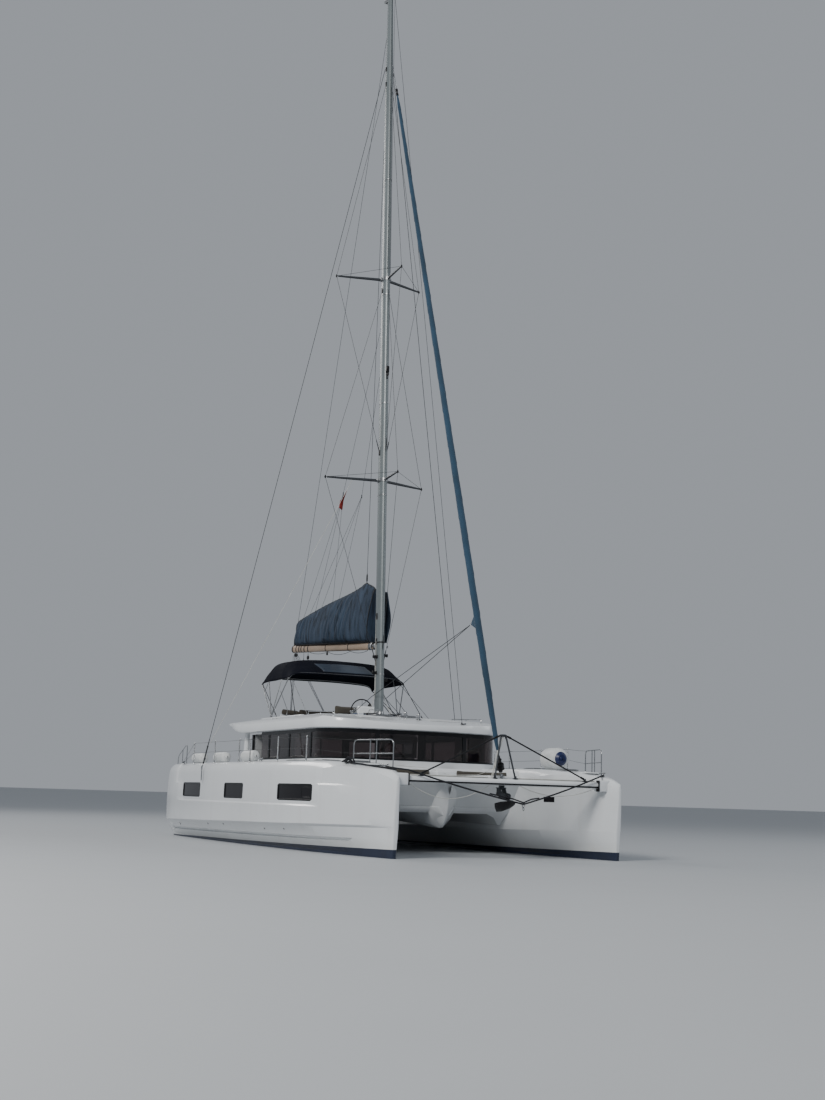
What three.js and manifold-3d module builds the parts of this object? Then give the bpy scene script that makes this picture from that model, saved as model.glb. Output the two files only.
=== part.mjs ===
// A flybridge cruising catamaran of the 50-foot class, afloat, with its rig standing.
// Millimetres, +X to the bow, +Y to port, +Z up. The origin lies on the waterline,
// amidships and on the centreline.
import * as THREE from 'three';
import { mergeVertices } from 'three/addons/utils/BufferGeometryUtils.js';
import Module from 'manifold-3d';

const wasm = await Module();
wasm.setup();

// Driving dimensions
const LENGTH = 14750;
const STERN_X = -LENGTH / 2;
const STEM_X = LENGTH / 2;
const HALF_BEAM = 4050;
const DRAFT = 1400;
const HULL_CENTRE = 2900;
const DECK_Z = 2120;
const WETDECK_Z = 970;
const SOLE_Z = 1120;
const FOREDECK_Z = 2050;
const MAST_FOOT_Z = 3490;
const MASTHEAD_Z = 25400;
const HOUNDS_Z = 23000;
const MAST_RAKE = THREE.MathUtils.degToRad(2.27);
const SEAT_GAP = 0.3;
const RUN_GAP = 6;
const SIDES = [['starboard', -1], ['port', 1]];

const MATERIALS = {
  gelcoat: { color: 0xe9ecec, roughness: 0.25, metalness: 0 },
  antifouling: { color: 0x1d3557, roughness: 0.7, metalness: 0 },
  glass: { color: 0x15181c, roughness: 0.08, metalness: 0 },
  spar: { color: 0x8d9796, roughness: 0.4, metalness: 0.6 },
  steel: { color: 0xb9bec2, roughness: 0.25, metalness: 1 },
  bronze: { color: 0xa98a4c, roughness: 0.35, metalness: 1 },
  black: { color: 0x1a1b1d, roughness: 0.5, metalness: 0 },
  canvas: { color: 0x1b2740, roughness: 0.9, metalness: 0 },
  cover: { color: 0x5a6f86, roughness: 0.9, metalness: 0 },
  furled: { color: 0x2f6f8f, roughness: 0.9, metalness: 0 },
  cushion: { color: 0x6d6255, roughness: 0.95, metalness: 0 },
  net: { color: 0xd8d8d2, roughness: 0.9, metalness: 0 },
  boom: { color: 0xb9a58c, roughness: 0.5, metalness: 0.2 },
  teak: { color: 0x9a7650, roughness: 0.7, metalness: 0 },
  fender: { color: 0xe6e9ea, roughness: 0.5, metalness: 0 },
};

// Solids and how they join
function asSolid(geometry) {
  const bare = geometry.index ? geometry.clone() : geometry;
  bare.deleteAttribute('normal');
  bare.deleteAttribute('uv');
  const merged = mergeVertices(bare, 1e-3);
  return new wasm.Manifold(new wasm.Mesh({
    numProp: 3,
    vertProperties: new Float32Array(merged.attributes.position.array),
    triVerts: new Uint32Array(merged.index.array),
  }));
}

function asGeometry(solid) {
  const mesh = solid.getMesh();
  const geometry = new THREE.BufferGeometry();
  geometry.setAttribute('position', new THREE.BufferAttribute(new Float32Array(mesh.vertProperties), 3));
  geometry.setIndex(new THREE.BufferAttribute(new Uint32Array(mesh.triVerts), 1));
  return geometry;
}

function join(...pieces) {
  return asGeometry(pieces.map(asSolid).reduce((whole, piece) => whole.add(piece)));
}

function cut(body, ...tools) {
  return asGeometry(tools.map(asSolid).reduce((whole, tool) => whole.subtract(tool), asSolid(body)));
}

function common(...pieces) {
  return asGeometry(pieces.map(asSolid).reduce((whole, piece) => whole.intersect(piece)));
}

function moved(geometry, x, y, z) {
  return geometry.clone().translate(x, y, z);
}

function mirrored(geometry) {
  const other = geometry.clone().scale(1, -1, 1);
  const index = other.index.array.slice();
  for (let i = 0; i < index.length; i += 3) {
    [index[i + 1], index[i + 2]] = [index[i + 2], index[i + 1]];
  }
  other.setIndex(new THREE.BufferAttribute(index, 1));
  return other;
}

function onSide(geometry, side) {
  return side < 0 ? geometry : mirrored(geometry);
}

// Basic shapes
function box(x0, x1, y0, y1, z0, z1) {
  return new THREE.BoxGeometry(x1 - x0, y1 - y0, z1 - z0)
    .translate((x0 + x1) / 2, (y0 + y1) / 2, (z0 + z1) / 2);
}

function extruded(outline, depth) {
  const shape = outline instanceof THREE.Shape
    ? outline : new THREE.Shape(outline.map(([a, b]) => new THREE.Vector2(a, b)));
  return new THREE.ExtrudeGeometry(shape, { depth, bevelEnabled: false, steps: 1, curveSegments: 8 });
}

function planPrism(outline, z0, z1) {
  return extruded(outline, z1 - z0).translate(0, 0, z0);
}

function profilePrism(outline, y0, y1) {
  return extruded(outline, y1 - y0).rotateX(Math.PI / 2).translate(0, y1, 0);
}

function sectionPrism(outline, x0, x1) {
  const turn = new THREE.Matrix4().makeBasis(
    new THREE.Vector3(0, 1, 0), new THREE.Vector3(0, 0, 1), new THREE.Vector3(1, 0, 0));
  return extruded(outline, x1 - x0).applyMatrix4(turn).translate(x0, 0, 0);
}

function rod(from, to, radius, endRadius = radius, sides = 8) {
  const start = new THREE.Vector3(...from);
  const end = new THREE.Vector3(...to);
  const along = end.clone().sub(start);
  const geometry = new THREE.CylinderGeometry(endRadius, radius, along.length(), sides);
  const turn = new THREE.Quaternion()
    .setFromUnitVectors(new THREE.Vector3(0, 1, 0), along.clone().normalize());
  return geometry.applyQuaternion(turn).translate(...start.add(end).multiplyScalar(0.5).toArray());
}

function pipe(points, radius, sides = 8) {
  const lengths = points.slice(1).map((point, i) => rod(points[i], point, radius, radius, sides));
  const elbows = points.slice(1, -1).map((point) =>
    new THREE.IcosahedronGeometry(radius * 1.1, 0).translate(...point));
  return join(...lengths, ...elbows);
}

function bentTube(points, radius, sides, steps) {
  const section = new THREE.Shape(Array.from({ length: sides }, (_, i) =>
    new THREE.Vector2(radius * Math.cos((i * 2 * Math.PI) / sides),
      radius * Math.sin((i * 2 * Math.PI) / sides))));
  const path = new THREE.CatmullRomCurve3(
    points.map((point) => new THREE.Vector3(...point)), false, 'centripetal');
  return new THREE.ExtrudeGeometry(section, { steps, extrudePath: path, bevelEnabled: false });
}

function turned(profile, sides = 24) {
  return new THREE.LatheGeometry(profile.map(([radius, height]) => new THREE.Vector2(radius, height)), sides)
    .rotateX(Math.PI / 2);
}

// A closed body through rings of equally many points; flat() lays an end ring on its plane.
function loft(rings, flat) {
  const count = rings[0].length;
  const positions = rings.flat().flatMap((point) => point);
  const triangles = [];
  for (let ring = 0; ring < rings.length - 1; ring += 1) {
    for (let i = 0; i < count; i += 1) {
      const a = ring * count + i;
      const b = ring * count + ((i + 1) % count);
      triangles.push(a, b, b + count, a, b + count, a + count);
    }
  }
  const cap = (ring, start, followsRing) => {
    const flatRing = ring.map((point) => new THREE.Vector2(...flat(point)));
    const turn = Math.sign(THREE.ShapeUtils.area(flatRing));
    for (const [a, b, c] of THREE.ShapeUtils.triangulateShape(flatRing, [])) {
      const same = Math.sign(THREE.ShapeUtils.area([flatRing[a], flatRing[b], flatRing[c]])) === turn;
      const order = same === followsRing ? [a, b, c] : [a, c, b];
      triangles.push(...order.map((i) => start + i));
    }
  };
  cap(rings[0], 0, false);
  cap(rings.at(-1), (rings.length - 1) * count, true);
  const geometry = new THREE.BufferGeometry();
  geometry.setAttribute('position', new THREE.Float32BufferAttribute(positions, 3));
  geometry.setIndex(triangles);
  return facingOut(geometry);
}

function facingOut(geometry) {
  const p = geometry.attributes.position;
  const index = geometry.index.array;
  const corner = [new THREE.Vector3(), new THREE.Vector3(), new THREE.Vector3()];
  let volume = 0;
  for (let i = 0; i < index.length; i += 3) {
    corner.forEach((point, k) => point.fromBufferAttribute(p, index[i + k]));
    volume += corner[0].dot(corner[1].clone().cross(corner[2]));
  }
  if (volume < 0) {
    for (let i = 0; i < index.length; i += 3) {
      [index[i + 1], index[i + 2]] = [index[i + 2], index[i + 1]];
    }
  }
  return geometry;
}

// Smooth curve through a table's columns, by cubic Hermite pieces
function columnAt(table, x) {
  const last = table.length - 1;
  let i = table.findIndex((row) => row.x > x) - 1;
  if (i < 0) {
    i = x <= table[0].x ? 0 : last - 1;
  }
  const slope = (k, name) => {
    const low = table[Math.max(k - 1, 0)];
    const high = table[Math.min(k + 1, last)];
    return (high[name] - low[name]) / (high.x - low.x);
  };
  const width = table[i + 1].x - table[i].x;
  const t = (x - table[i].x) / width;
  const result = {};
  for (const name of Object.keys(table[i])) {
    const rise = (2 * t ** 3 - 3 * t ** 2 + 1) * table[i][name]
      + (-2 * t ** 3 + 3 * t ** 2) * table[i + 1][name];
    const lean = (t ** 3 - 2 * t ** 2 + t) * slope(i, name) + (t ** 3 - t ** 2) * slope(i + 1, name);
    result[name] = name === 'x' ? x : rise + lean * width;
  }
  return result;
}

function rows(names, lines) {
  return lines.map((line) => Object.fromEntries(names.map((name, i) => [name, line[i]])));
}

// Hulls
// keel: canoe body's depth; wl: half breadth at the waterline; out, inn: distance of the outer and
// inner side from the boat's centreline; chine: height of the outer chine; side: top of the side;
// deck: height of the deck's edge; inset: width of the rounded or bevelled edge between them.
const HULL_TABLE = rows(
  ['x', 'keel', 'wl', 'out', 'inn', 'chine', 'side', 'deck', 'inset'], [
    [-7375, -100, 520, 3640, 2080, 450, 1950, 2110, 170],
    [-6000, -310, 610, 3860, 1930, 480, 1960, DECK_Z, 170],
    [-3000, -500, 680, 4035, 1770, 520, 1960, DECK_Z, 170],
    [0, -550, 700, HALF_BEAM, 1750, 570, 1960, DECK_Z, 170],
    [3000, -520, 610, 3975, 1800, 610, 1970, DECK_Z, 170],
    [4600, -470, 460, 3790, 2020, 640, 1990, 2110, 165],
    [5700, -420, 310, 3550, 2290, 655, 2000, 2080, 165],
    [6500, -370, 180, 3290, 2530, 665, 1930, 2010, 170],
    [7050, -330, 85, 3070, 2720, 670, 1790, 1915, 125],
    [7375, -300, 30, 2935, 2865, 670, 1660, 1780, 14],
  ]);
const HULL_STEPS = [-7375, -6700, -6000, -5000, -4000, -3000, -1500, 0, 1500, 3000, 3800, 4600, 5200,
  5700, 6100, 6500, 6800, 7050, 7230, 7375];

function hullRing(x) {
  const at = columnAt(HULL_TABLE, x);
  const half = (at.out - at.inn) / 2;
  const tuck = Math.min(70, 0.2 * half);
  const water = HULL_CENTRE + at.wl;
  const inWater = HULL_CENTRE - at.wl;
  const points = [
    [HULL_CENTRE, at.keel],
    [HULL_CENTRE + 0.55 * at.wl, 0.86 * at.keel],
    [HULL_CENTRE + 0.93 * at.wl, 0.38 * at.keel],
    [water, 60],
    [THREE.MathUtils.lerp(water, at.out - tuck, 0.5), 60 + 0.42 * (at.chine - 60)],
    [at.out - tuck, at.chine - 20],
    [at.out - 0.2 * tuck, at.chine + 30],
    [at.out, THREE.MathUtils.lerp(at.chine, at.side, 0.4)],
    [at.out - 0.1 * tuck, THREE.MathUtils.lerp(at.chine, at.side, 0.75)],
    [at.out - 0.35 * tuck, at.side],
    [at.out - 0.35 * tuck - at.inset, at.deck],
    [(at.out + at.inn) / 2, at.deck + 0.02 * half],
    [at.inn + 0.8 * at.inset, at.deck],
    [at.inn, at.side],
    [at.inn, 1300],
    [at.inn + 0.2 * tuck, 590],
    [THREE.MathUtils.lerp(inWater, at.inn + tuck, 0.55), 300],
    [inWater, 60],
    [HULL_CENTRE - 0.93 * at.wl, 0.38 * at.keel],
    [HULL_CENTRE - 0.55 * at.wl, 0.86 * at.keel],
  ];
  return points.map(([y, z]) => [x, -y, z]);
}

// Side view of a hull: the stem leans a little forward and the stern is rounded.
function hullProfile() {
  return [
    [STERN_X + 190, -700], [STEM_X - 340, -700], [STEM_X - 215, -330], [STEM_X - 135, -250],
    [STEM_X - 105, 0], [STEM_X, 1500], [STEM_X, 2600],
    [STERN_X + 560, 2600], [STERN_X + 480, 2110], [STERN_X + 270, 1960],
    [STERN_X + 110, 1650], [STERN_X, 1000], [STERN_X + 20, 700], [STERN_X + 110, 250], [STERN_X + 190, -60],
  ];
}

const RUDDER = { x: -6300, top: -340, bottom: -1240, stock: 32, stockTop: 180 };
const SCOOP = { inner: 1700, outer: 3380, aft: -7600 };
const TREADS = rows(['front', 'z'], [[-6780, 450], [-6450, 760], [-6120, 1070], [-5790, 1380]]);
const ENGINE_HATCH = { aft: -5650, front: -4780, inner: 2450, outer: 3350 };
const HULL_WINDOWS = rows(['x0', 'x1'], [[-4870, -3020], [-940, 500], [2790, 4550]]);
const WINDOW_BOTTOM = 1170;
const WINDOW_TOP = 1570;
const WINDOW_DEPTH = 55;
// The topsides step in above a ledge, which is lower beside the windows than fore and aft of them.
const LEDGE = { depth: 28,
  windows: { x0: -4990, x1: 4640, z: 1080 }, ends: { x0: -5700, x1: 5900, z: 1590 } };
const GROOVE = { depth: 30, x0: -6600, x1: 4900, aft: 225, front: 325, high: 65 };
const INNER_PORT = { x0: 5060, x1: 5620, z0: 1290, z1: 1460 };

function hull() {
  const shape = common(loft(HULL_STEPS.map(hullRing), ([, y, z]) => [y, z]),
    profilePrism(hullProfile(), -4500, -1000));
  const steps = TREADS.map(({ front, z }) => box(SCOOP.aft, front, -SCOOP.outer, -SCOOP.inner, z, 2600));
  const hatchWell = box(ENGINE_HATCH.aft, ENGINE_HATCH.front, -ENGINE_HATCH.outer, -ENGINE_HATCH.inner,
    DECK_Z - 60, 2600);
  const engineRoom = box(ENGINE_HATCH.aft + 90, ENGINE_HATCH.front - 90, -ENGINE_HATCH.outer + 90,
    -ENGINE_HATCH.inner - 90, 900, 2600);
  const inward = moved(shape, 0, WINDOW_DEPTH, 0);
  const panels = [LEDGE.windows, LEDGE.ends].map(({ x0, x1, z }) =>
    cut(box(x0, x1, -4500, -3200, z, 2600), moved(shape, 0, LEDGE.depth, 0)));
  const groove = cut(profilePrism([[GROOVE.x0, GROOVE.aft], [GROOVE.x1, GROOVE.front],
    [GROOVE.x1, GROOVE.front + GROOVE.high], [GROOVE.x0, GROOVE.aft + GROOVE.high]], -4500, -3150),
  moved(shape, 0, GROOVE.depth, 0));
  const windows = HULL_WINDOWS.map(({ x0, x1 }) =>
    cut(box(x0, x1, -4500, -3300, WINDOW_BOTTOM, WINDOW_TOP), inward));
  const innerPort = cut(box(INNER_PORT.x0, INNER_PORT.x1, -2600, -1500, INNER_PORT.z0, INNER_PORT.z1),
    moved(shape, 0, -WINDOW_DEPTH, 0));
  const stockBore = rod([RUDDER.x, -HULL_CENTRE, -700], [RUDDER.x, -HULL_CENTRE, RUDDER.stockTop + RUN_GAP],
    RUDDER.stock + RUN_GAP, RUDDER.stock + RUN_GAP, 16);
  return cut(shape, ...steps, hatchWell, engineRoom, ...panels, groove, ...windows, innerPort, stockBore);
}

// A symmetrical foil section: leading edge forward, unit chord
const FOIL = [[0.5, 0], [0.45, 0.3], [0.33, 0.46], [0.15, 0.5], [-0.15, 0.4], [-0.35, 0.2], [-0.5, 0.03],
  [-0.5, -0.03], [-0.35, -0.2], [-0.15, -0.4], [0.15, -0.5], [0.33, -0.46], [0.45, -0.3]];

function foilRing(x, y, z, chord, thick) {
  return FOIL.map(([along, across]) => [x + along * chord, y + across * thick, z]);
}

function keel(hullSolid) {
  const rings = [
    foilRing(150, -HULL_CENTRE, -300, 2700, 290), foilRing(180, -HULL_CENTRE, -900, 2350, 260),
    foilRing(200, -HULL_CENTRE, -DRAFT, 1950, 230)];
  return cut(loft(rings, ([x, y]) => [x, y]), moved(hullSolid, 0, 0, -SEAT_GAP));
}

function rudder() {
  const rings = [
    foilRing(-90, 0, RUDDER.top, 540, 110), foilRing(-70, 0, (RUDDER.top + RUDDER.bottom) / 2, 500, 90),
    foilRing(-30, 0, RUDDER.bottom, 400, 60)];
  const stock = rod([0, 0, RUDDER.top - 200], [0, 0, RUDDER.stockTop], RUDDER.stock, RUDDER.stock, 16);
  return join(loft(rings, ([x, y]) => [x, y]), stock);
}

// Sail drives and propellers
const DRIVE = { x: -4850, z: -850, bulb: 62, back: -5080, front: -4600 };
const PROPELLER = { radius: 245, hub: 55, length: 130, blades: 3, pitch: THREE.MathUtils.degToRad(28) };

function saildrive(hullSolid) {
  const leg = loft([
    foilRing(DRIVE.x, -HULL_CENTRE, -250, 430, 120), foilRing(DRIVE.x, -HULL_CENTRE, -600, 330, 95),
    foilRing(DRIVE.x - 10, -HULL_CENTRE, DRIVE.z, 320, 90),
    foilRing(DRIVE.x - 20, -HULL_CENTRE, DRIVE.z - 170, 230, 30)], ([x, y]) => [x, y]);
  const onShaft = (x) => [x, -HULL_CENTRE, DRIVE.z];
  const bulb = join(rod(onShaft(DRIVE.back), onShaft(DRIVE.front), DRIVE.bulb, DRIVE.bulb, 16),
    rod(onShaft(DRIVE.front), onShaft(DRIVE.front + 110), DRIVE.bulb, 20, 16));
  const shaftBore = rod(onShaft(DRIVE.back - 10), onShaft(DRIVE.back + 90), 18, 18, 12);
  return cut(join(leg, bulb), shaftBore, moved(hullSolid, 0, 0, -SEAT_GAP));
}

// Local frame: the shaft is the X axis and the hub's front face is at x = 0.
function propeller() {
  const hub = join(rod([0, 0, 0], [-PROPELLER.length, 0, 0], PROPELLER.hub, 46, 16),
    rod([-PROPELLER.length, 0, 0], [-PROPELLER.length - 70, 0, 0], 46, 14, 16));
  const shaft = rod([-20, 0, 0], [80, 0, 0], 15, 15, 12);
  const outline = new THREE.Shape();
  outline.absellipse(0, 0.55 * PROPELLER.radius, 78, 0.45 * PROPELLER.radius, 0, 2 * Math.PI);
  const blade = extruded(outline, 14).translate(0, 0, -7).rotateY(PROPELLER.pitch).rotateY(Math.PI / 2)
    .rotateX(Math.PI / 2).translate(-PROPELLER.length / 2, 0, 0);
  const blades = Array.from({ length: PROPELLER.blades }, (_, i) =>
    blade.clone().rotateX((i * 2 * Math.PI) / PROPELLER.blades));
  return join(hub, shaft, ...blades);
}

// Bridgedeck with its nacelle, cockpits and the saloon's sole
const BRIDGEDECK = { aft: -6300, front: 4300, lip: 1720 };
const SALOON_WELL = { x0: -2840, x1: 2380, y: 1690 };
const FRONT_WELL = { x0: 3020, x1: 4080, y: 1480, floor: 1420 };
const BENCH = { x0: -6150, x1: -5560, z: 1600 };

function bridgedeck(hullSolids) {
  const section = [
    [-2400, 600], [-1790, 700], [-1560, 880], [-1300, WETDECK_Z], [1300, WETDECK_Z], [1560, 880], [1790, 700],
    [2400, 600], [2400, FOREDECK_Z], [-2400, FOREDECK_Z]];
  const profile = [
    [BRIDGEDECK.aft, 500], [3300, 500], [3900, WETDECK_Z + 60], [BRIDGEDECK.front, BRIDGEDECK.lip],
    [BRIDGEDECK.front, 1900], [4180, FOREDECK_Z], [BRIDGEDECK.aft, FOREDECK_Z]];
  const slab = common(sectionPrism(section, BRIDGEDECK.aft, BRIDGEDECK.front),
    profilePrism(profile, -2400, 2400));
  const nacelleRow = (x, bottom, wide) => [
    [x, -wide, WETDECK_Z + 150], [x, -0.52 * wide, 0.5 * (WETDECK_Z + bottom)], [x, -0.1 * wide, bottom],
    [x, 0.1 * wide, bottom], [x, 0.52 * wide, 0.5 * (WETDECK_Z + bottom)], [x, wide, WETDECK_Z + 150]];
  const nacelle = loft([nacelleRow(-1800, 930, 760), nacelleRow(500, 790, 700), nacelleRow(3000, 640, 600),
    nacelleRow(3850, 610, 440), nacelleRow(4120, 900, 220)], ([, y, z]) => [y, z]);
  const saloonWell = box(SALOON_WELL.x0, SALOON_WELL.x1, -SALOON_WELL.y, SALOON_WELL.y, SOLE_Z, 2600);
  const frontWell = box(FRONT_WELL.x0, FRONT_WELL.x1, -FRONT_WELL.y, FRONT_WELL.y, FRONT_WELL.floor, 2600);
  const cockpit = box(BENCH.x1, SALOON_WELL.x0 + 1, -2400, 2400, SOLE_Z, 2600);
  const benchTop = box(BENCH.x0, BENCH.x1 + 1, -2400, 2400, BENCH.z, 2600);
  const gates = SIDES.map(([, side]) => box(BRIDGEDECK.aft - 1, BENCH.x1 + 1,
    Math.min(side * 1050, side * 2400), Math.max(side * 1050, side * 2400), SOLE_Z, 2600));
  const away = hullSolids.map((solid, i) => moved(solid, 0, i === 0 ? SEAT_GAP : -SEAT_GAP, 0));
  return cut(join(slab, nacelle), saloonWell, frontWell, cockpit, benchTop, ...gates, ...away);
}

// The bridgedeck ends at its sole. The deck moulding that stands on it comes in separate parts.
const DECK_PARTS = [
  ['bridgedeck', [-7000, 5000, -3000, 3000, 0, SOLE_Z]],
  ['foredeck', [SALOON_WELL.x1 + SEAT_GAP, 5000, -3000, 3000, SOLE_Z + SEAT_GAP, 3000]],
  ['deck_side_starboard', [-3200, SALOON_WELL.x1, -3000, 0, SOLE_Z + SEAT_GAP, 3000]],
  ['deck_side_port', [-3200, SALOON_WELL.x1, 0, 3000, SOLE_Z + SEAT_GAP, 3000]],
  ['cockpit_bench', [-7000, -5000, -3000, 3000, SOLE_Z + SEAT_GAP, 3000]]];

// Saloon: the plan is a rectangle with round front corners and a bowed front
const SALOON = { aft: -2950, side: 2550, cornerX: 1650, corner: 950, nose: 330, sill: 2250, head: 2950,
  top: 3010, wall: 55 };
const DOORWAY = { y0: -1250, y1: 250, top: 2960 };

function saloonPlan(inset, aft = SALOON.aft) {
  const side = SALOON.side - inset;
  const radius = SALOON.corner - inset;
  const flat = SALOON.side - SALOON.corner;
  const shape = new THREE.Shape();
  shape.moveTo(aft, -side);
  shape.lineTo(SALOON.cornerX, -side);
  shape.absarc(SALOON.cornerX, -flat, radius, -Math.PI / 2, 0, false);
  shape.quadraticCurveTo(SALOON.cornerX + radius + SALOON.nose, 0, SALOON.cornerX + radius, flat);
  shape.absarc(SALOON.cornerX, flat, radius, 0, Math.PI / 2, false);
  shape.lineTo(aft, side);
  shape.closePath();
  return shape;
}

// The band of glass is cut by posts: their places along the sides, and by angle round the front.
const SIDE_POSTS = [-2930, -1650, -150, 1350];
const FRONT_POSTS = [-1250, 1250];
const POST = 60;

function saloonWalls(hullSolids) {
  const shell = cut(planPrism(saloonPlan(0), FOREDECK_Z + SEAT_GAP, SALOON.top),
    planPrism(saloonPlan(SALOON.wall, SALOON.aft + SALOON.wall), FOREDECK_Z - 10, SALOON.top + 10));
  const aftWall = box(SALOON.aft, SALOON.aft + SALOON.wall, -SALOON.side, SALOON.side,
    SOLE_Z + SEAT_GAP, SALOON.top);
  const band = box(SALOON.aft + POST, 4000, -4000, 4000, SALOON.sill, SALOON.head);
  const posts = [
    ...SIDE_POSTS.slice(1).map((x) => box(x, x + POST, -4000, 4000, SALOON.sill - 10, SALOON.head + 10)),
    ...FRONT_POSTS.map((y) => box(
      1900, 4000, y - POST / 2, y + POST / 2, SALOON.sill - 10, SALOON.head + 10)),
  ];
  const doorway = box(SALOON.aft - 10, SALOON.aft + SALOON.wall + 10, DOORWAY.y0, DOORWAY.y1,
    SOLE_Z - 10, DOORWAY.top);
  const aftWindow = box(SALOON.aft - 10, SALOON.aft + SALOON.wall + 10, 420, 2200, 2180, 2900);
  const away = hullSolids.map((solid) => moved(solid, 0, 0, SEAT_GAP));
  const openings = cut(band, ...posts);
  return cut(join(cut(shell, openings), aftWall), doorway, aftWindow, ...away,
    ...hullSolids.map((solid, i) => moved(solid, 0, i === 0 ? SEAT_GAP : -SEAT_GAP, 0)));
}

// A pane follows the wall's own curve, thinner than the wall and clear of the opening's edge.
function pane(x0, x1, y0, y1) {
  const skin = cut(planPrism(saloonPlan(8), SALOON.sill + SEAT_GAP, SALOON.head - SEAT_GAP),
    planPrism(saloonPlan(32, SALOON.aft - 100), SALOON.sill - 10, SALOON.head + 10));
  return common(skin, box(x0 + SEAT_GAP, x1 - SEAT_GAP, y0 + SEAT_GAP, y1 - SEAT_GAP, 0, 4000));
}

const DOOR = { thick: 34, gap: RUN_GAP };

function saloonDoor() {
  const x1 = SALOON.aft - DOOR.gap;
  const y0 = DOORWAY.y0 - 60;
  const y1 = DOORWAY.y1 + 60;
  const z0 = SOLE_Z + RUN_GAP;
  const z1 = DOORWAY.top + 40;
  const leaf = box(x1 - DOOR.thick, x1, y0, y1, z0, z1);
  const rebate = box(x1 - DOOR.thick - 10, x1 - DOOR.thick + 8, y0 + 70, y1 - 70, z0 + 90, z1 - 70);
  const handle = pipe([[x1 - DOOR.thick + 5, y0 + 35, 1900], [x1 - DOOR.thick - 35, y0 + 35, 1900],
    [x1 - DOOR.thick - 35, y0 + 35, 2120], [x1 - DOOR.thick + 5, y0 + 35, 2120]], 9);
  return join(cut(leaf, rebate), handle);
}

// Hardtop with the flybridge well and the upswept aft wing
const HARDTOP = { side: 2640, wingTip: -5620, front: 3090 };
const FLY_WELL = { x0: -4700, x1: -560, y: 1950, floor: 3130 };
const PILLAR = { x: -3900, y: 2360 };

function hardtop() {
  const plan = new THREE.Shape();
  plan.moveTo(HARDTOP.wingTip, -2330);
  plan.lineTo(-4300, -2600);
  plan.lineTo(-3400, -HARDTOP.side);
  plan.lineTo(SALOON.cornerX, -HARDTOP.side);
  plan.absarc(SALOON.cornerX, -1600, HARDTOP.side - 1600, -Math.PI / 2, 0, false);
  plan.quadraticCurveTo(HARDTOP.front + 60, 0, SALOON.cornerX + HARDTOP.side - 1600, 1600);
  plan.absarc(SALOON.cornerX, 1600, HARDTOP.side - 1600, 0, Math.PI / 2, false);
  plan.lineTo(-3400, HARDTOP.side);
  plan.lineTo(-4300, 2600);
  plan.lineTo(HARDTOP.wingTip, 2330);
  plan.quadraticCurveTo(-5200, 1900, -5150, 1500);
  plan.lineTo(-5150, -1500);
  plan.quadraticCurveTo(-5200, -1900, HARDTOP.wingTip, -2330);
  const profile = [
    [HARDTOP.wingTip - 50, 3315], [-4300, 3080], [-3750, 3012], [HARDTOP.front + 100, 3012],
    [HARDTOP.front + 100, 3085],
    [2600, 3240], [1500, 3400], [300, 3485], [-100, MAST_FOOT_Z], [-1000, 3480], [-3000, 3430],
    [HARDTOP.wingTip - 50, 3350]];
  const section = [
    [-2700, 3000], [2700, 3000], [2700, 3180], [2500, 3330], [2200, 3420], [1500, 3470],
    [400, 3500], [-400, 3500],
    [-1500, 3470], [-2200, 3420], [-2500, 3330], [-2700, 3180]];
  const body = common(planPrism(plan, 2900, 3700), profilePrism(profile, -3000, 3000),
    sectionPrism(section, -6000, 4000));
  const well = box(FLY_WELL.x0, FLY_WELL.x1, -FLY_WELL.y, FLY_WELL.y, FLY_WELL.floor, 4000);
  const coaming = SIDES.map(([, side]) => box(-3600, FLY_WELL.x1, Math.min(side * 1950, side * 2080),
    Math.max(side * 1950, side * 2080), 3300, 3520));
  const pillars = SIDES.map(([, side]) =>
    rod([PILLAR.x - 60, side * PILLAR.y, DECK_Z + 30], [PILLAR.x, side * PILLAR.y, 3100], 75, 75, 10));
  return join(cut(body, well), ...coaming, ...pillars);
}

// Flybridge fittings
const WHEEL = { x: -1000, y: -60, z: 3665, radius: 370, rim: 16 };

function helmConsole() {
  const outline = [[-880, FLY_WELL.floor + SEAT_GAP], [-600, FLY_WELL.floor + SEAT_GAP], [-600, 3760],
    [-690, 3800], [-830, 3700], [-900, 3400]];
  const wheelBore = rod([-1100, WHEEL.y, WHEEL.z], [-700, WHEEL.y, WHEEL.z], 22, 22, 12);
  return cut(profilePrism(outline, -330, 420), wheelBore);
}

// Local frame: the hub's axis is X.
function steeringWheel() {
  const rim = new THREE.TorusGeometry(WHEEL.radius, WHEEL.rim, 8, 32).rotateY(Math.PI / 2);
  const spokes = [0, 1, 2, 3, 4].map((i) => {
    const angle = (i * 2 * Math.PI) / 5;
    return rod([0, 0, 0], [0, WHEEL.radius * Math.sin(angle), WHEEL.radius * Math.cos(angle)], 9, 9, 6);
  });
  const hub = rod([-25, 0, 0], [30, 0, 0], 42, 42, 12);
  const shaft = rod([0, 0, 0], [170, 0, 0], 16, 16, 10);
  return join(rim, ...spokes, hub, shaft);
}

function settee(x0, x1, y0, y1, back, top) {
  const base = box(x0, x1, y0, y1, FLY_WELL.floor + SEAT_GAP, 3560);
  return join(base, box(...back, 3400, top));
}

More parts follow.
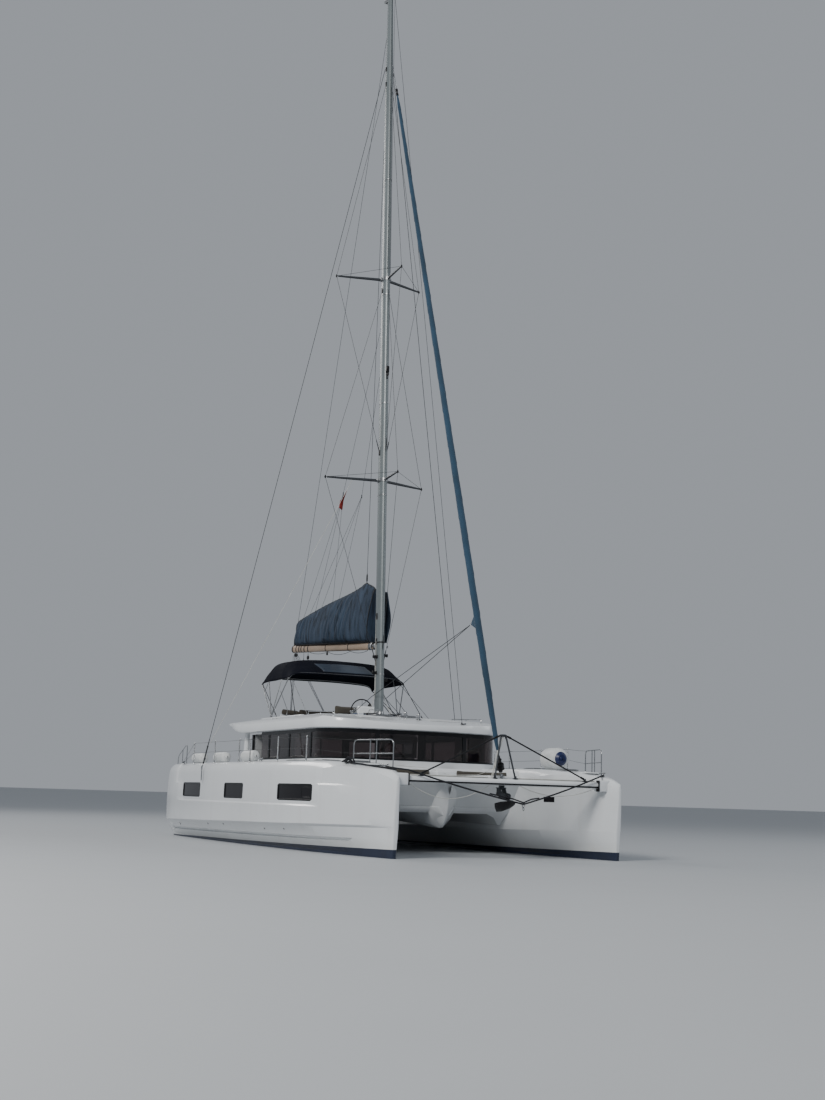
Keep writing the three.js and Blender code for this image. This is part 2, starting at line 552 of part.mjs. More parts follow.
// Bimini: an arched sheet carried on three bows
const BIMINI = { aft: -4420, front: -2180, side: 1800, skin: 22, bowInset: 55 };
const BIMINI_TABLE = rows(['x', 'edge', 'crown'], [
  [-4420, 4540, 4720], [-4200, 4545, 4990], [-3880, 4555, 5190],
  [-3300, 4560, 5240], [-2800, 4570, 5190], [-2450, 4580, 4990], [-2180, 4590, 4740]]);
const BIMINI_ARCH = [[-1, 0], [-0.985, 0.26], [-0.95, 0.55], [-0.87, 0.77], [-0.7, 0.9], [-0.35, 0.975],
  [0, 1],
  [0.35, 0.975], [0.7, 0.9], [0.87, 0.77], [0.95, 0.55], [0.985, 0.26], [1, 0]];

function biminiRing(x, thick) {
  const { edge, crown } = columnAt(BIMINI_TABLE, x);
  const arch = (shrink) => BIMINI_ARCH.map(([side, high]) =>
    [x, side * (BIMINI.side - shrink), edge + high * (crown - edge - shrink)]);
  return [...arch(0), ...arch(thick).reverse()];
}

function biminiCanopy() {
  return loft(BIMINI_TABLE.map(({ x }) => biminiRing(x, BIMINI.skin)), ([, y, z]) => [y, z]);
}

const BIMINI_FOOT = { x: -3250, y: 2015, z: 3510 };

function biminiFrame(hardtopSolid) {
  const foot = (side) => [BIMINI_FOOT.x, side * BIMINI_FOOT.y, BIMINI_FOOT.z];
  const archUnder = (x) => biminiRing(x, BIMINI.bowInset).slice(BIMINI_ARCH.length).reverse()
    .map(([px, py, pz]) => [px, py * 0.985, pz - 16]);
  const bow = (x) => bentTube([foot(-1), ...archUnder(x), foot(1)], 14, 6, 44);
  const [, shoulderY, shoulderZ] = archUnder(BIMINI.front - 40).at(-1);
  const stays = SIDES.map(([, side]) =>
    rod([BIMINI.front - 42, side * shoulderY, shoulderZ], [-480, side * 1890, 3430], 9, 9, 6));
  return cut(join(bow(BIMINI.aft + 40), bow(BIMINI.front - 40), ...stays),
    moved(hardtopSolid, 0, 0, SEAT_GAP));
}

// Rig, in the mast's own frame: Z runs up the raked mast and the foot is the origin
const mastLength = (MASTHEAD_Z - MAST_FOOT_Z) / Math.cos(MAST_RAKE);
const upMast = (z) => (z - MAST_FOOT_Z) / Math.cos(MAST_RAKE);
const MAST = { chord: 380, wide: 220 };
const SPREADERS = rows(['z', 'reach', 'sweep', 'strut'], [[10150, 1520, 570, 990], [16200, 1340, 520, 1050]]);
const GOOSENECK = { x: -330, z: 5470, pin: 15, barrel: 34, half: 60 };

function ellipse(alongX, acrossY) {
  const shape = new THREE.Shape();
  shape.absellipse(0, 0, alongX / 2, acrossY / 2, 0, 2 * Math.PI);
  return shape;
}

function mastRing(z, scale) {
  return Array.from({ length: 16 }, (_, i) => {
    const angle = (i * Math.PI) / 8;
    return [0.5 * MAST.chord * scale * Math.cos(angle), 0.5 * MAST.wide * scale * Math.sin(angle), z];
  });
}

function mast(roofInRig) {
  const tube = loft([[-60, 1], [upMast(18000), 0.97], [upMast(HOUNDS_Z), 0.88], [mastLength, 0.62]]
    .map(([z, scale]) => mastRing(z, scale)), ([x, y]) => [x, y]);
  const collar = planPrism(ellipse(MAST.chord + 110, MAST.wide + 110), -60, 55);
  const z = upMast(GOOSENECK.z);
  const near = GOOSENECK.half + RUN_GAP;
  const far = GOOSENECK.half + 30;
  const lugs = [[z + near, z + far], [z - far, z - near]]
    .map(([low, high]) => box(GOOSENECK.x - 40, -100, -40, 40, low, high));
  const pin = rod([GOOSENECK.x, 0, z - far + 2], [GOOSENECK.x, 0, z + far - 2],
    GOOSENECK.pin, GOOSENECK.pin, 12);
  const crane = profilePrism([[-330, mastLength - 60], [-90, mastLength - 130], [150, mastLength - 130],
    [260, mastLength - 40], [260, mastLength + 20], [-330, mastLength + 20]], -55, 55);
  const lamp = box(130, 250, -55, 55, upMast(13050), upMast(13500));
  return cut(join(tube, collar, ...lugs, pin, crane, lamp), roofInRig);
}

function spreaderSet({ z, reach, sweep, strut }) {
  const height = upMast(z);
  const sleeve = planPrism(ellipse(MAST.chord + 40, MAST.wide + 40), height - 50, height + 50);
  const arms = SIDES.map(([, side]) =>
    rod([-40, side * 60, height], [-sweep, side * reach, height + 60], 42, 26, 8));
  const jumper = rod([60, 0, height], [strut, 0, height + 40], 36, 22, 8);
  const tube = planPrism(ellipse(MAST.chord + 2 * SEAT_GAP, MAST.wide + 2 * SEAT_GAP),
    height - 200, height + 200);
  return cut(join(sleeve, ...arms, jumper), tube);
}

// Local frame of the boom: the gooseneck's pin is the origin and the boom runs along -X
const BOOM = { length: 6230, deep: 215, wide: 150, tilt: THREE.MathUtils.degToRad(5.9) };

function boom() {
  const section = new THREE.Shape();
  section.absellipse(0, 0, BOOM.wide / 2, BOOM.deep / 2, 0, 2 * Math.PI);
  const lifted = new THREE.Matrix4().makeRotationY(BOOM.tilt);
  const spar = sectionPrism(section, -BOOM.length, -150).applyMatrix4(lifted);
  const neck = rod([-190, 0, 190 * Math.sin(BOOM.tilt)], [0, 0, 0], 48, GOOSENECK.barrel, 12);
  const barrel = rod([0, 0, -GOOSENECK.half], [0, 0, GOOSENECK.half], GOOSENECK.barrel, GOOSENECK.barrel, 16);
  const bore = rod([0, 0, -400], [0, 0, 400], GOOSENECK.pin + 2, GOOSENECK.pin + 2, 12);
  const cap = box(-BOOM.length - 60, -BOOM.length + 20, -60, 60, -90, 90).applyMatrix4(lifted);
  return cut(join(spar, neck, barrel, cap), bore);
}

// Stowed mainsail in its cover: along, half width, height above the boom's axis
const COVER = rows(['x', 'wide', 'top'], [
  [-6020, 110, 900], [-5000, 190, 1080], [-3500, 250, 1330], [-2000, 270, 1520],
  [-1050, 250, 1790], [-620, 200, 1740], [-330, 130, 1690]]);
const COVER_FOOT = 112;

function sailCover() {
  const ring = ({ x, wide, top }) => [
    [x, -0.35 * wide, COVER_FOOT], [x, -0.9 * wide, COVER_FOOT + 0.12 * top],
    [x, -wide, COVER_FOOT + 0.28 * top],
    [x, -0.72 * wide, 0.66 * top], [x, -0.22 * wide, 0.95 * top], [x, 0, top], [x, 0.22 * wide, 0.95 * top],
    [x, 0.72 * wide, 0.66 * top], [x, wide, COVER_FOOT + 0.28 * top],
    [x, 0.9 * wide, COVER_FOOT + 0.12 * top],
    [x, 0.35 * wide, COVER_FOOT]];
  return loft(COVER.map(ring), ([, y, z]) => [y, z]);
}

// Standing rigging and the furled headsail
const BEAM = { x: 6980, z: 1730, radius: 75, half: 2600 };
const BOSS = { aft: -130, front: 110, inner: 2500, low: 150, high: 130 };
const mastAt = (z) => -(z - MAST_FOOT_Z) * Math.tan(MAST_RAKE);
const STAY_FOOT = [6960, 0, BEAM.z + BEAM.radius + 62];
const STAY_HEAD = [mastAt(HOUNDS_Z) + 235, 0, HOUNDS_Z];
const CHAINPLATE = { x: -2750, y: 4042, z: 1850 };

function along(from, to, share) {
  return from.map((value, i) => value + (to[i] - value) * share);
}

function furledSail() {
  const at = (share) => along(STAY_FOOT, STAY_HEAD, share);
  return join(rod(STAY_FOOT, STAY_HEAD, 14, 14, 8), rod(at(0.03), at(0.1), 62, 84, 12),
    rod(at(0.1), at(0.3), 84, 92, 12), rod(at(0.3), at(0.93), 92, 48, 12),
    rod(at(0.945), at(0.96), 40, 40, 10));
}

function furlerDrum() {
  const profile = [[15, 0], [95, 0], [95, 14], [60, 30], [60, 120], [95, 136],
    [95, 150], [40, 170], [40, 230],
    [15, 230], [15, 0]];
  return turned(profile, 16);
}

function capShroud(hullSolid) {
  const low = [CHAINPLATE.x, -CHAINPLATE.y - 22, CHAINPLATE.z];
  const high = [mastAt(HOUNDS_Z) - 20, -135, HOUNDS_Z - 60];
  const strap = box(CHAINPLATE.x - 35, CHAINPLATE.x + 35, -CHAINPLATE.y - 30, -CHAINPLATE.y - 12,
    CHAINPLATE.z - 230, CHAINPLATE.z + 90);
  return cut(join(strap, rod(along(low, high, 0.001), along(low, high, 0.03), 20, 20, 8),
    rod(low, high, 10, 10, 6)),
    moved(hullSolid, 0, -SEAT_GAP, 0));
}

// Crossbeam, its seagull striker, the walkway, trampolines and the anchor
function crossbeam() {
  const tube = rod([BEAM.x, -BEAM.half, BEAM.z], [BEAM.x, BEAM.half, BEAM.z], BEAM.radius, BEAM.radius, 16);
  const bosses = SIDES.map(([, side]) => box(BEAM.x + BOSS.aft, BEAM.x + BOSS.front,
    Math.min(side * BOSS.inner, side * 2900),
    Math.max(side * BOSS.inner, side * 2900), BEAM.z - BOSS.low, BEAM.z + BOSS.high));
  const fork = box(STAY_FOOT[0] - 45, STAY_FOOT[0] + 45, -30, 30, BEAM.z, STAY_FOOT[2] - 14 - SEAT_GAP);
  return join(tube, ...bosses, fork);
}

const STRIKER = { foot: 380, top: 105, height: 2790, x: 6850, end: 2160 };

function striker() {
  const floor = BEAM.z + BEAM.radius + 12;
  const legs = SIDES.map(([, side]) =>
    rod([BEAM.x, side * STRIKER.foot, floor], [STRIKER.x, side * STRIKER.top, STRIKER.height], 22, 22, 8));
  const bar = rod([STRIKER.x, -STRIKER.top - 30, STRIKER.height],
    [STRIKER.x, STRIKER.top + 30, STRIKER.height],
    28, 28, 10);
  const stays = SIDES.map(([, side]) => rod([STRIKER.x, side * (STRIKER.top - 20), STRIKER.height + 5],
    [BEAM.x, side * STRIKER.end, floor], 11, 11, 7));
  const feet = SIDES.flatMap(([, side]) => [STRIKER.foot, STRIKER.end].map((y) =>
    box(BEAM.x - 40, BEAM.x + 40, side * y - 50, side * y + 50,
      BEAM.z + BEAM.radius + SEAT_GAP, floor + 10)));
  return join(...legs, bar, ...stays, ...feet);
}

const WALKWAY = { half: 330, z0: 1790, z1: 1870, front: 6840 };

function walkway(beamSolid) {
  const plank = box(BRIDGEDECK.front + SEAT_GAP, WALKWAY.front, -WALKWAY.half,
    WALKWAY.half, WALKWAY.z0, WALKWAY.z1);
  const rib = box(BRIDGEDECK.front + SEAT_GAP, WALKWAY.front, -110, 110, WALKWAY.z0 - 130, WALKWAY.z0 + 10);
  const saddle = box(WALKWAY.front - 10, BEAM.x - 30, -110, 110, BEAM.z - 50, BEAM.z + 50);
  return cut(join(plank, rib, saddle), moved(beamSolid, -SEAT_GAP, 0, 0));
}

const NET = { z0: 1820, z1: 1836, clear: 12 };

function trampoline() {
  const front = BEAM.x - BEAM.radius - NET.clear;
  const edge = [BRIDGEDECK.front + SEAT_GAP, 4800, 5300, 5800, 6300, 6600, front]
    .map((x) => [x, -columnAt(HULL_TABLE, x).inn + NET.clear]);
  const outline = [...edge, [front, -WALKWAY.half - SEAT_GAP],
    [BRIDGEDECK.front + SEAT_GAP, -WALKWAY.half - SEAT_GAP]];
  const bossCorner = box(BEAM.x + BOSS.aft - NET.clear, BEAM.x, -3000, -BOSS.inner + NET.clear,
    NET.z0 - 10, NET.z1 + 10);
  return cut(planPrism(outline, NET.z0, NET.z1), bossCorner);
}

function anchor() {
  const cheeks = SIDES.map(([, side]) => box(6700, 7130, side * 75 - 7, side * 75 + 7, 1330, 1500));
  const bridge = box(6700, 6860, -82, 82, 1460, 1600);
  const post = box(6780, 6860, -60, 60, 1500, BEAM.z - BEAM.radius - 70);
  const roller = rod([7080, -80, 1400], [7080, 80, 1400], 42, 42, 12);
  const shank = rod([6600, 0, 1475], [7190, 0, 1360], 26, 26, 6);
  const fluke = loft([[[7190, -16, 1385], [7190, 16, 1385], [7190, 16, 1325], [7190, -16, 1325]],
    [[7120, -200, 1235], [7120, 200, 1235], [7120, 200, 1215], [7120, -200, 1215]],
    [[6800, -30, 1215], [6800, 30, 1215], [6800, 30, 1200], [6800, -30, 1200]]], ([, y, z]) => [y, z]);
  return join(...cheeks, bridge, post, roller, shank, fluke);
}

// Deck gear
const PULPIT = { aft: [5490, 3150], front: [6780, 2760], top: 2590, mid: 2280, posts: [0, 0.42, 0.58, 1] };

function pulpit() {
  const at = (share, z) => [THREE.MathUtils.lerp(PULPIT.aft[0], PULPIT.front[0], share),
    -THREE.MathUtils.lerp(PULPIT.aft[1], PULPIT.front[1], share), z];
  const deck = (share) => columnAt(HULL_TABLE, at(share, 0)[0]).deck + 12;
  const rails = [PULPIT.top, PULPIT.mid].map((z) => rod(at(0, z), at(1, z), 13, 13, 8));
  const posts = PULPIT.posts.map((share) => rod(at(share, deck(share)), at(share, PULPIT.top), 13, 13, 8));
  const feet = PULPIT.posts.map((share) =>
    rod(at(share, deck(share)), at(share, deck(share) + 14), 34, 30, 8));
  return join(...rails, ...posts, ...feet);
}

function fender(radius, length) {
  const profile = [[0, -length / 2], [0.28 * radius, -length / 2], [0.3 * radius, -0.44 * length],
    [0.75 * radius, -0.4 * length], [radius, -0.3 * length], [radius, 0.3 * length],
    [0.75 * radius, 0.4 * length],
    [0.3 * radius, 0.44 * length], [0.28 * radius, length / 2], [0, length / 2]];
  return turned(profile, 14).rotateY(Math.PI / 2);
}

function engineHatch() {
  return box(ENGINE_HATCH.aft + RUN_GAP, ENGINE_HATCH.front - RUN_GAP, -ENGINE_HATCH.outer + RUN_GAP,
    -ENGINE_HATCH.inner - RUN_GAP, DECK_Z - 50, DECK_Z + 4);
}

function cockpitTable() {
  const top = box(-4900, -4000, 150, 1250, 1800, 1840);
  const leg = rod([-4450, 700, SOLE_Z + SEAT_GAP], [-4450, 700, 1810], 60, 60, 12);
  return join(top, leg, rod([-4450, 700, SOLE_Z + SEAT_GAP], [-4450, 700, SOLE_Z + 25], 160, 140, 12));
}

function saloonSettee() {
  const seat = join(box(900, 2200, -1500, 1500, SOLE_Z + SEAT_GAP, 1560),
    box(2080, 2300, -1500, 1500, 1400, 1980));
  return cut(seat, box(800, 1500, -900, 900, 1000, 1700));
}

function galley() {
  return join(box(-2400, 600, 1080, 1640, SOLE_Z + SEAT_GAP, 2020), box(-2440, 640, 1040, 1660, 1990, 2030));
}

// Assembly
const boat = new THREE.Group();
boat.name = 'sailing_catamaran';

function add(name, geometry, finish, parent = boat) {
  const mesh = new THREE.Mesh(geometry, new THREE.MeshStandardMaterial(MATERIALS[finish]));
  mesh.name = name;
  parent.add(mesh);
  return mesh;
}

const hullSolid = hull();
const hullSolids = [hullSolid, mirrored(hullSolid)];
const keelSolid = keel(hullSolid);
const driveSolid = saildrive(hullSolid);
for (const [name, side] of SIDES) {
  add(`hull_${name}`, onSide(hullSolid, side), 'gelcoat');
  add(`keel_${name}`, onSide(keelSolid, side), 'antifouling');
  add(`rudder_${name}`, rudder(), 'antifouling').position.set(RUDDER.x, side * HULL_CENTRE, 0);
  add(`saildrive_${name}`, onSide(driveSolid, side), 'antifouling');
  add(`propeller_${name}`, propeller(), 'bronze')
    .position.set(DRIVE.back - RUN_GAP, side * HULL_CENTRE, DRIVE.z);
  add(`engine_hatch_${name}`, onSide(asGeometry(asSolid(engineHatch())), side), 'gelcoat');
  add(`trampoline_${name}`, onSide(trampoline(), side), 'net');
  add(`pulpit_${name}`, onSide(pulpit(), side), 'steel');
  add(`cap_shroud_${name}`, onSide(capShroud(hullSolid), side), 'steel');
}
const wholeDeck = bridgedeck(hullSolids);
for (const [name, limits] of DECK_PARTS) {
  add(name, common(wholeDeck, box(...limits)), 'gelcoat');
}
add('saloon_walls', saloonWalls(hullSolids), 'gelcoat');
add('window_front', pane(1900, 4000, FRONT_POSTS[0] + POST / 2, FRONT_POSTS[1] - POST / 2), 'glass');
for (const [name, side] of SIDES) {
  const corner = asGeometry(asSolid(pane(SIDE_POSTS[3] + POST, 4000, -4000, FRONT_POSTS[0] - POST / 2)));
  add(`window_corner_${name}`, onSide(corner, side), 'glass');
  for (const i of [0, 1, 2]) {
    const geometry = asGeometry(
      asSolid(pane(SIDE_POSTS[i] + (i === 0 ? 40 : POST), SIDE_POSTS[i + 1], -4000, 0)));
    add(`window_side_${name}_${i + 1}`, onSide(geometry, side), 'glass');
  }
}
add('saloon_door', saloonDoor(), 'glass');
const hardtopSolid = cut(hardtop(), ...hullSolids.map((solid) => moved(solid, 0, 0, SEAT_GAP)));
add('hardtop', hardtopSolid, 'gelcoat');
add('saloon_settee', saloonSettee(), 'cushion');
add('galley', galley(), 'teak');
add('cockpit_table', cockpitTable(), 'teak');
add('helm_console', helmConsole(), 'gelcoat');
const wheel = add('steering_wheel', steeringWheel(), 'steel');
wheel.position.set(WHEEL.x, WHEEL.y, WHEEL.z);
add('fly_settee', settee(-3735, -3070, -1460, 300, [-3735, -3620, -1460, 300], 3805), 'cushion');
add('helm_seat', settee(-2150, -1720, -440, 490, [-2150, -2040, -440, 490], 3870), 'cushion');
add('bimini_canopy', biminiCanopy(), 'canvas');
add('bimini_frame', biminiFrame(hardtopSolid), 'steel');

const rig = new THREE.Group();
rig.position.set(0, 0, MAST_FOOT_Z);
rig.rotation.y = -MAST_RAKE;
rig.updateMatrix();
boat.add(rig);
const roofInRig = moved(hardtopSolid, 0, 0, SEAT_GAP).applyMatrix4(rig.matrix.clone().invert());
add('mast', mast(roofInRig), 'spar', rig);
SPREADERS.forEach((set, i) => add(['spreaders_lower', 'spreaders_upper'][i], spreaderSet(set), 'spar', rig));
const boomGroup = new THREE.Group();
boomGroup.position.set(GOOSENECK.x, 0, upMast(GOOSENECK.z));
rig.add(boomGroup);
const swung = new THREE.Matrix4().makeRotationY(BOOM.tilt);
add('boom', boom(), 'boom', boomGroup);
add('sail_cover', sailCover().applyMatrix4(swung).translate(0, 0, 2), 'cover', boomGroup);

const stayAim = new THREE.Quaternion().setFromUnitVectors(new THREE.Vector3(0, 0, 1),
  new THREE.Vector3(...STAY_HEAD).sub(new THREE.Vector3(...STAY_FOOT)).normalize());
add('furled_headsail', furledSail(), 'furled');
const drum = add('furler_drum', furlerDrum(), 'black');
drum.quaternion.copy(stayAim);
drum.position.set(...along(STAY_FOOT, STAY_HEAD, 0.0045));
const beamSolid = cut(crossbeam(), ...hullSolids.map((solid, i) =>
  moved(solid, 0, i === 0 ? SEAT_GAP : -SEAT_GAP, 0)));
add('crossbeam', beamSolid, 'spar');
add('striker', striker(), 'steel');
add('walkway', walkway(beamSolid), 'gelcoat');
add('anchor', anchor(), 'steel');

const FENDERS = rows(['name', 'x', 'y', 'radius', 'length'], [
  ['fender_starboard_1', -4150, -3640, 155, 950], ['fender_starboard_2', -2150, -3660, 155, 950],
  ['fender_starboard_3', 50, -3660, 155, 950], ['fender_port_large', 4150, 2980, 275, 800]]);
for (const { name, x, y, radius, length } of FENDERS) {
  add(name, fender(radius, length), 'fender').position.set(x, y, DECK_Z + radius + 25);
}

export default boat;
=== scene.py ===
"""Sailing catamaran: the finished look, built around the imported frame.

Metres, +X to the bow, +Y to port, +Z up, with the origin on the waterline amidships.
"""
import math

import bmesh
import bpy
from bpy.props import FloatProperty, FloatVectorProperty, IntProperty
from mathutils import Matrix, Vector
from mathutils.bvhtree import BVHTree


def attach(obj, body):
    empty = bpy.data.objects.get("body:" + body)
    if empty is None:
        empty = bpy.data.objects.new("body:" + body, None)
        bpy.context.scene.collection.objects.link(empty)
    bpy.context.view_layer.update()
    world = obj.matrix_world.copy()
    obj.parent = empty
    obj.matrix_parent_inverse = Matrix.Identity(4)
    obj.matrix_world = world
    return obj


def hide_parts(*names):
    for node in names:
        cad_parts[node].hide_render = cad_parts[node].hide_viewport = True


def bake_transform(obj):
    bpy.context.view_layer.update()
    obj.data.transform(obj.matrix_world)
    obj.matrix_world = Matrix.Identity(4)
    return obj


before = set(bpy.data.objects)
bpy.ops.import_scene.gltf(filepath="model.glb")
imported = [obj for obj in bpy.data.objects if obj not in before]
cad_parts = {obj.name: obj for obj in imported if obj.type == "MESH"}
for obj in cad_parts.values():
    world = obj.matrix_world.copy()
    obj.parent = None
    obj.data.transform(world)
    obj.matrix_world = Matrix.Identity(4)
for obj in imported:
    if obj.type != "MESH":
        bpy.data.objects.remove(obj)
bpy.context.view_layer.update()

bl_info = {
    "name": "Sailing catamaran",
    "version": (1, 0, 0),
    "blender": (4, 5, 0),
    "location": "View3D > Sidebar > Catamaran",
    "description": "Builds a cruising catamaran with its deck gear and rig",
    "category": "Object",
}

SIDES = (("starboard", -1), ("port", 1))
HULL_CENTRE = 2.9
STERN_X = -7.375
STEM_X = 7.375
DECK_Z = 2.12
SOLE_Z = 1.12
FLY_FLOOR_Z = 3.13
MAST_FOOT_Z = 3.49
MAST_RAKE = math.radians(2.27)
GOOSENECK = Vector((-0.4082, 0, 5.4569))
BOOM_TILT = math.radians(5.9) - MAST_RAKE
MASTHEAD_Z = 25.4
UP = Vector((0, 0, 1))


# Numbers along curves
def mix(a, b, share):
    return a + (b - a) * share


def angles(count):
    """Equal steps round a full turn."""
    return [2 * math.pi * k / count for k in range(count)]


def front_quarter(count):
    """Steps of a plan's round corner, from facing starboard to facing ahead."""
    return [math.pi / 2 * (k / count - 1) for k in range(count + 1)]


def step_up(low, high, value):
    """Rises smoothly from 0 at low to 1 at high."""
    share = min(max((value - low) / (high - low), 0), 1)
    return share * share * (3 - 2 * share)


def table_at(table, x):
    """Smooth values at x from the rows of a table, whose first column is x."""
    last = len(table) - 1
    i = next((k for k in range(last) if x < table[k + 1][0]), last - 1)
    width = table[i + 1][0] - table[i][0]
    t = (x - table[i][0]) / width

    def slope(k, column):
        low, high = table[max(k - 1, 0)], table[min(k + 1, last)]
        return (high[column] - low[column]) / (high[0] - low[0])

    values = []
    for column in range(1, len(table[0])):
        a, b = table[i][column], table[i + 1][column]
        rise = (2 * t**3 - 3 * t**2 + 1) * a + (3 * t**2 - 2 * t**3) * b
        lean = (t**3 - 2 * t**2 + t) * slope(i, column) + (t**3 - t**2) * slope(i + 1, column)
        values.append(rise + lean * width)
    return values


def line_at(points, x):
    """Straight-line value at x from (x, value) points."""
    if x <= points[0][0]:
        return points[0][1]
    for (x0, a), (x1, b) in zip(points, points[1:]):
        if x <= x1:
            return mix(a, b, (x - x0) / (x1 - x0))
    return points[-1][1]


def on_boom(x, y, z):
    """A point of the boom's own frame, in the boat's frame; the boom runs along -X."""
    return GOOSENECK + Vector((x * math.cos(BOOM_TILT) + z * math.sin(BOOM_TILT), y,
                               -x * math.sin(BOOM_TILT) + z * math.cos(BOOM_TILT)))


# Mesh pieces
def paint(bm, index):
    """Gives every face that has no finish yet this material."""
    painted = bm.faces.layers.int.get("painted") or bm.faces.layers.int.new("painted")
    for face in bm.faces:
        if not face[painted]:
            face[painted] = 1
            face.material_index = index


def skin(bm, rows, closed=True, ends=False):
    """Draws the first row as a line of edges and extrudes it through the other rows."""
    ring = [bm.verts.new(point) for point in rows[0]]
    pairs = list(zip(ring, ring[1:]))
    if closed:
        pairs.append((ring[-1], ring[0]))
    edges = [bm.edges.new(pair) for pair in pairs]
    first = edges
    for row in rows[1:]:
        made = bmesh.ops.extrude_edge_only(bm, edges=edges)["geom"]
        fresh = {item for item in made if isinstance(item, bmesh.types.BMVert)}
        edges = [item for item in made if isinstance(item, bmesh.types.BMEdge)]
        ring = [next(e.other_vert(v) for e in v.link_edges if e.other_vert(v) in fresh) for v in ring]
        for vert, point in zip(ring, row):
            vert.co = point
    if ends:
        bmesh.ops.contextual_create(bm, geom=first)
        bmesh.ops.contextual_create(bm, geom=edges)


def bevel(bm, edges, width, segments):
    """Rounds edges of a mesh."""
    return bmesh.ops.bevel(bm, geom=edges, offset=width, segments=segments, affect="EDGES", profile=0.5,
                           material=-1)


def cube(bm, place, size, round_by=0.0, segments=2):
    """A box of three sizes put in place by a matrix, with its edges rounded."""
    verts = bmesh.ops.create_cube(bm, size=1, matrix=place @ Matrix.Diagonal((*size, 1)))["verts"]
    if round_by:
        verts = bevel(bm, list({edge for vert in verts for edge in vert.link_edges}), round_by,
                      segments)["verts"]
    return verts


def block(bm, x0, x1, y0, y1, z0, z1, round_by=0.0, segments=2):
    """A box between two corners, with its edges rounded."""
    place = Matrix.Translation(((x0 + x1) / 2, (y0 + y1) / 2, (z0 + z1) / 2))
    return cube(bm, place, (abs(x1 - x0), abs(y1 - y0), abs(z1 - z0)), round_by, segments)


def rod(bm, start, end, radius, end_radius=None, sides=12):
    """A round bar or cone between two points."""
    start, end = Vector(start), Vector(end)
    along = end - start
    turn = UP.rotation_difference(along).to_matrix().to_4x4()
    bmesh.ops.create_cone(bm, cap_ends=True, segments=sides, radius1=radius,
                          radius2=radius if end_radius is None else end_radius, depth=along.length,
                          matrix=Matrix.Translation((start + end) / 2) @ turn)


def ball(bm, centre, radius, sides=12):
    place = Matrix.Translation(centre) @ Matrix.Diagonal((radius, radius, radius, 1))
    bmesh.ops.create_uvsphere(bm, u_segments=sides, v_segments=max(sides // 2, 5), radius=1, matrix=place)


def turned(bm, profile, base, axis=(0, 0, 1), sides=24):
    """Spins a profile of (radius, height) points about an axis through base."""
    place = Matrix.Translation(base) @ UP.rotation_difference(Vector(axis)).to_matrix().to_4x4()
    verts = [bm.verts.new(place @ Vector((radius, 0, height))) for radius, height in profile]
    edges = [bm.edges.new(pair) for pair in zip(verts, verts[1:])]
    bmesh.ops.spin(bm, geom=verts + edges, cent=place.translation, axis=place.to_3x3() @ UP,
                   angle=2 * math.pi, steps=sides, use_merge=True)


def scaled(profile, size):
    return [(radius * size, height * size) for radius, height in profile]


def sheave(bm, centre, radius, waist, half, sides=20):
    """A grooved wheel whose axle lies across the boat."""
    turned(bm, [(0.0, -half), (radius, -half), (waist, 0.0), (radius, half), (0.0, half)], centre, (0, 1, 0),
           sides)


def pipe(bm, points, radius, sides=8, closed=False):
    """A round tube along points; radius is one number or one for each point."""
    points = [Vector(point) for point in points]
    count = len(points)
    radii = radius if isinstance(radius, (list, tuple)) else [radius] * count
    tangents = []
    for i in range(count):
        before = points[i - 1] if i or closed else points[0]
        after = points[(i + 1) % count] if i < count - 1 or closed else points[-1]
        tangents.append((after - before).normalized())
    side = tangents[0].orthogonal().normalized()
    rows = []
    for point, tangent, size in zip(points, tangents, radii):
        side = (side - tangent * side.dot(tangent)).normalized()
        up = tangent.cross(side)
        rows.append([point + size * (math.cos(a) * side + math.sin(a) * up) for a in angles(sides)])
    if closed:
        rows.append(rows[0])
    skin(bm, rows, ends=not closed)


def bent(points, radius, steps=4):
    """The points of a line whose corners are turned to arcs."""
    points = [Vector(point) for point in points]
    line = [points[0]]
    for before, corner, after in zip(points, points[1:], points[2:]):
        back = (before - corner).normalized()
        ahead = (after - corner).normalized()
        reach = min(radius, (before - corner).length * 0.49, (after - corner).length * 0.49)
        for k in range(steps + 1):
            t = k / steps
            line.append(corner + back * reach * (1 - t) ** 2 + ahead * reach * t**2)
    return line + [points[-1]]


def hanging(start, end, drop, steps=10):
    """The points of a line that sags by drop between two points."""
    start, end = Vector(start), Vector(end)
    return [start.lerp(end, k / steps) - Vector((0, 0, 4 * drop * (k / steps) * (1 - k / steps)))
            for k in range(steps + 1)]


def copy_of(*names):
    """A merged copy of CAD nodes' meshes."""
    bm = bmesh.new()
    for name in names:
        bm.from_mesh(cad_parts[name].data)
    bmesh.ops.remove_doubles(bm, verts=bm.verts, dist=1e-5)
    bmesh.ops.dissolve_limit(bm, angle_limit=math.radians(0.6), verts=bm.verts, edges=bm.edges)
    return bm


def new_object(name, data):
    """An object of this data, in the scene."""
    item = bpy.data.objects.new(name, data)
    bpy.context.scene.collection.objects.link(item)
    return item


def shaped(item):
    """An object as its modifiers leave it."""
    return item.evaluated_get(bpy.context.evaluated_depsgraph_get())


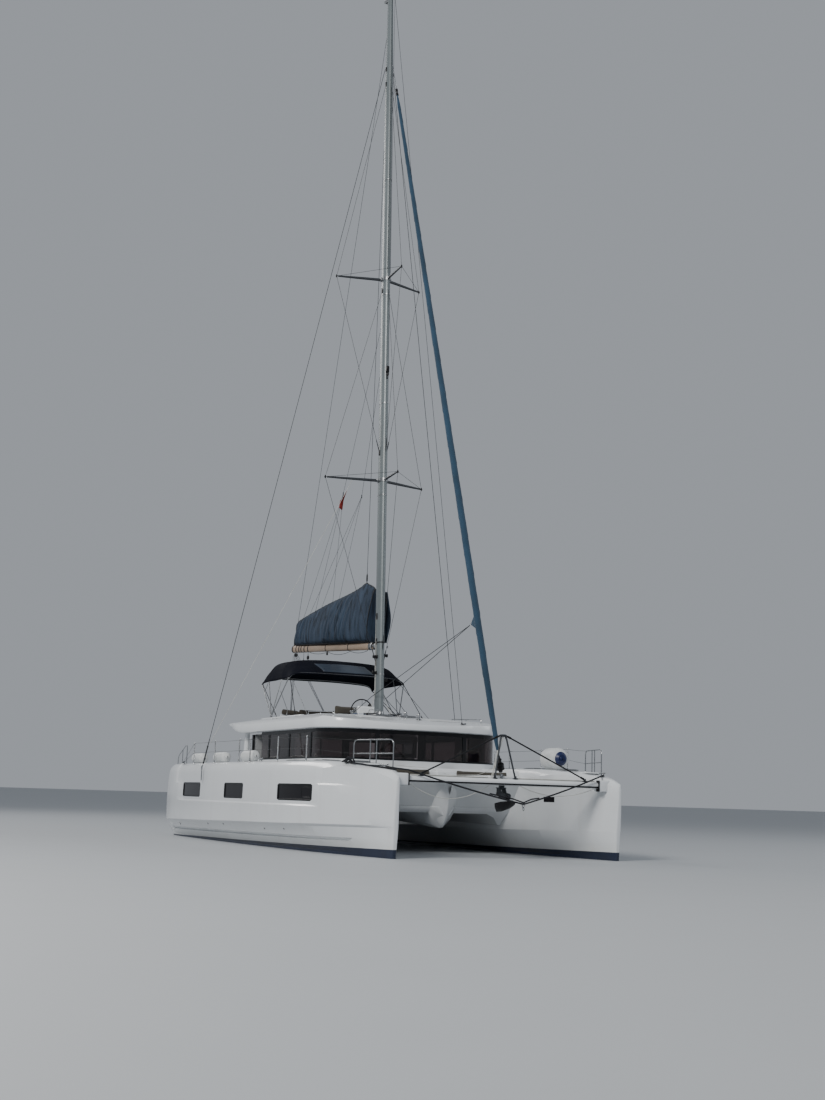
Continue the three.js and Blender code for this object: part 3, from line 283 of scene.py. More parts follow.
def carve(bm, cutter, slots=4):
    """Cuts one closed mesh out of another; the empty slots keep the cut faces' material numbers."""
    objects = []
    for mesh_work in (bm, cutter):
        bmesh.ops.recalc_face_normals(mesh_work, faces=mesh_work.faces)
        mesh = bpy.data.meshes.new("work")
        mesh_work.to_mesh(mesh)
        mesh_work.free()
        for _ in range(slots):
            mesh.materials.append(None)
        objects.append(new_object("work", mesh))
    boolean = objects[0].modifiers.new("cut", "BOOLEAN")
    boolean.object = objects[1]
    boolean.operation = "DIFFERENCE"
    boolean.solver = "EXACT"
    finished = bpy.data.meshes.new_from_object(shaped(objects[0]))
    for item in objects:
        mesh = item.data
        bpy.data.objects.remove(item)
        bpy.data.meshes.remove(mesh)
    result = bmesh.new()
    result.from_mesh(finished)
    bpy.data.meshes.remove(finished)
    return result


def mirrored(bm, side):
    """Turns starboard work to the side asked for."""
    if side > 0:
        bmesh.ops.scale(bm, vec=(1, -1, 1), verts=bm.verts)
        bmesh.ops.reverse_faces(bm, faces=bm.faces)


def smooth_shaded(mesh):
    mesh.polygons.foreach_set("use_smooth", [True] * len(mesh.polygons))


def piece(name, bm, finishes, body="root", replaces=(), smooth=34, tidy=True):
    """Makes a finished object of a mesh; it rides on a body and stands for the CAD nodes named.

    The finishes are named in one text, in the order of the faces' material numbers.
    """
    painted = bm.faces.layers.int.get("painted")
    if painted:
        bm.faces.layers.int.remove(painted)
    if tidy:
        bmesh.ops.recalc_face_normals(bm, faces=bm.faces)
    mesh = bpy.data.meshes.new(name)
    bm.to_mesh(mesh)
    bm.free()
    for finish in finishes.split():
        mesh.materials.append(FINISHES[finish])
    smooth_shaded(mesh)
    mesh.set_sharp_from_angle(angle=math.radians(smooth))
    item = new_object(name, mesh)
    if body:
        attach(item, body)
    if replaces:
        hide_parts(*replaces)
    return item


def modifier(item, kind, **settings):
    made = item.modifiers.new(kind.title(), kind)
    for name, value in settings.items():
        setattr(made, name, value)


def rounded(item, width, segments=2, angle=40):
    """A bevel along a finished piece's sharp edges."""
    modifier(item, "BEVEL", width=width, segments=segments, limit_method="ANGLE",
             angle_limit=math.radians(angle),
             harden_normals=False)


# Shader work
def feed(tree, socket, value):
    """Links a socket to another, or gives it a plain value."""
    if isinstance(value, bpy.types.NodeSocket):
        tree.links.new(value, socket)
    else:
        socket.default_value = value


def shader(tree, kind, settings=None, **inputs):
    """Adds a shader node. An input is named by its socket, or i and its number."""
    made = tree.nodes.new("ShaderNode" + kind)
    for name, value in (settings or {}).items():
        setattr(made, name, value)
    for name, value in inputs.items():
        key = int(name[1:]) if name[0] == "i" and name[1:].isdigit() else name.replace("_", " ")
        feed(tree, made.inputs[key], value)
    return made


def maths(tree, operation, a, b=0.5):
    return shader(tree, "Math", {"operation": operation}, i0=a, i1=b).outputs[0]


def times(tree, a, b):
    return maths(tree, "MULTIPLY", a, b)


def plus(tree, a, b):
    return maths(tree, "ADD", a, b)


def ranged(tree, value, low, high, out_low=0.0, out_high=1.0):
    return shader(tree, "MapRange", {"interpolation_type": "SMOOTHSTEP"}, Value=value, From_Min=low,
                  From_Max=high,
                  To_Min=out_low, To_Max=out_high).outputs[0]


def blended(tree, factor, a, b):
    """Mixes two colours."""
    return shader(tree, "Mix", {"data_type": "RGBA"}, i0=factor, i6=a, i7=b).outputs[2]


def coordinates_of(tree):
    return shader(tree, "TexCoord").outputs["Object"]


def axes_of(tree, coordinates):
    return shader(tree, "SeparateXYZ", Vector=coordinates).outputs


def place_of(tree, scale=(1, 1, 1)):
    """Object coordinates, stretched."""
    return shader(tree, "Mapping", Vector=coordinates_of(tree), Scale=scale).outputs[0]


def bump(tree, main, strength, distance, height):
    """Relief for a material's Principled shader."""
    relief = shader(tree, "Bump", Strength=strength, Distance=distance, Height=height)
    tree.links.new(relief.outputs[0], main.inputs["Normal"])


def noise(tree, vector, scale, detail=3.0, roughness=0.55):
    return shader(tree, "TexNoise", Vector=vector, Scale=scale, Detail=detail, Roughness=roughness).outputs[0]


def group(name, inputs, outputs, build):
    """A shader node group with named inputs and outputs, filled by build(tree, inputs)."""
    tree = bpy.data.node_groups.new(name, "ShaderNodeTree")
    for label, kind, value in inputs:
        socket = tree.interface.new_socket(label, in_out="INPUT", socket_type=kind)
        socket.default_value = value
    for label, kind in outputs:
        tree.interface.new_socket(label, in_out="OUTPUT", socket_type=kind)
    given = tree.nodes.new("NodeGroupInput")
    results = build(tree, given.outputs)
    end = tree.nodes.new("NodeGroupOutput")
    for (label, _), result in zip(outputs, results):
        tree.links.new(result, end.inputs[label])
    return tree


FLOAT, COLOUR = "NodeSocketFloat", "NodeSocketColor"
FULL_TURN = 6.2832


def build_mottle(tree, given):
    """Slow, faint variation of colour and gloss, as on any surface that has been out of doors."""
    place = place_of(tree)
    slow = noise(tree, place, given["Scale"], 4.0)
    quick = noise(tree, place, times(tree, given["Scale"], 7.3), 3.0)
    shade = times(tree, ranged(tree, slow, 0.35, 0.7), given["Depth"])
    dark = blended(tree, shade, given["Colour"], (0.0, 0.0, 0.0, 1))
    sway = times(tree, maths(tree, "SUBTRACT", quick, 0.5), given["Spread"])
    return dark, plus(tree, given["Roughness"], sway)


def build_grime(tree, given):
    """Faint runs of dirt that fall down a wall from its top."""
    place = place_of(tree, scale=(1.0, 1.0, 0.09))
    runs = ranged(tree, noise(tree, place, given["Scale"], 5.0, 0.6), 0.5, 0.78)
    return (blended(tree, times(tree, runs, given["Amount"]), given["Colour"], given["Tint"]),)


def build_weave(tree, given):
    """Crossed threads of a cloth, and the slow waves between them."""
    coordinates = coordinates_of(tree)
    x, y, z = axes_of(tree, coordinates)
    turns = maths(tree, "DIVIDE", FULL_TURN, given["Pitch"])
    warp = maths(tree, "SINE", times(tree, x, turns))
    weft = maths(tree, "SINE", times(tree, plus(tree, y, z), turns))
    threads = times(tree, times(tree, warp, weft), 0.5)
    slub = noise(tree, coordinates, given["Slub"], 3.0)
    return plus(tree, threads, slub), slub


def build_grit(tree, given):
    """Moulded or painted grit underfoot: a close pattern of raised cells."""
    coordinates = coordinates_of(tree)
    cells = shader(tree, "TexVoronoi", {"feature": "F1"}, Vector=coordinates, Scale=given["Scale"]).outputs[0]
    height = ranged(tree, cells, 0.15, 0.55, 1.0, 0.0)
    return height, ranged(tree, noise(tree, coordinates, 5.0), 0.35, 0.7)


def build_planks(tree, given):
    """Teak planks along X: caulked seams, each plank a little lighter or darker, and its grain."""
    across = maths(tree, "DIVIDE", axes_of(tree, coordinates_of(tree))[1], given["Width"])
    from_middle = maths(tree, "ABSOLUTE", maths(tree, "SUBTRACT", maths(tree, "FRACT", across), 0.5))
    seam = ranged(tree, from_middle, 0.43, 0.47)
    plank = shader(tree, "TexWhiteNoise", {"noise_dimensions": "1D"},
                   W=maths(tree, "FLOOR", across)).outputs[0]
    grain = noise(tree, place_of(tree, scale=(3.0, 60.0, 60.0)), 1.0, 4.0)
    return seam, plus(tree, times(tree, plank, 0.5), times(tree, grain, 0.6))


def build_lay(tree, given):
    """The strands of a rope or wire, which wind round it."""
    x, y, z = axes_of(tree, coordinates_of(tree))
    total = plus(tree, plus(tree, x, times(tree, y, 1.3)), times(tree, z, 1.7))
    wave = maths(tree, "SINE", times(tree, total, maths(tree, "DIVIDE", FULL_TURN, given["Pitch"])))
    return wave, ranged(tree, wave, -1.0, 1.0)


def build_brushed(tree, given):
    """Fine lines left by drawing or polishing a metal."""
    return (noise(tree, place_of(tree, scale=(1.0, 14.0, 14.0)), given["Scale"], 4.0),)


GROUPS = {}


def build_groups():
    plans = {
        "mottle": ([("Colour", COLOUR, (0.8, 0.8, 0.8, 1)), ("Scale", FLOAT, 0.6), ("Depth", FLOAT, 0.05),
                    ("Roughness", FLOAT, 0.5), ("Spread", FLOAT, 0.1)],
                   [("Colour", COLOUR), ("Roughness", FLOAT)], build_mottle),
        "grime": ([("Colour", COLOUR, (0.8, 0.8, 0.8, 1)), ("Tint", COLOUR, (0.4, 0.36, 0.3, 1)),
                   ("Scale", FLOAT, 6.0), ("Amount", FLOAT, 0.1)], [("Colour", COLOUR)], build_grime),
        "weave": ([("Pitch", FLOAT, 0.006), ("Slub", FLOAT, 40.0)], [("Height", FLOAT), ("Shade", FLOAT)],
                  build_weave),
        "grit": ([("Scale", FLOAT, 90.0)], [("Height", FLOAT), ("Shade", FLOAT)], build_grit),
        "planks": ([("Width", FLOAT, 0.05)], [("Seam", FLOAT), ("Shade", FLOAT)], build_planks),
        "lay": ([("Pitch", FLOAT, 0.03)], [("Height", FLOAT), ("Shade", FLOAT)], build_lay),
        "brushed": ([("Scale", FLOAT, 12.0)], [("Height", FLOAT)], build_brushed),
    }
    for name, (inputs, outputs, build) in plans.items():
        GROUPS[name] = group(name, inputs, outputs, build)


def effect(tree, name, **inputs):
    """Places a shared effect in a material."""
    made = tree.nodes.new("ShaderNodeGroup")
    made.node_tree = GROUPS[name]
    for label, value in inputs.items():
        feed(tree, made.inputs[label], value)
    return made.outputs


FINISHES = {}


def new_finish(name, roughness=0.5, **plain):
    """A material with its Principled shader; plain values go on the shader's own sockets."""
    finish = bpy.data.materials.new(name)
    finish.use_nodes = True
    tree = finish.node_tree
    main = tree.nodes["Principled BSDF"]
    main.inputs["Roughness"].default_value = roughness
    for label, value in plain.items():
        main.inputs[label.replace("_", " ")].default_value = value
    FINISHES[name] = finish
    return tree, main


def simple_finish(name, colour, roughness, depth=0.06, scale=0.8, spread=0.12, relief=None, grime=0.0,
                  **plain):
    """A mottled finish; relief is (effect, its inputs, strength, distance)."""
    tree, main = new_finish(name, roughness, **plain)
    base = effect(tree, "mottle", Colour=(*colour, 1), Scale=scale, Depth=depth, Roughness=roughness,
                  Spread=spread)
    shown = base["Colour"]
    if grime:
        shown = effect(tree, "grime", Colour=shown, Amount=grime)["Colour"]
    if relief:
        kind, inputs, strength, distance = relief
        made = effect(tree, kind, **inputs)
        if "Shade" in made:
            shown = blended(tree, times(tree, made["Shade"], 0.25), shown, (*(c * 0.45 for c in colour), 1))
        bump(tree, main, strength, distance, made["Height"])
    tree.links.new(shown, main.inputs["Base Color"])
    tree.links.new(base["Roughness"], main.inputs["Roughness"])


def colour_property(name, description, default):
    return FloatVectorProperty(name=name, description=description, subtype="COLOR", size=3, default=default)


def length_property(name, description, default):
    return FloatProperty(name=name, description=description, unit="LENGTH", default=default)


class CatamaranColours(bpy.types.PropertyGroup):
    """Colours that an owner would change."""

    gelcoat: colour_property("Gelcoat", "Hull and deck mouldings", (0.74, 0.765, 0.785))
    bottom: colour_property("Bottom paint", "Antifouling and boot top", (0.005, 0.013, 0.042))
    glass: colour_property("Window tint", "Tint of the saloon windows", (0.24, 0.20, 0.20))
    canvas: colour_property("Awning cloth", "Cloth of the flybridge awning", (0.0035, 0.005, 0.012))
    cover: colour_property("Sail cover", "Cloth of the boom's sail cover", (0.030, 0.048, 0.078))
    furled: colour_property("Furled sail", "Sun strip of the furled headsail", (0.014, 0.055, 0.105))
    cushion: colour_property("Cushions", "Deck and saloon cushions", (0.075, 0.066, 0.052))
    spar: colour_property("Spars", "Paint of mast, spreaders and crossbeam", (0.17, 0.195, 0.205))
    boom: colour_property("Boom", "Paint of the boom", (0.36, 0.27, 0.20))
    teak: colour_property("Teak", "Laid decks and table tops", (0.36, 0.22, 0.12))
    fender_end: colour_property("Fender ends", "Ends of the fenders", (0.006, 0.016, 0.085))


class CatamaranSizes(bpy.types.PropertyGroup):
    """Sizes that an owner would change."""

    wire: length_property("Rigging wire", "Diameter of the shrouds and diamond wires", 0.014)
    guard_wire: length_property("Guard wire", "Diameter of the lifelines", 0.007)
    rope: length_property("Rope", "Diameter of sheets and halyards", 0.014)
    plank: length_property("Teak plank", "Width of a plank of the laid decks", 0.055)
    net_mesh: length_property("Net mesh", "Side of a mesh of the bow nets", 0.045)
    fold: length_property("Cover folds", "Depth of the folds of the sail cover", 0.030)
    wraps: IntProperty(name="Sail wraps", description="Turns of the furled headsail round its stay",
                       default=21)


def colours():
    return bpy.context.scene.catamaran_colours


def sizes():
    return bpy.context.scene.catamaran_sizes


# Reliefs: an effect with its inputs, the relief's strength and its depth
def grit(scale, strength, distance):
    return "grit", {"Scale": scale}, strength, distance


def brushed(scale, strength, distance):
    return "brushed", {"Scale": scale}, strength, distance


def lay(pitch, strength, distance):
    return "lay", {"Pitch": pitch}, strength, distance


def weave(pitch, slub, strength, distance):
    return "weave", {"Pitch": pitch, "Slub": slub}, strength, distance


# The navy boot top's height amidships, and how much it climbs per metre towards the bow
BOOT_TOP_Z, BOOT_TOP_RISE = 0.115, 0.011


class MakeFinishes(bpy.types.Operator):
    """Makes the materials of the boat"""

    bl_idname = "catamaran.finishes"
    bl_label = "Finishes"

    def execute(self, context):
        build_groups()
        c = colours()
        white, bottom, cushion = tuple(c.gelcoat), tuple(c.bottom), tuple(c.cushion)
        self.hull_finish(white, bottom)
        simple_finish("gelcoat", white, 0.22, depth=0.035, spread=0.08, grime=0.05, Coat_Weight=0.35,
                      Coat_Roughness=0.08)
        # A darker copy of the gelcoat: painted shade for the hatch wells and the saloon walls' inner faces
        simple_finish("gelcoat_inside", tuple(v * 0.45 for v in white), 0.45, depth=0.05)
        simple_finish("nonskid", tuple(v * 0.86 for v in white), 0.62, relief=grit(85.0, 0.35, 0.004),
                      grime=0.08)
        simple_finish("bottom_paint", bottom, 0.75, depth=0.3, scale=1.6, spread=0.2,
                      relief=grit(160.0, 0.2, 0.002))
        self.glass_finish(tuple(c.glass))
        simple_finish("port_glass", (0.009, 0.008, 0.010), 0.12, depth=0.1, spread=0.03,
                      Specular_IOR_Level=0.22)
        simple_finish("gloss_black", (0.006, 0.0065, 0.008), 0.22, depth=0.15, spread=0.1,
                      Specular_IOR_Level=0.3)
        simple_finish("black", (0.008, 0.008, 0.010), 0.5, Specular_IOR_Level=0.3, depth=0.25, scale=4.0,
                      spread=0.2,
                      relief=grit(700.0, 0.12, 0.001))
        simple_finish("spar", tuple(c.spar), 0.38, depth=0.1, scale=0.5, spread=0.15, grime=0.1,
                      relief=brushed(9.0, 0.05, 0.002), Metallic=0.25)
        simple_finish("spreader", (0.035, 0.04, 0.048), 0.42, depth=0.2, scale=2.0, spread=0.15, Metallic=0.3)
        simple_finish("boom_paint", tuple(c.boom), 0.42, depth=0.14, scale=1.2, spread=0.2, grime=0.25)
        simple_finish("steel", (0.40, 0.41, 0.42), 0.24, depth=0.12, scale=3.0, spread=0.2, Metallic=1.0,
                      relief=brushed(30.0, 0.06, 0.001))
        simple_finish("alloy", (0.27, 0.28, 0.29), 0.38, depth=0.15, scale=3.0, spread=0.2, Metallic=0.9,
                      relief=brushed(20.0, 0.08, 0.001))
        simple_finish("wire", (0.045, 0.047, 0.05), 0.5, depth=0.2, scale=2.0, spread=0.2, Metallic=0.8,
                      relief=lay(0.05, 0.25, 0.002))
        simple_finish("bronze", (0.40, 0.27, 0.11), 0.38, depth=0.4, scale=14.0, spread=0.3, Metallic=1.0)
        simple_finish("canvas", tuple(c.canvas), 0.88, depth=0.3, scale=1.4, spread=0.1,
                      relief=weave(0.008, 8.0, 0.3, 0.006), Specular_IOR_Level=0.15)
        simple_finish("vinyl_panel", (0.045, 0.06, 0.085), 0.30, depth=0.25, scale=2.0, spread=0.15,
                      Specular_IOR_Level=0.4)
        self.cover_finish(tuple(c.cover))
        simple_finish("furled", tuple(c.furled), 0.8, depth=0.35, scale=0.9, spread=0.15, Sheen_Weight=0.1,
                      relief=weave(0.012, 5.0, 0.3, 0.01))
        simple_finish("cushion", cushion, 0.92, depth=0.28, scale=2.2, spread=0.1, Sheen_Weight=0.2,
                      relief=weave(0.006, 30.0, 0.45, 0.004))
        simple_finish("piping", tuple(v * 0.55 for v in cushion), 0.8, depth=0.2,
                      relief=weave(0.004, 60.0, 0.3, 0.002))
        for name, colour, depth, scale, grime, relief in (
                ("net_cord", (0.62, 0.62, 0.59), 0.2, 3.0, 0.2, lay(0.02, 0.3, 0.003)),
                ("white_rope", (0.66, 0.66, 0.62), 0.2, 3.0, 0.0, lay(0.035, 0.5, 0.006)),
                ("dark_rope", (0.012, 0.014, 0.02), 0.35, 4.0, 0.0, lay(0.04, 0.6, 0.008)),
                ("blue_rope", (0.05, 0.11, 0.26), 0.25, 4.0, 0.0, lay(0.03, 0.5, 0.006))):
            simple_finish(name, colour, 0.85, depth=depth, scale=scale, relief=relief, grime=grime)
        simple_finish("fender_skin", (0.70, 0.72, 0.72), 0.45, depth=0.12, scale=3.0, spread=0.25, grime=0.22)
        simple_finish("fender_end", tuple(c.fender_end), 0.4, depth=0.2, scale=5.0, spread=0.2)
        self.teak_finish(tuple(c.teak))
        simple_finish("wood", (0.33, 0.20, 0.105), 0.45, depth=0.4, scale=6.0, spread=0.2,
                      relief=brushed(4.0, 0.1, 0.002))
        simple_finish("worktop", (0.72, 0.70, 0.66), 0.3, depth=0.12, scale=12.0)
        simple_finish("curtain", (0.30, 0.28, 0.28), 0.9, depth=0.2, scale=2.0,
                      relief=weave(0.005, 20.0, 0.3, 0.003))
        simple_finish("flag", (0.24, 0.018, 0.015), 0.85, depth=0.25, scale=6.0,
                      relief=weave(0.003, 30.0, 0.3, 0.002))
        simple_finish("lamp", (0.82, 0.82, 0.78), 0.12, depth=0.05, Coat_Weight=0.6)
        simple_finish("floor", (0.42, 0.44, 0.46), 0.6, depth=0.01, scale=0.1)
        return {"FINISHED"}

    def hull_finish(self, white, navy):
        """White topsides over a navy boot top, whose edge climbs a little towards the bow."""
        tree, main = new_finish("hull", 0.2, Coat_Weight=0.4, Coat_Roughness=0.06)
        upper = effect(tree, "mottle", Colour=(*white, 1), Scale=0.45, Depth=0.04, Roughness=0.2, Spread=0.08)
        shown = effect(tree, "grime", Colour=upper["Colour"], Amount=0.10, Scale=3.0)["Colour"]
        coordinates = coordinates_of(tree)
        x, y, z = axes_of(tree, coordinates)
        above = maths(tree, "SUBTRACT", z, plus(tree, BOOT_TOP_Z, times(tree, x, BOOT_TOP_RISE)))
        film = times(tree, ranged(tree, above, 0.0, 0.30, 0.30, 0.0), noise(tree, coordinates, 2.2, 5.0))
        shown = blended(tree, film, shown, (0.42, 0.40, 0.30, 1))
        under = effect(tree, "mottle", Colour=(*navy, 1), Scale=1.4, Depth=0.3, Roughness=0.6, Spread=0.2)
        is_white = ranged(tree, above, -0.003, 0.003)
        gloss = plus(tree, times(tree, upper["Roughness"], is_white),
                     times(tree, under["Roughness"], maths(tree, "SUBTRACT", 1.0, is_white)))
        tree.links.new(blended(tree, is_white, under["Colour"], shown), main.inputs["Base Color"])
        tree.links.new(gloss, main.inputs["Roughness"])

    def glass_finish(self, tint):
        """Tinted glass that can be seen through."""
        tree, main = new_finish("glass", 0.03, IOR=1.45, Transmission_Weight=1.0)
        base = effect(tree, "mottle", Colour=(*tint, 1), Scale=0.8, Depth=0.06, Roughness=0.03, Spread=0.01)
        tree.links.new(base["Colour"], main.inputs["Base Color"])
        tree.links.new(base["Roughness"], main.inputs["Roughness"])

    def cover_finish(self, cloth):
        """Acrylic sail cover with lighter upright streaks, and painted shade that darkens it in its folds."""
        tree, main = new_finish("cover", 0.85, Specular_IOR_Level=0.25)
        base = effect(tree, "mottle", Colour=(*cloth, 1), Scale=0.9, Depth=0.22, Roughness=0.85, Spread=0.1)
        streaks = noise(tree, place_of(tree, scale=(2.6, 2.6, 0.35)), 2.2, 4.0)
        lighter_streaked = blended(tree, ranged(tree, streaks, 0.42, 0.72, 0.0, 0.5), base["Colour"],
                        (*(min(v * 1.7 + 0.012, 1) for v in cloth), 1))
        # Painted shade: upright bands that darken the cloth, standing in for the shade in its folds
        fold_shade = noise(tree, place_of(tree, scale=(3.6, 3.6, 0.30)), 2.6, 2.0)
        fold_shaded = blended(tree, ranged(tree, fold_shade, 0.38, 0.47, 0.75, 0.0), lighter_streaked,
                          (*(v * 0.3 for v in cloth), 1))
        bump(tree, main, 0.3, 0.006, effect(tree, "weave", Pitch=0.008, Slub=9.0)["Height"])
        tree.links.new(fold_shaded, main.inputs["Base Color"])
        tree.links.new(base["Roughness"], main.inputs["Roughness"])

    def teak_finish(self, wood):
        """Laid teak: planks, black caulking and weathered grain."""
        tree, main = new_finish("teak", 0.75)
        laid = effect(tree, "planks", Width=sizes().plank)
        silver = blended(tree, laid["Shade"], (*wood, 1), (*(v * 0.55 + 0.12 for v in wood), 1))
        base = effect(tree, "mottle", Colour=silver, Scale=1.2, Depth=0.2, Roughness=0.75, Spread=0.15)
        caulked = blended(tree, laid["Seam"], base["Colour"], (0.012, 0.012, 0.013, 1))
        tree.links.new(caulked, main.inputs["Base Color"])
        tree.links.new(base["Roughness"], main.inputs["Roughness"])
        bump(tree, main, 0.3, 0.003, maths(tree, "SUBTRACT", laid["Shade"], laid["Seam"]))


# The camera's place and aim, its focal length in pixels of the picture's height, and the frame of that height
CAMERA_PLACE = (35.8213, -16.6564, 1.31295)
CAMERA_YAW, CAMERA_PITCH, CAMERA_ROLL = 2.68628, 0.17123, 0.02988
FOCAL_PIXELS, PICTURE_PIXELS, SENSOR_MM = 1433.4936, 1100, 36
FLOOR_RADIUS, FAR_CLIP = 1400.0, 4000
LAMP_AIM = Vector((0, 0, 5))


class MakeStage(bpy.types.Operator):
    """Sets the floor, the studio lights and the camera"""

    bl_idname = "catamaran.stage"
    bl_label = "Stage"

    def execute(self, context):
        scene = context.scene
        bm = bmesh.new()
        bmesh.ops.create_circle(bm, cap_ends=True, segments=64, radius=FLOOR_RADIUS)
        mesh = bpy.data.meshes.new("floor")
        bm.to_mesh(mesh)
        bm.free()
        mesh.materials.append(FINISHES["floor"])
        new_object("floor", mesh)

        camera = bpy.data.cameras.new("camera")
        camera.sensor_width = SENSOR_MM
        camera.lens = SENSOR_MM * FOCAL_PIXELS / PICTURE_PIXELS
        camera.clip_end = FAR_CLIP
        flat = math.cos(CAMERA_PITCH)
        ahead = Vector((flat * math.cos(CAMERA_YAW), flat * math.sin(CAMERA_YAW), math.sin(CAMERA_PITCH)))
        level = ahead.cross(UP).normalized()
        upright = level.cross(ahead)
        right = level * math.cos(CAMERA_ROLL) + upright * math.sin(CAMERA_ROLL)
        top = upright * math.cos(CAMERA_ROLL) - level * math.sin(CAMERA_ROLL)
        holder = new_object("camera", camera)
        holder.matrix_world = Matrix.Translation(CAMERA_PLACE) @ Matrix((right, top,
                                                                         -ahead)).transposed().to_4x4()
        scene.camera = holder

        self.lamp("key", (26, -34, 30), 16, 17000, (1.0, 0.975, 0.94))
        self.lamp("fill", (16, 40, 20), 22, 3200, (0.94, 0.97, 1.0))
        self.lamp("back", (-34, -14, 30), 20, 5200, (1.0, 0.97, 0.94))
        world = bpy.data.worlds.new("studio")
        world.use_nodes = True
        sky = world.node_tree.nodes["Background"]
        sky.inputs["Color"].default_value = (0.78, 0.83, 0.90, 1)
        sky.inputs["Strength"].default_value = 0.42
        scene.world = world
        return {"FINISHED"}

    def lamp(self, name, place, size, power, colour):
        light = bpy.data.lights.new(name, "AREA")
        light.shape = "DISK"
        light.size = size
        light.energy = power
        light.color = colour
        aim = (LAMP_AIM - Vector(place)).to_track_quat("-Z", "Y").to_matrix().to_4x4()
        new_object(name, light).matrix_world = Matrix.Translation(place) @ aim


# Hulls: x, keel, half breadth at the waterline, outer side, inner side, chine, side, deck, inset of the sheer
HULL_TABLE = [
    (-7.375, -0.100, 0.520, 3.640, 2.080, 0.450, 1.950, 2.110, 0.170),
    (-6.000, -0.310, 0.610, 3.860, 1.930, 0.480, 1.960, DECK_Z, 0.170),
    (-3.000, -0.500, 0.680, 4.035, 1.770, 0.520, 1.960, DECK_Z, 0.170),
    (0.000, -0.550, 0.700, 4.050, 1.750, 0.570, 1.960, DECK_Z, 0.170),
    (3.000, -0.520, 0.610, 3.975, 1.800, 0.610, 1.970, DECK_Z, 0.170),
    (4.600, -0.470, 0.460, 3.790, 2.020, 0.640, 1.990, 2.110, 0.165),
    (5.700, -0.420, 0.310, 3.550, 2.290, 0.655, 1.980, 2.052, 0.165),
    (6.500, -0.370, 0.180, 3.290, 2.530, 0.665, 1.900, 1.970, 0.170),
    (7.050, -0.330, 0.085, 3.070, 2.720, 0.670, 1.775, 1.883, 0.125),
    (7.375, -0.300, 0.030, 2.935, 2.865, 0.670, 1.650, 1.757, 0.014),
]
STERN_PROFILE = [(-0.70, -7.185), (-0.06, -7.185), (0.25, -7.265), (0.70, -7.355), (1.00, -7.375),
                 (1.65, -7.265),
                 (1.96, -7.105), (2.11, -6.895), (2.60, -6.815)]
STEM_PROFILE = [(-0.70, 7.035), (-0.33, 7.16), (-0.25, 7.24), (0.0, 7.27), (1.5, 7.375), (2.6, 7.375)]
STERN_ROUND, STEM_ROUND = 0.17, 0.018
STEPS_OUT, STEPS_IN, STEP_NOSING = -3.38, -1.7, 0.022
STERN_STEPS = [(-6.78, 0.45), (-6.45, 0.76), (-6.12, 1.07), (-5.79, 1.38)]
# Fore and aft ends, height and inner edge of the teak on each step
TREADS = ((-7.16, -6.80, 0.45, -2.16), (-6.76, -6.47, 0.76, -2.08), (-6.43, -6.14, 1.07, -2.40),
          (-6.10, -5.81, 1.38, -2.08))
LEDGE_DEPTH = 0.040
WINDOW_LEDGE = (-4.99, 4.64)
END_LEDGE = (-5.7, -5.55, 5.5, 6.3)
GROOVE = (-6.6, 5.78)
HULL_WINDOWS = ((-4.87, -3.02), (-0.94, 0.50), (2.79, 4.55))
WINDOW_Z = (1.17, 1.57)
# The small fixed port on each hull's inner side
BOW_PORT = (5.17, 5.52, 1.31, 1.44)
HATCH = (-5.65, -4.78, 2.45, 3.35)
STATIONS = (-7.36, -7.33, -7.28, -7.2, -7.05, -6.85, -6.64, -6.6, -6.56, -6.3, -6.0, -5.72, -5.65, -5.6,
            -5.54, -5.2,
            -4.9, -4.66, -4.64, -4.62, -4.60, -4.2, -3.7, -3.1, -2.5, -1.9, -1.2, -0.5, 0.2, 0.9, 1.6, 2.2,
            2.8, 3.3,
            3.8, 4.2, 4.6, 4.85, 4.9, 4.94, 4.975, 4.992, 5.008, 5.03, 5.3, 5.5, 5.7, 5.95, 6.2, 6.4, 6.6,
            6.8, 6.95,
            7.1, 7.2, 7.28, 7.34, 7.365)
HULL_LEVELS = (
    [("keel", a, b) for a, b in ((0.3, 0.965), (0.55, 0.86), (0.78, 0.66), (0.93, 0.38), (0.985, 0.12))]
    + [("flank", 0.06, 0), ("flank", 0.17, 0)]
    + [("groove", a, b) for a, b in ((-0.040, 0), (-0.028, 1), (0.026, 1), (0.036, 0))]
    + [("chine", -0.02, 0), ("chine", 0.0, 0.55), ("chine", 0.03, 1)]
    + [("wall", 0.85, (0, 0)), ("wall", 1.055, (0, 0)), ("wall", 1.066, (0.3, 0)), ("wall", 1.082, (0.72, 0)),
       ("wall", 1.100, (1, 0)), ("wall", 1.17, (1, 0)), ("wall", 1.35, (1, 0)), ("wall", 1.55, (1, 0)),
       ("wall", 1.565, (1, 0.3)), ("wall", 1.580, (1, 0.75)), ("wall", 1.590, (1, 1)), ("wall", 1.70, (1, 1))]
    + [("sheer", angle, 0) for angle in (0, 15, 30, 45, 60, 75, 90)]
    + [("deck", share, 0) for share in (0.3, 0.65)])


def between(x, rise_from, rise_to, fall_from, fall_to):
    """1 in the middle of a span and 0 outside it, with smooth ends."""
    return step_up(rise_from, rise_to, x) * (1 - step_up(fall_from, fall_to, x))


def ledge_at(x):
    """How far the window ledge and the end ledge step in at x."""
    aft, front = WINDOW_LEDGE
    window = between(x, aft - 0.02, aft + 0.02, front - 0.02, front + 0.02)
    return window * LEDGE_DEPTH, between(x, *END_LEDGE) * LEDGE_DEPTH


def belly(t):
    """How a hull's section swells between the waterline and the chine."""
    return t + 0.286 * t * (1 - t)


def barrel(share):
    """How a hull's wall curves in away from its widest height."""
    return ((share - 0.45) / 0.42) ** 2


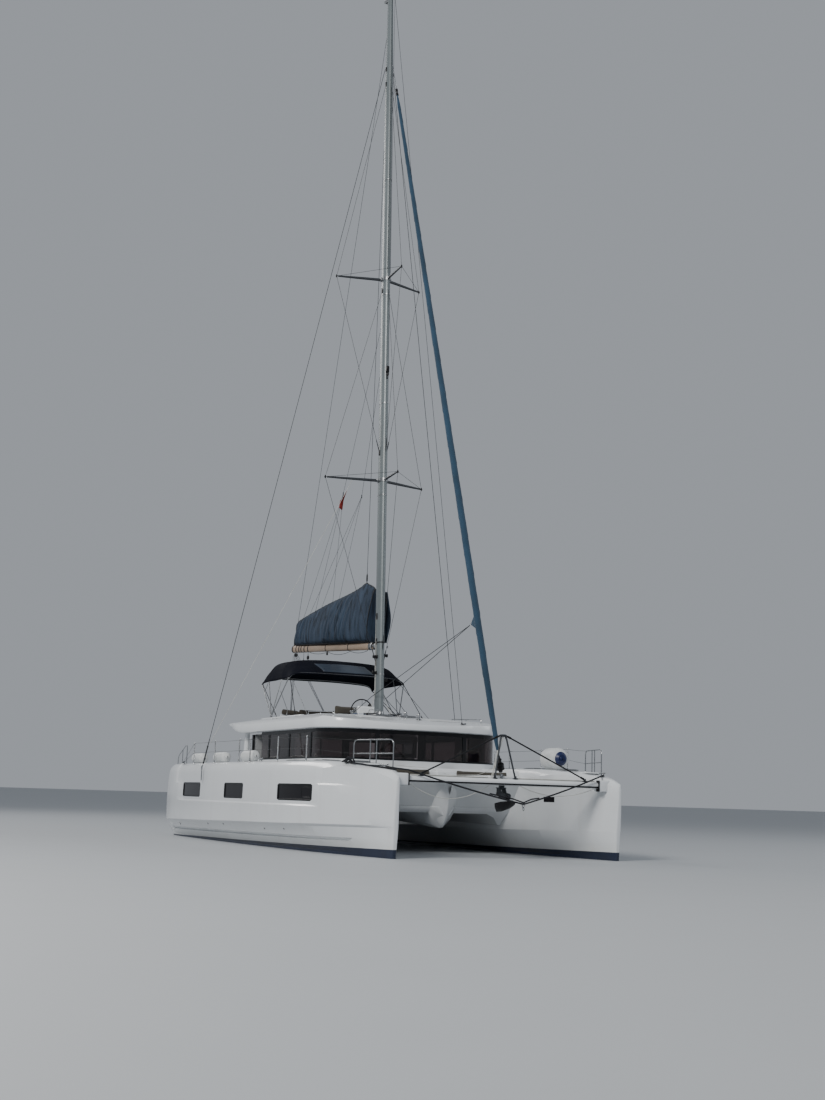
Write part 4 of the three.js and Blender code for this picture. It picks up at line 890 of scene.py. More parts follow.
def hull_point(x, level):
    """Distances of the outer and inner side from the centreline, and the height, at one level."""
    keel, wl, out, inn, chine, side, deck, inset = table_at(HULL_TABLE, x)
    kind, first, second = level
    half = (out - inn) / 2
    tuck = min(0.07, 0.2 * half)
    foot = out - tuck
    wall = out - 0.02 * tuck
    if kind == "keel":
        return HULL_CENTRE + first * wl, HULL_CENTRE - first * wl, second * keel
    recess = 0.0
    if kind in ("flank", "groove"):
        z = first
        if kind == "groove":
            z += 0.307 + 0.0087 * x
            recess = 0.060 * second * between(x, GROOVE[0] - 0.03, GROOVE[0] + 0.03, GROOVE[1] - 0.04,
                                              GROOVE[1] + 0.01)
        outer = mix(HULL_CENTRE + wl, foot, belly((z - 0.06) / (chine - 0.08))) - recess
    elif kind == "chine":
        z = chine + first
        outer = mix(foot, wall - 0.2 * tuck, second)
    elif kind == "wall":
        bow = step_up(5.2, 6.6, x)
        z = mix(first, chine + (first - 0.61) / 1.47 * (side - chine), bow)
        share = (z - chine) / (side - chine)
        steps = ledge_at(x)
        recess = max(steps[0] * second[0], steps[1] * second[1])
        outer = wall - 0.2 * tuck * barrel(share) - recess
    else:
        bow = step_up(3.8, 5.8, x)
        base = mix(1.84, side, bow)
        share = (base - chine) / (side - chine)
        shoulder = wall - 0.2 * tuck * barrel(share) - ledge_at(x)[1]
        width = mix(0.20, inset + 0.3 * tuck, bow)
        if kind == "sheer":
            angle = math.radians(first)
            line = first / 90
            outer = shoulder - width * mix(1 - math.cos(angle), line, bow)
            z = mix(base, deck, mix(math.sin(angle), line, bow))
            inner = inn + 0.8 * inset * mix(1 - math.cos(angle), line, bow)
            return outer, inner, z
        edge, middle = shoulder - width, (out + inn) / 2
        outer = mix(edge, middle, first)
        inner = mix(inn + 0.8 * inset, middle, first)
        return outer, inner, deck + 0.02 * half * (1 - ((outer - middle) / (edge - middle)) ** 2)
    low = HULL_CENTRE - wl
    inner = line_at([(0.06, low), (0.18, mix(low, inn + tuck, 0.34)), (0.30, mix(low, inn + tuck, 0.58)),
                     (0.56, inn + 0.34 * tuck), (0.60, inn + 0.12 * tuck), (1.3, inn)], z)
    return outer, inner, z


def hull_row(x, squeeze=0.0, round_off=0.0):
    """A ring of the starboard hull; near the ends it leans with the stem or the stern."""
    aft, bow = 1 - step_up(STERN_X, STERN_X + 1.0, x), step_up(STEM_X - 0.8, STEM_X, x)

    def leaned(level):
        z = hull_point(x, level)[2]
        shift = aft * (line_at(STERN_PROFILE, z) - STERN_X) + bow * (line_at(STEM_PROFILE, z) - STEM_X)
        outer, inner, z = hull_point(x + shift, level)
        middle = (outer + inner) / 2
        reach = max((outer - inner) / 2 - round_off, 0.0) * (1 - squeeze)
        return x + shift, middle + reach, middle - reach, z

    bottom, *sides, top = [leaned(level) for level in [("keel", 0.0, 1.0), *HULL_LEVELS, ("deck", 1.0, 0)]]
    outer = [Vector((x, -out, z)) for x, out, _, z in [bottom, *sides, top]]
    inner = [Vector((x, -inn, z)) for x, _, inn, z in sides]
    return outer + inner[::-1]


def hull_wall(x, z):
    """Distance of the outer wall from the centreline between the chine and the sheer, behind the ledges."""
    _, _, out, inn, chine, side, _, _ = table_at(HULL_TABLE, x)
    tuck = min(0.07, 0.2 * (out - inn) / 2)
    return out - 0.02 * tuck - 0.2 * tuck * barrel((z - chine) / (side - chine))


def along_hull(bm, x0, x1, z0, z1, near, far, steps=14, corner=0.0):
    """A slab that follows the outer wall; near and far are depths inside it, and its corners are round."""
    rows = []
    for k in range(steps + 1):
        x = mix(x0, x1, k / steps)
        trim = 0.0
        reach = min(x - x0, x1 - x)
        if corner and reach < corner:
            trim = corner - math.sqrt(max(corner**2 - (corner - reach) ** 2, 0))
        low, high = z0 + trim, z1 - trim
        rows.append([(x, -hull_wall(x, low) + near, low), (x, -hull_wall(x, high) + near, high),
                     (x, -hull_wall(x, high) + far, high), (x, -hull_wall(x, low) + far, low)])
    skin(bm, rows, ends=True)


def painted_all(bm, index):
    for face in bm.faces:
        face.material_index = index
    return bm


class MakeHulls(bpy.types.Operator):
    """Builds both hulls, with their ledges, grooves, stern steps, windows and hatch wells"""

    bl_idname = "catamaran.hulls"
    bl_label = "Hulls"

    def execute(self, context):
        for name, side in SIDES:
            self.shell(name, side)
            self.windows(name, side)
            self.treads(name, side)
            self.fittings(name, side)
        return {"FINISHED"}

    def shell(self, name, side):
        def rounding(distance, radius):
            return radius - math.sqrt(radius**2 - (radius - distance) ** 2) if distance < radius else 0

        bm = bmesh.new()
        rows = [hull_row(STERN_X, squeeze, STERN_ROUND) for squeeze in (1.0, 0.75, 0.4, 0)]
        rows += [hull_row(x, 0, rounding(x - STERN_X, STERN_ROUND) + rounding(STEM_X - x,
                                                                              STEM_ROUND)) for x in STATIONS]
        rows += [hull_row(STEM_X, squeeze, STEM_ROUND) for squeeze in (0, 0.5, 1.0)]
        skin(bm, rows)
        bmesh.ops.remove_doubles(bm, verts=bm.verts, dist=1e-5)
        for cutter in (self.stern_cutter, self.hatch_cutter, self.window_cutter):
            bm = carve(bm, cutter())
        mirrored(bm, side)
        piece(f"hull_shell_{name}", bm, "hull gelcoat_inside gloss_black", replaces=[f"hull_{name}"],
              smooth=27)

    def stern_cutter(self):
        """The flight of steps: one prism across the stern, with its nosings rounded."""
        bm = bmesh.new()
        behind, above_deck = -7.7, 2.7
        outline = [(behind, STERN_STEPS[0][1])]
        for (front, z), (_, above) in zip(STERN_STEPS, STERN_STEPS[1:] + [(0, above_deck)]):
            outline += [(front, z), (front, above)]
        outline.append((behind, above_deck))
        skin(bm, [[(x, y, z) for x, z in outline] for y in (STEPS_OUT, STEPS_IN)], ends=True)
        edges = [edge for edge in bm.edges if abs(edge.verts[0].co.y - edge.verts[1].co.y) > 1]
        edges += [edge for edge in bm.edges if all(abs(vert.co.y - STEPS_OUT) < 1e-4 for vert in edge.verts)]
        bevel(bm, edges, STEP_NOSING, 3)
        return bm

    def hatch_cutter(self):
        bm = bmesh.new()
        x0, x1, y0, y1 = HATCH
        block(bm, x0, x1, -y1, -y0, DECK_Z - 0.06, 2.6, 0.03, 3)
        block(bm, x0 + 0.09, x1 - 0.09, -y1 + 0.09, -y0 - 0.09, 0.9, 2.3)
        # The cut faces of the well take the darker gelcoat: painted shade down inside the well
        return painted_all(bm, 1)

    def window_cutter(self):
        bm = bmesh.new()
        for x0, x1 in HULL_WINDOWS:
            along_hull(bm, x0, x1, *WINDOW_Z, 0.084, -0.3, corner=0.035, steps=24)
        x0, x1, z0, z1 = BOW_PORT
        rows = []
        for k in range(9):
            x = mix(x0, x1, k / 8)
            inn = table_at(HULL_TABLE, x)[3]
            rows.append([(x, -inn - 0.05, z0), (x, -inn - 0.05, z1), (x, -inn + 0.3, z1),
                         (x, -inn + 0.3, z0)])
        skin(bm, rows, ends=True)
        return painted_all(bm, 2)

    def windows(self, name, side):
        """Black surrounds with dark glass set a little behind the hull's skin."""
        bm = bmesh.new()

        def bar(x0, x1, z0, z1, back, front, steps):
            along_hull(bm, x0, x1, z0, z1, LEDGE_DEPTH + back, LEDGE_DEPTH + front, steps)

        sill, head = WINDOW_Z
        gap = 0.006
        for x0, x1 in HULL_WINDOWS:
            z0, z1 = sill + gap, head - gap
            bar(x0 + gap, x1 - gap, z0, z0 + 0.035, 0.052, 0.004, 18)
            bar(x0 + gap, x1 - gap, z1 - 0.035, z1, 0.052, 0.004, 18)
            bar(x0 + gap, x0 + gap + 0.04, z0 + 0.03, z1 - 0.03, 0.052, 0.004, 2)
            bar(x1 - gap - 0.04, x1 - gap, z0 + 0.03, z1 - 0.03, 0.052, 0.004, 2)
        paint(bm, 0)
        for x0, x1 in HULL_WINDOWS:
            bar(x0 + 0.045, x1 - 0.045, sill + 0.04, head - 0.04, 0.045, 0.020, 18)
        paint(bm, 1)
        # The frame of the sash that opens in the front window
        sash = [mix(*HULL_WINDOWS[2], share) for share in (0.70, 0.955)]
        for x in sash:
            bar(x - 0.012, x + 0.012, sill + 0.075, head - 0.075, 0.03, 0.014, 2)
        for z in (sill + 0.075, head - 0.09):
            bar(*sash, z, z + 0.018, 0.03, 0.014, 4)
        paint(bm, 0)
        # The flat glass of the small port leans with the hull's inner side
        middle, reach = 5.34, 0.24
        inn = table_at(HULL_TABLE, middle)[3]
        slope = (table_at(HULL_TABLE, middle + reach)[3] - table_at(HULL_TABLE,
                                                                    middle - reach)[3]) / (2 * reach)
        x0, x1, z0, z1 = BOW_PORT
        rows = []
        for k in range(5):
            x = mix(x0 - 0.015, x1 + 0.015, k / 4)
            y = -(inn + (x - middle) * slope) - 0.02
            low, high = z0 - 0.005, z1 + 0.005
            rows.append([(x, y - 0.02, low), (x, y - 0.02, high), (x, y, high), (x, y, low)])
        skin(bm, rows, ends=True)
        paint(bm, 1)
        mirrored(bm, side)
        rounded(piece(f"hull_windows_{name}", bm, "gloss_black port_glass", smooth=30), 0.004)

    def treads(self, name, side):
        """Teak laid on each step, and a grab rail beside the flight."""
        bm = bmesh.new()
        for x0, x1, z, inner in TREADS:
            block(bm, x0, x1, -3.30, inner, z + 0.0015, z + 0.011, 0.003)
        paint(bm, 0)
        y = -3.47
        pipe(bm, bent([(-6.90, y, 1.95), (-6.90, y, 2.36), (-6.05, y, 2.72), (-6.05, y, 2.12)], 0.16, 5),
             0.0125, 10)
        rod(bm, (-6.47, y, 2.06), (-6.47, y, 2.54), 0.011)
        for x, z in ((-6.90, 1.95), (-6.47, 2.08), (-6.05, 2.12)):
            rod(bm, (x, y, z), (x, y, z + 0.012), 0.036, 0.032, 16)
        paint(bm, 1)
        mirrored(bm, side)
        rounded(piece(f"stern_steps_{name}", bm, "teak steel"), 0.002)

    def fittings(self, name, side):
        """Skin fittings and exhausts near the waterline."""
        bm = bmesh.new()
        for x, z, size in ((-5.3, 0.40, 0.045), (-2.3, 0.47, 0.028), (-1.0, 0.50, 0.028), (1.9, 0.47, 0.022),
                           (3.1, 0.50, 0.02)):
            _, wl, out, inn, chine, _, _, _ = table_at(HULL_TABLE, x)
            y = mix(HULL_CENTRE + wl, out - min(0.07, 0.1 * (out - inn)), belly((z - 0.06) / (chine - 0.08)))
            turned(bm, [(size * 0.6, -0.012), (size * 0.6, 0.0), (size * 0.7, 0.008), (size, 0.006),
                        (size * 1.08, 0.0),
                        (size * 1.08, -0.012)], (x, -y, z), (0, -1, -0.25), 20)
        paint(bm, 0)
        mirrored(bm, side)
        piece(f"skin_fittings_{name}", bm, "steel")


# Underwater gear
FOIL = [(0.5, 0), (0.49, 0.11), (0.46, 0.23), (0.41, 0.35), (0.33, 0.44), (0.23, 0.49), (0.12, 0.5),
        (0.0, 0.47),
        (-0.12, 0.41), (-0.24, 0.32), (-0.35, 0.2), (-0.44, 0.09), (-0.5, 0.02)]


FOIL += [(a, -b) for a, b in FOIL[:0:-1]]


def foil(bm, *rows, steps=6):
    """A blade through rows of (x, z, chord, thickness), from its root to its rounded tip."""
    made = [[mix(a, b, k / steps) for a, b in zip(lower, upper)]
            for lower, upper in zip(rows, rows[1:]) for k in range(steps)]
    x, z, chord, thick = rows[-1]
    made.append(rows[-1])
    made += [(x, z - 0.012 * (1 - cut), chord * (0.94 + 0.06 * cut), thick * cut) for cut in (0.93, 0.75,
                                                                                              0.4)]
    skin(bm, [[(x + a * chord, b * thick, z) for a, b in FOIL] for x, z, chord, thick in made], ends=True)


def moved(bm, x, y, z=0.0):
    bmesh.ops.translate(bm, vec=(x, y, z), verts=bm.verts)


class MakeUnderwaterGear(bpy.types.Operator):
    """Builds the stub keels, rudders, sail drives and propellers"""

    bl_idname = "catamaran.underwater_gear"
    bl_label = "Underwater gear"

    def execute(self, context):
        for name, side in SIDES:
            y = side * HULL_CENTRE
            bm = bmesh.new()
            foil(bm, (0.15, -0.30, 2.70, 0.29), (0.18, -0.90, 2.35, 0.26), (0.20, -1.385, 1.96, 0.23))
            moved(bm, 0, y)
            piece(f"stub_keel_{name}", bm, "bottom_paint", replaces=[f"keel_{name}"],
                  smooth=40)
            bm = bmesh.new()
            foil(bm, (-0.09, -0.34, 0.54, 0.11), (-0.07, -0.79, 0.50, 0.09), (-0.03, -1.228, 0.41, 0.062))
            rod(bm, (0, 0, -0.36), (0, 0, 0.18), 0.032, sides=20)
            turned(bm, [(0.032, -0.34), (0.05, -0.335), (0.05, -0.315), (0.032, -0.31)], (0, 0, 0), sides=20)
            moved(bm, -6.3, y)
            piece(f"rudder_blade_{name}", bm, "bottom_paint", body=f"rudder_{name}",
                  replaces=[f"rudder_{name}"], smooth=40)
            bm = bmesh.new()
            foil(bm, (0, -0.25, 0.43, 0.12), (0, -0.60, 0.33, 0.095), (-0.01, -0.85, 0.32, 0.09),
                 (-0.02, -1.015, 0.235, 0.03))
            turned(bm, [(0.02, -0.228), (0.045, -0.228), (0.060, -0.20), (0.062, -0.1), (0.062, 0.2),
                        (0.055, 0.28),
                        (0.035, 0.34), (0.012, 0.358), (0.0, 0.36)], (0, 0, -0.85), (1, 0, 0), 28)
            moved(bm, -4.85, y)
            piece(f"sail_drive_{name}", bm, "bottom_paint", replaces=[f"saildrive_{name}"],
                  smooth=45)
            self.propeller(name, y)
        return {"FINISHED"}

    def propeller(self, name, y):
        bm = bmesh.new()
        turned(bm, [(0.0, 0.0), (0.050, 0.0), (0.055, -0.01), (0.055, -0.05), (0.046, -0.13), (0.040, -0.155),
                    (0.024, -0.185), (0.010, -0.199), (0.0, -0.2)], (0, 0, 0), (1, 0, 0), 28)
        rod(bm, (0.0, 0, 0), (0.08, 0, 0), 0.015, sides=16)
        stations = [(0.045, 0.055, 40), (0.09, 0.095, 36), (0.14, 0.135, 31), (0.19, 0.15, 26),
                    (0.225, 0.115, 23),
                    (0.240, 0.06, 21)]
        thick, hub_x = 0.016, -0.065
        for blade_angle in angles(3):
            turn = Matrix.Rotation(blade_angle, 3, "X")
            rows = []
            for reach, chord, pitch in stations:
                s, c = math.sin(math.radians(pitch)), math.cos(math.radians(pitch))
                rows.append([turn @ Vector((a * chord * s + b * thick * c, a * chord * c - b * thick * s,
                                            reach))
                             + Vector((hub_x, 0, 0)) for a, b in FOIL])
            skin(bm, rows, ends=True)
        moved(bm, -5.086, y, -0.85)
        piece(f"propeller_blades_{name}", bm, "bronze", body=f"propeller_{name}",
              replaces=[f"propeller_{name}"], smooth=45)


# Saloon: a rectangle in plan with round front corners and a bowed front
SALOON_AFT, SALOON_SIDE, CORNER_X, CORNER = -2.95, 2.55, 1.65, 0.95
SILL_Z, HEAD_Z = 2.25, 2.95
# Depths of the glass and of the black bands, inwards from the wall's outer face
GLASS_FACES = (0.010, 0.030)
BAND_FACES = (-0.0055, 0.034)


def saloon_line(inset=0.0, aft=SALOON_AFT, arcs=12, nose=16):
    """The plan of the saloon wall, from the starboard aft corner round the front to port."""
    side, radius, flat = SALOON_SIDE - inset, CORNER - inset, SALOON_SIDE - CORNER
    line = [(aft, -side)]
    line += [(x, -side) for x in (-2.2, -1.65, -0.9, -0.15, 0.6, 1.35, 1.41)]
    line += [(CORNER_X + radius * math.cos(a), -flat + radius * math.sin(a)) for a in front_quarter(arcs)]
    start, handle = CORNER_X + radius, CORNER_X + radius + 0.33
    for k in range(1, nose):
        t = k / nose
        line.append((start * ((1 - t) ** 2 + t**2) + handle * 2 * t * (1 - t), flat * (t**2 - (1 - t) ** 2)))
    half = line[:len(line) - nose + 1]
    return line + [(x, -y) for x, y in half[::-1]]


def wall_strip(bm, keep, z0, z1, outside, inside):
    """A strip of the saloon's wall between two heights, where keep(x, y) is true; depths are insets."""
    run = []
    for a, b in [*zip(saloon_line(outside), saloon_line(inside)), (None, None)]:
        if a and keep(*a):
            run.append([(*a, z0), (*a, z1), (*b, z1), (*b, z0)])
            continue
        if len(run) > 1:
            skin(bm, run, ends=True)
        run = []


def short_strip(bm, x, y, nx, ny, half, z0, z1, outside, inside):
    """A narrow upright strip on the wall at one place of its plan."""
    base, out, along = Vector((x, y, 0)), Vector((nx, ny, 0)), Vector((-ny, nx, 0))
    corners = [base + along * s * half - out * d for s,
               d in ((-1, outside), (1, outside), (1, inside), (-1, inside))]
    skin(bm, [[(*c.xy, z0) for c in corners], [(*c.xy, z1) for c in corners]], ends=True)


# Each side window's number and the span of the wall it fills
SIDE_PANES = ((1, -2.9, -1.64), (2, -1.66, -0.14), (3, -0.16, 1.36))


class MakeSaloon(bpy.types.Operator):
    """Builds the saloon: walls, glazing, door, furniture and curtains"""

    bl_idname = "catamaran.saloon"
    bl_label = "Saloon"

    def execute(self, context):
        walls = copy_of("saloon_walls")
        # Faces turned in towards the saloon take the darker gelcoat: painted shade inside the house
        for face in walls.faces:
            inside = face.calc_center_median()
            facing_in = face.normal.x * (inside.x + 0.3) + face.normal.y * inside.y < 0
            face.material_index = 1 if facing_in and abs(face.normal.z) < 0.5 else 0
        rounded(piece("saloon_house", walls, "gelcoat gelcoat_inside", replaces=["saloon_walls"],
                      smooth=25, tidy=False), 0.006)
        self.panes()
        self.frames()
        self.inside()
        self.door()
        return {"FINISHED"}

    def panes(self):
        for name, side in SIDES:
            for number, aft, front in SIDE_PANES:
                self.pane(f"side_{name}_{number}", lambda x, y: aft < x < front and y * side > 2.0)
            self.pane(f"corner_{name}", lambda x, y: x > 1.37 and y * side > 1.26)
        self.pane("front", lambda x, y: x > 2.2 and abs(y) < 1.25)

    def pane(self, place, keep):
        bm = bmesh.new()
        wall_strip(bm, keep, SILL_Z + 0.002, HEAD_Z - 0.002, *GLASS_FACES)
        piece(f"pane_{place}", bm, "glass", replaces=[f"window_{place}"], smooth=30)

    def frames(self):
        """Black bands round the glass and over the posts, and the opening window in the front pane."""
        bm = bmesh.new()
        for z0, z1 in ((SILL_Z - 0.012, SILL_Z + 0.035), (HEAD_Z - 0.045, HEAD_Z + 0.05)):
            wall_strip(bm, lambda x, y: x > -2.92, z0, z1, -0.006, 0.034)
        for side in (-1, 1):
            for x, half in ((-2.91, 0.05), (-1.62, 0.05), (-0.12, 0.05), (1.38, 0.055)):
                short_strip(bm, x, side * SALOON_SIDE, 0, side, half, SILL_Z, HEAD_Z, *BAND_FACES)
            short_strip(bm, *self.front_place(side * 1.25), 0.055, SILL_Z, HEAD_Z, *BAND_FACES)
        rounded(piece("window_bands", bm, "gloss_black", smooth=28), 0.003)

        bm = bmesh.new()
        self.opening(bm, -1.13, -0.16, SILL_Z + 0.07, HEAD_Z - 0.09, 0.10)
        paint(bm, 0)
        for y in (-0.10, 0.06):
            short_strip(bm, *self.front_place(y), 0.035, SILL_Z + 0.02, HEAD_Z - 0.02, 0.034, 0.055)
        short_strip(bm, *self.front_place(-0.02), 0.06, SILL_Z + 0.02, HEAD_Z - 0.02, 0.056, 0.085)
        paint(bm, 1)
        rounded(piece("front_window_frames", bm, "spar gloss_black", smooth=28), 0.004)

    def front_place(self, y):
        """The point of the front wall at y, with the wall's direction outwards."""
        points = sorted(((py, px) for px, py in saloon_line() if px > 2.2), key=lambda pair: pair[0])
        x = line_at(points, y)
        lean = (line_at(points, y + 0.05) - line_at(points, y - 0.05)) / 0.1
        out = Vector((1, -lean, 0)).normalized()
        return x, y, out.x, out.y

    def opening(self, bm, y0, y1, z0, z1, width):
        """A window frame that stands behind the front glass."""
        front, back, steps = 0.036, 0.070, 8
        for low, high in ((z0, z0 + width), (z1 - width, z1)):
            rows = []
            for k in range(steps + 1):
                x, y, nx, ny = self.front_place(mix(y0, y1, k / steps))
                near, far = (x - front * nx, y - front * ny), (x - back * nx, y - back * ny)
                rows.append([(*near, low), (*near, high), (*far, high), (*far, low)])
            skin(bm, rows, ends=True)
        for y in (y0 + width / 2, y1 - width / 2):
            short_strip(bm, *self.front_place(y), width / 2, z0 + width, z1 - width, front, back)

    def inside(self):
        """Galley, floor and the curtain that hangs in the port front corner."""
        galley = copy_of("galley")
        for face in galley.faces:
            face.material_index = 1 if face.calc_center_median().z > 1.985 else 0
        for k in range(5):
            block(galley, -2.36 + 0.59 * k, -1.80 + 0.59 * k, 1.066, 1.079, 1.19, 1.94, 0.004)
        for x in (-1.6, -1.25):
            turned(galley, [(0.0, 0.0), (0.07, 0.0), (0.075, 0.004), (0.0, 0.006)], (x, 1.35, 2.0305),
                   sides=20)
        block(galley, -0.55, 0.05, 1.15, 1.55, 2.0305, 2.036, 0.002)
        rounded(piece("galley_units", galley, "wood worktop", replaces=["galley"], smooth=30),
                0.006)

        bm = bmesh.new()
        places = [(x, y) for x, y in saloon_line(0.11) if x > 2.0 and 0.95 < y < 2.1]
        lengths = [0.0]
        for a, b in zip(places, places[1:]):
            lengths.append(lengths[-1] + math.dist(a, b))
        rows = []
        steps, steps_per_fold, fold_depth = 90, 6, 0.018
        for k in range(steps + 1):
            run = lengths[-1] * k / steps
            x, y = (line_at(list(zip(lengths, values)), run) for values in zip(*places))
            out = Vector((x - 1.5, y,
                          0)).normalized() * fold_depth * math.sin(k * 2 * math.pi / steps_per_fold)
            rows.append([(x + out.x, y + out.y, z) for z in (2.22, 2.4, 2.6, 2.8, 2.93)])
        skin(bm, rows, closed=False)
        bmesh.ops.solidify(bm, geom=bm.faces, thickness=0.002)
        curtain = piece("curtain", bm, "curtain", smooth=60)

        bm = bmesh.new()
        block(bm, -2.88, 2.30, -1.66, 1.66, SOLE_Z + 0.0015, SOLE_Z + 0.010, 0.002)
        piece("saloon_sole", bm, "wood")

    def door(self):
        """An aluminium frame round the glass, with its middle bar and handle, and the galley's aft window."""
        bm = bmesh.new()
        x0, x1 = -2.990, -2.956
        y0, y1, z0, z1 = -1.31, 0.31, SOLE_Z + 0.006, 3.0
        for ya, yb, za, zb in ((y0, y0 + 0.08, z0, z1), (y1 - 0.08, y1, z0, z1),
                               (y0 + 0.08, y1 - 0.08, z0, z0 + 0.10), (y0 + 0.08, y1 - 0.08, z1 - 0.08, z1)):
            block(bm, x0, x1, ya, yb, za, zb, 0.004)
        block(bm, x0 + 0.004, x1 - 0.004, -0.53, -0.47, z0 + 0.10, z1 - 0.08, 0.003)
        paint(bm, 0)
        block(bm, x0 + 0.010, x0 + 0.020, y0 + 0.07, y1 - 0.07, z0 + 0.09, z1 - 0.07)
        paint(bm, 1)
        y = y0 + 0.035
        pipe(bm, bent([(x0, y, 1.9), (x0 - 0.035, y, 1.9), (x0 - 0.035, y, 2.12), (x0, y, 2.12)], 0.02),
             0.009, 10)
        paint(bm, 2)
        piece("cockpit_door", bm, "alloy glass steel", body="saloon_door", replaces=["saloon_door"])
        bm = bmesh.new()
        for y0, y1, z0, z1 in ((0.40, 2.22, 2.16, 2.20), (0.40, 2.22, 2.88, 2.92), (0.40, 0.44, 2.20, 2.88),
                               (2.18, 2.22, 2.20, 2.88)):
            block(bm, -2.951, -2.90, y0, y1, z0, z1, 0.003)
        paint(bm, 0)
        block(bm, -2.93, -2.92, 0.43, 2.19, 2.19, 2.89)
        paint(bm, 1)
        piece("galley_window", bm, "gloss_black glass")


# Roof over the saloon and cockpit, with the flybridge well
ROOF_TOP = [(-5.67, 3.35), (-3.0, 3.43), (-1.0, 3.48), (-0.1, 3.49), (0.3, 3.485), (1.5, 3.40), (2.6, 3.24),
            (3.19, 3.085)]
ROOF_SECTION = [(0.0, 3.505), (0.4, 3.50), (1.5, 3.47), (2.2, 3.42), (2.5, 3.33), (2.7, 3.18)]
COAMING_TOP = 3.462
WELL_CORNER = 0.18
# Where the lines from the mast's foot run aft side by side over the roof
MAST_LINE_ROWS = [side * (0.26 + 0.055 * k) for k in range(5) for side in (-1, 1)]
ROOF_BOTTOM = [(-5.67, 3.315), (-4.3, 3.08), (-3.75, 3.012), (-3.0, 3.012), (3.3, 3.012)]


def roof_outline():
    """Half of the roof's plan, from the middle of its aft edge round starboard to the middle of the front."""
    line = [(-5.15, -y) for y in (0.0, 0.5, 1.0, 1.4)]
    for t in (k / 8 for k in range(1, 9)):
        a, b, c = (1 - t) ** 2, 2 * t * (1 - t), t**2
        line.append((a * -5.15 + b * -5.2 + c * -5.62, a * -1.5 + b * -1.9 + c * -2.32))
    line += [(-5.615, -2.345), (-5.57, -2.36)]
    line += [(x, -line_at([(-5.62, 2.335), (-4.3, 2.605), (-3.4, 2.64)], x))
             for x in (-5.3, -5.0, -4.7, -4.45, -4.2, -3.95, -3.7)]
    line += [(x, -2.64) for x in (-3.4, -2.9, -2.2, -1.4, -0.6, 0.2, 0.9, 1.4)]
    line += [(1.65 + 1.04 * math.cos(a), -1.6 + 1.04 * math.sin(a)) for a in front_quarter(12)]
    for t in (k / 16 for k in range(1, 9)):
        a, b, c = (1 - t) ** 2, 2 * t * (1 - t), t**2
        line.append((2.69 * (a + c) + 3.15 * b, 1.6 * (c - a)))
    return line


def roof_top(x, y):
    """Height of the roof: the lower of its length's and its section's line, with a soft edge between them."""
    a, b, soft = line_at(ROOF_TOP, x), line_at(ROOF_SECTION, abs(y)), 0.03
    gap = max(soft - abs(a - b), 0) / soft
    return min(a, b) - gap * gap * soft * 0.25


def roof_bottom(x, y):
    return line_at(ROOF_BOTTOM, x)


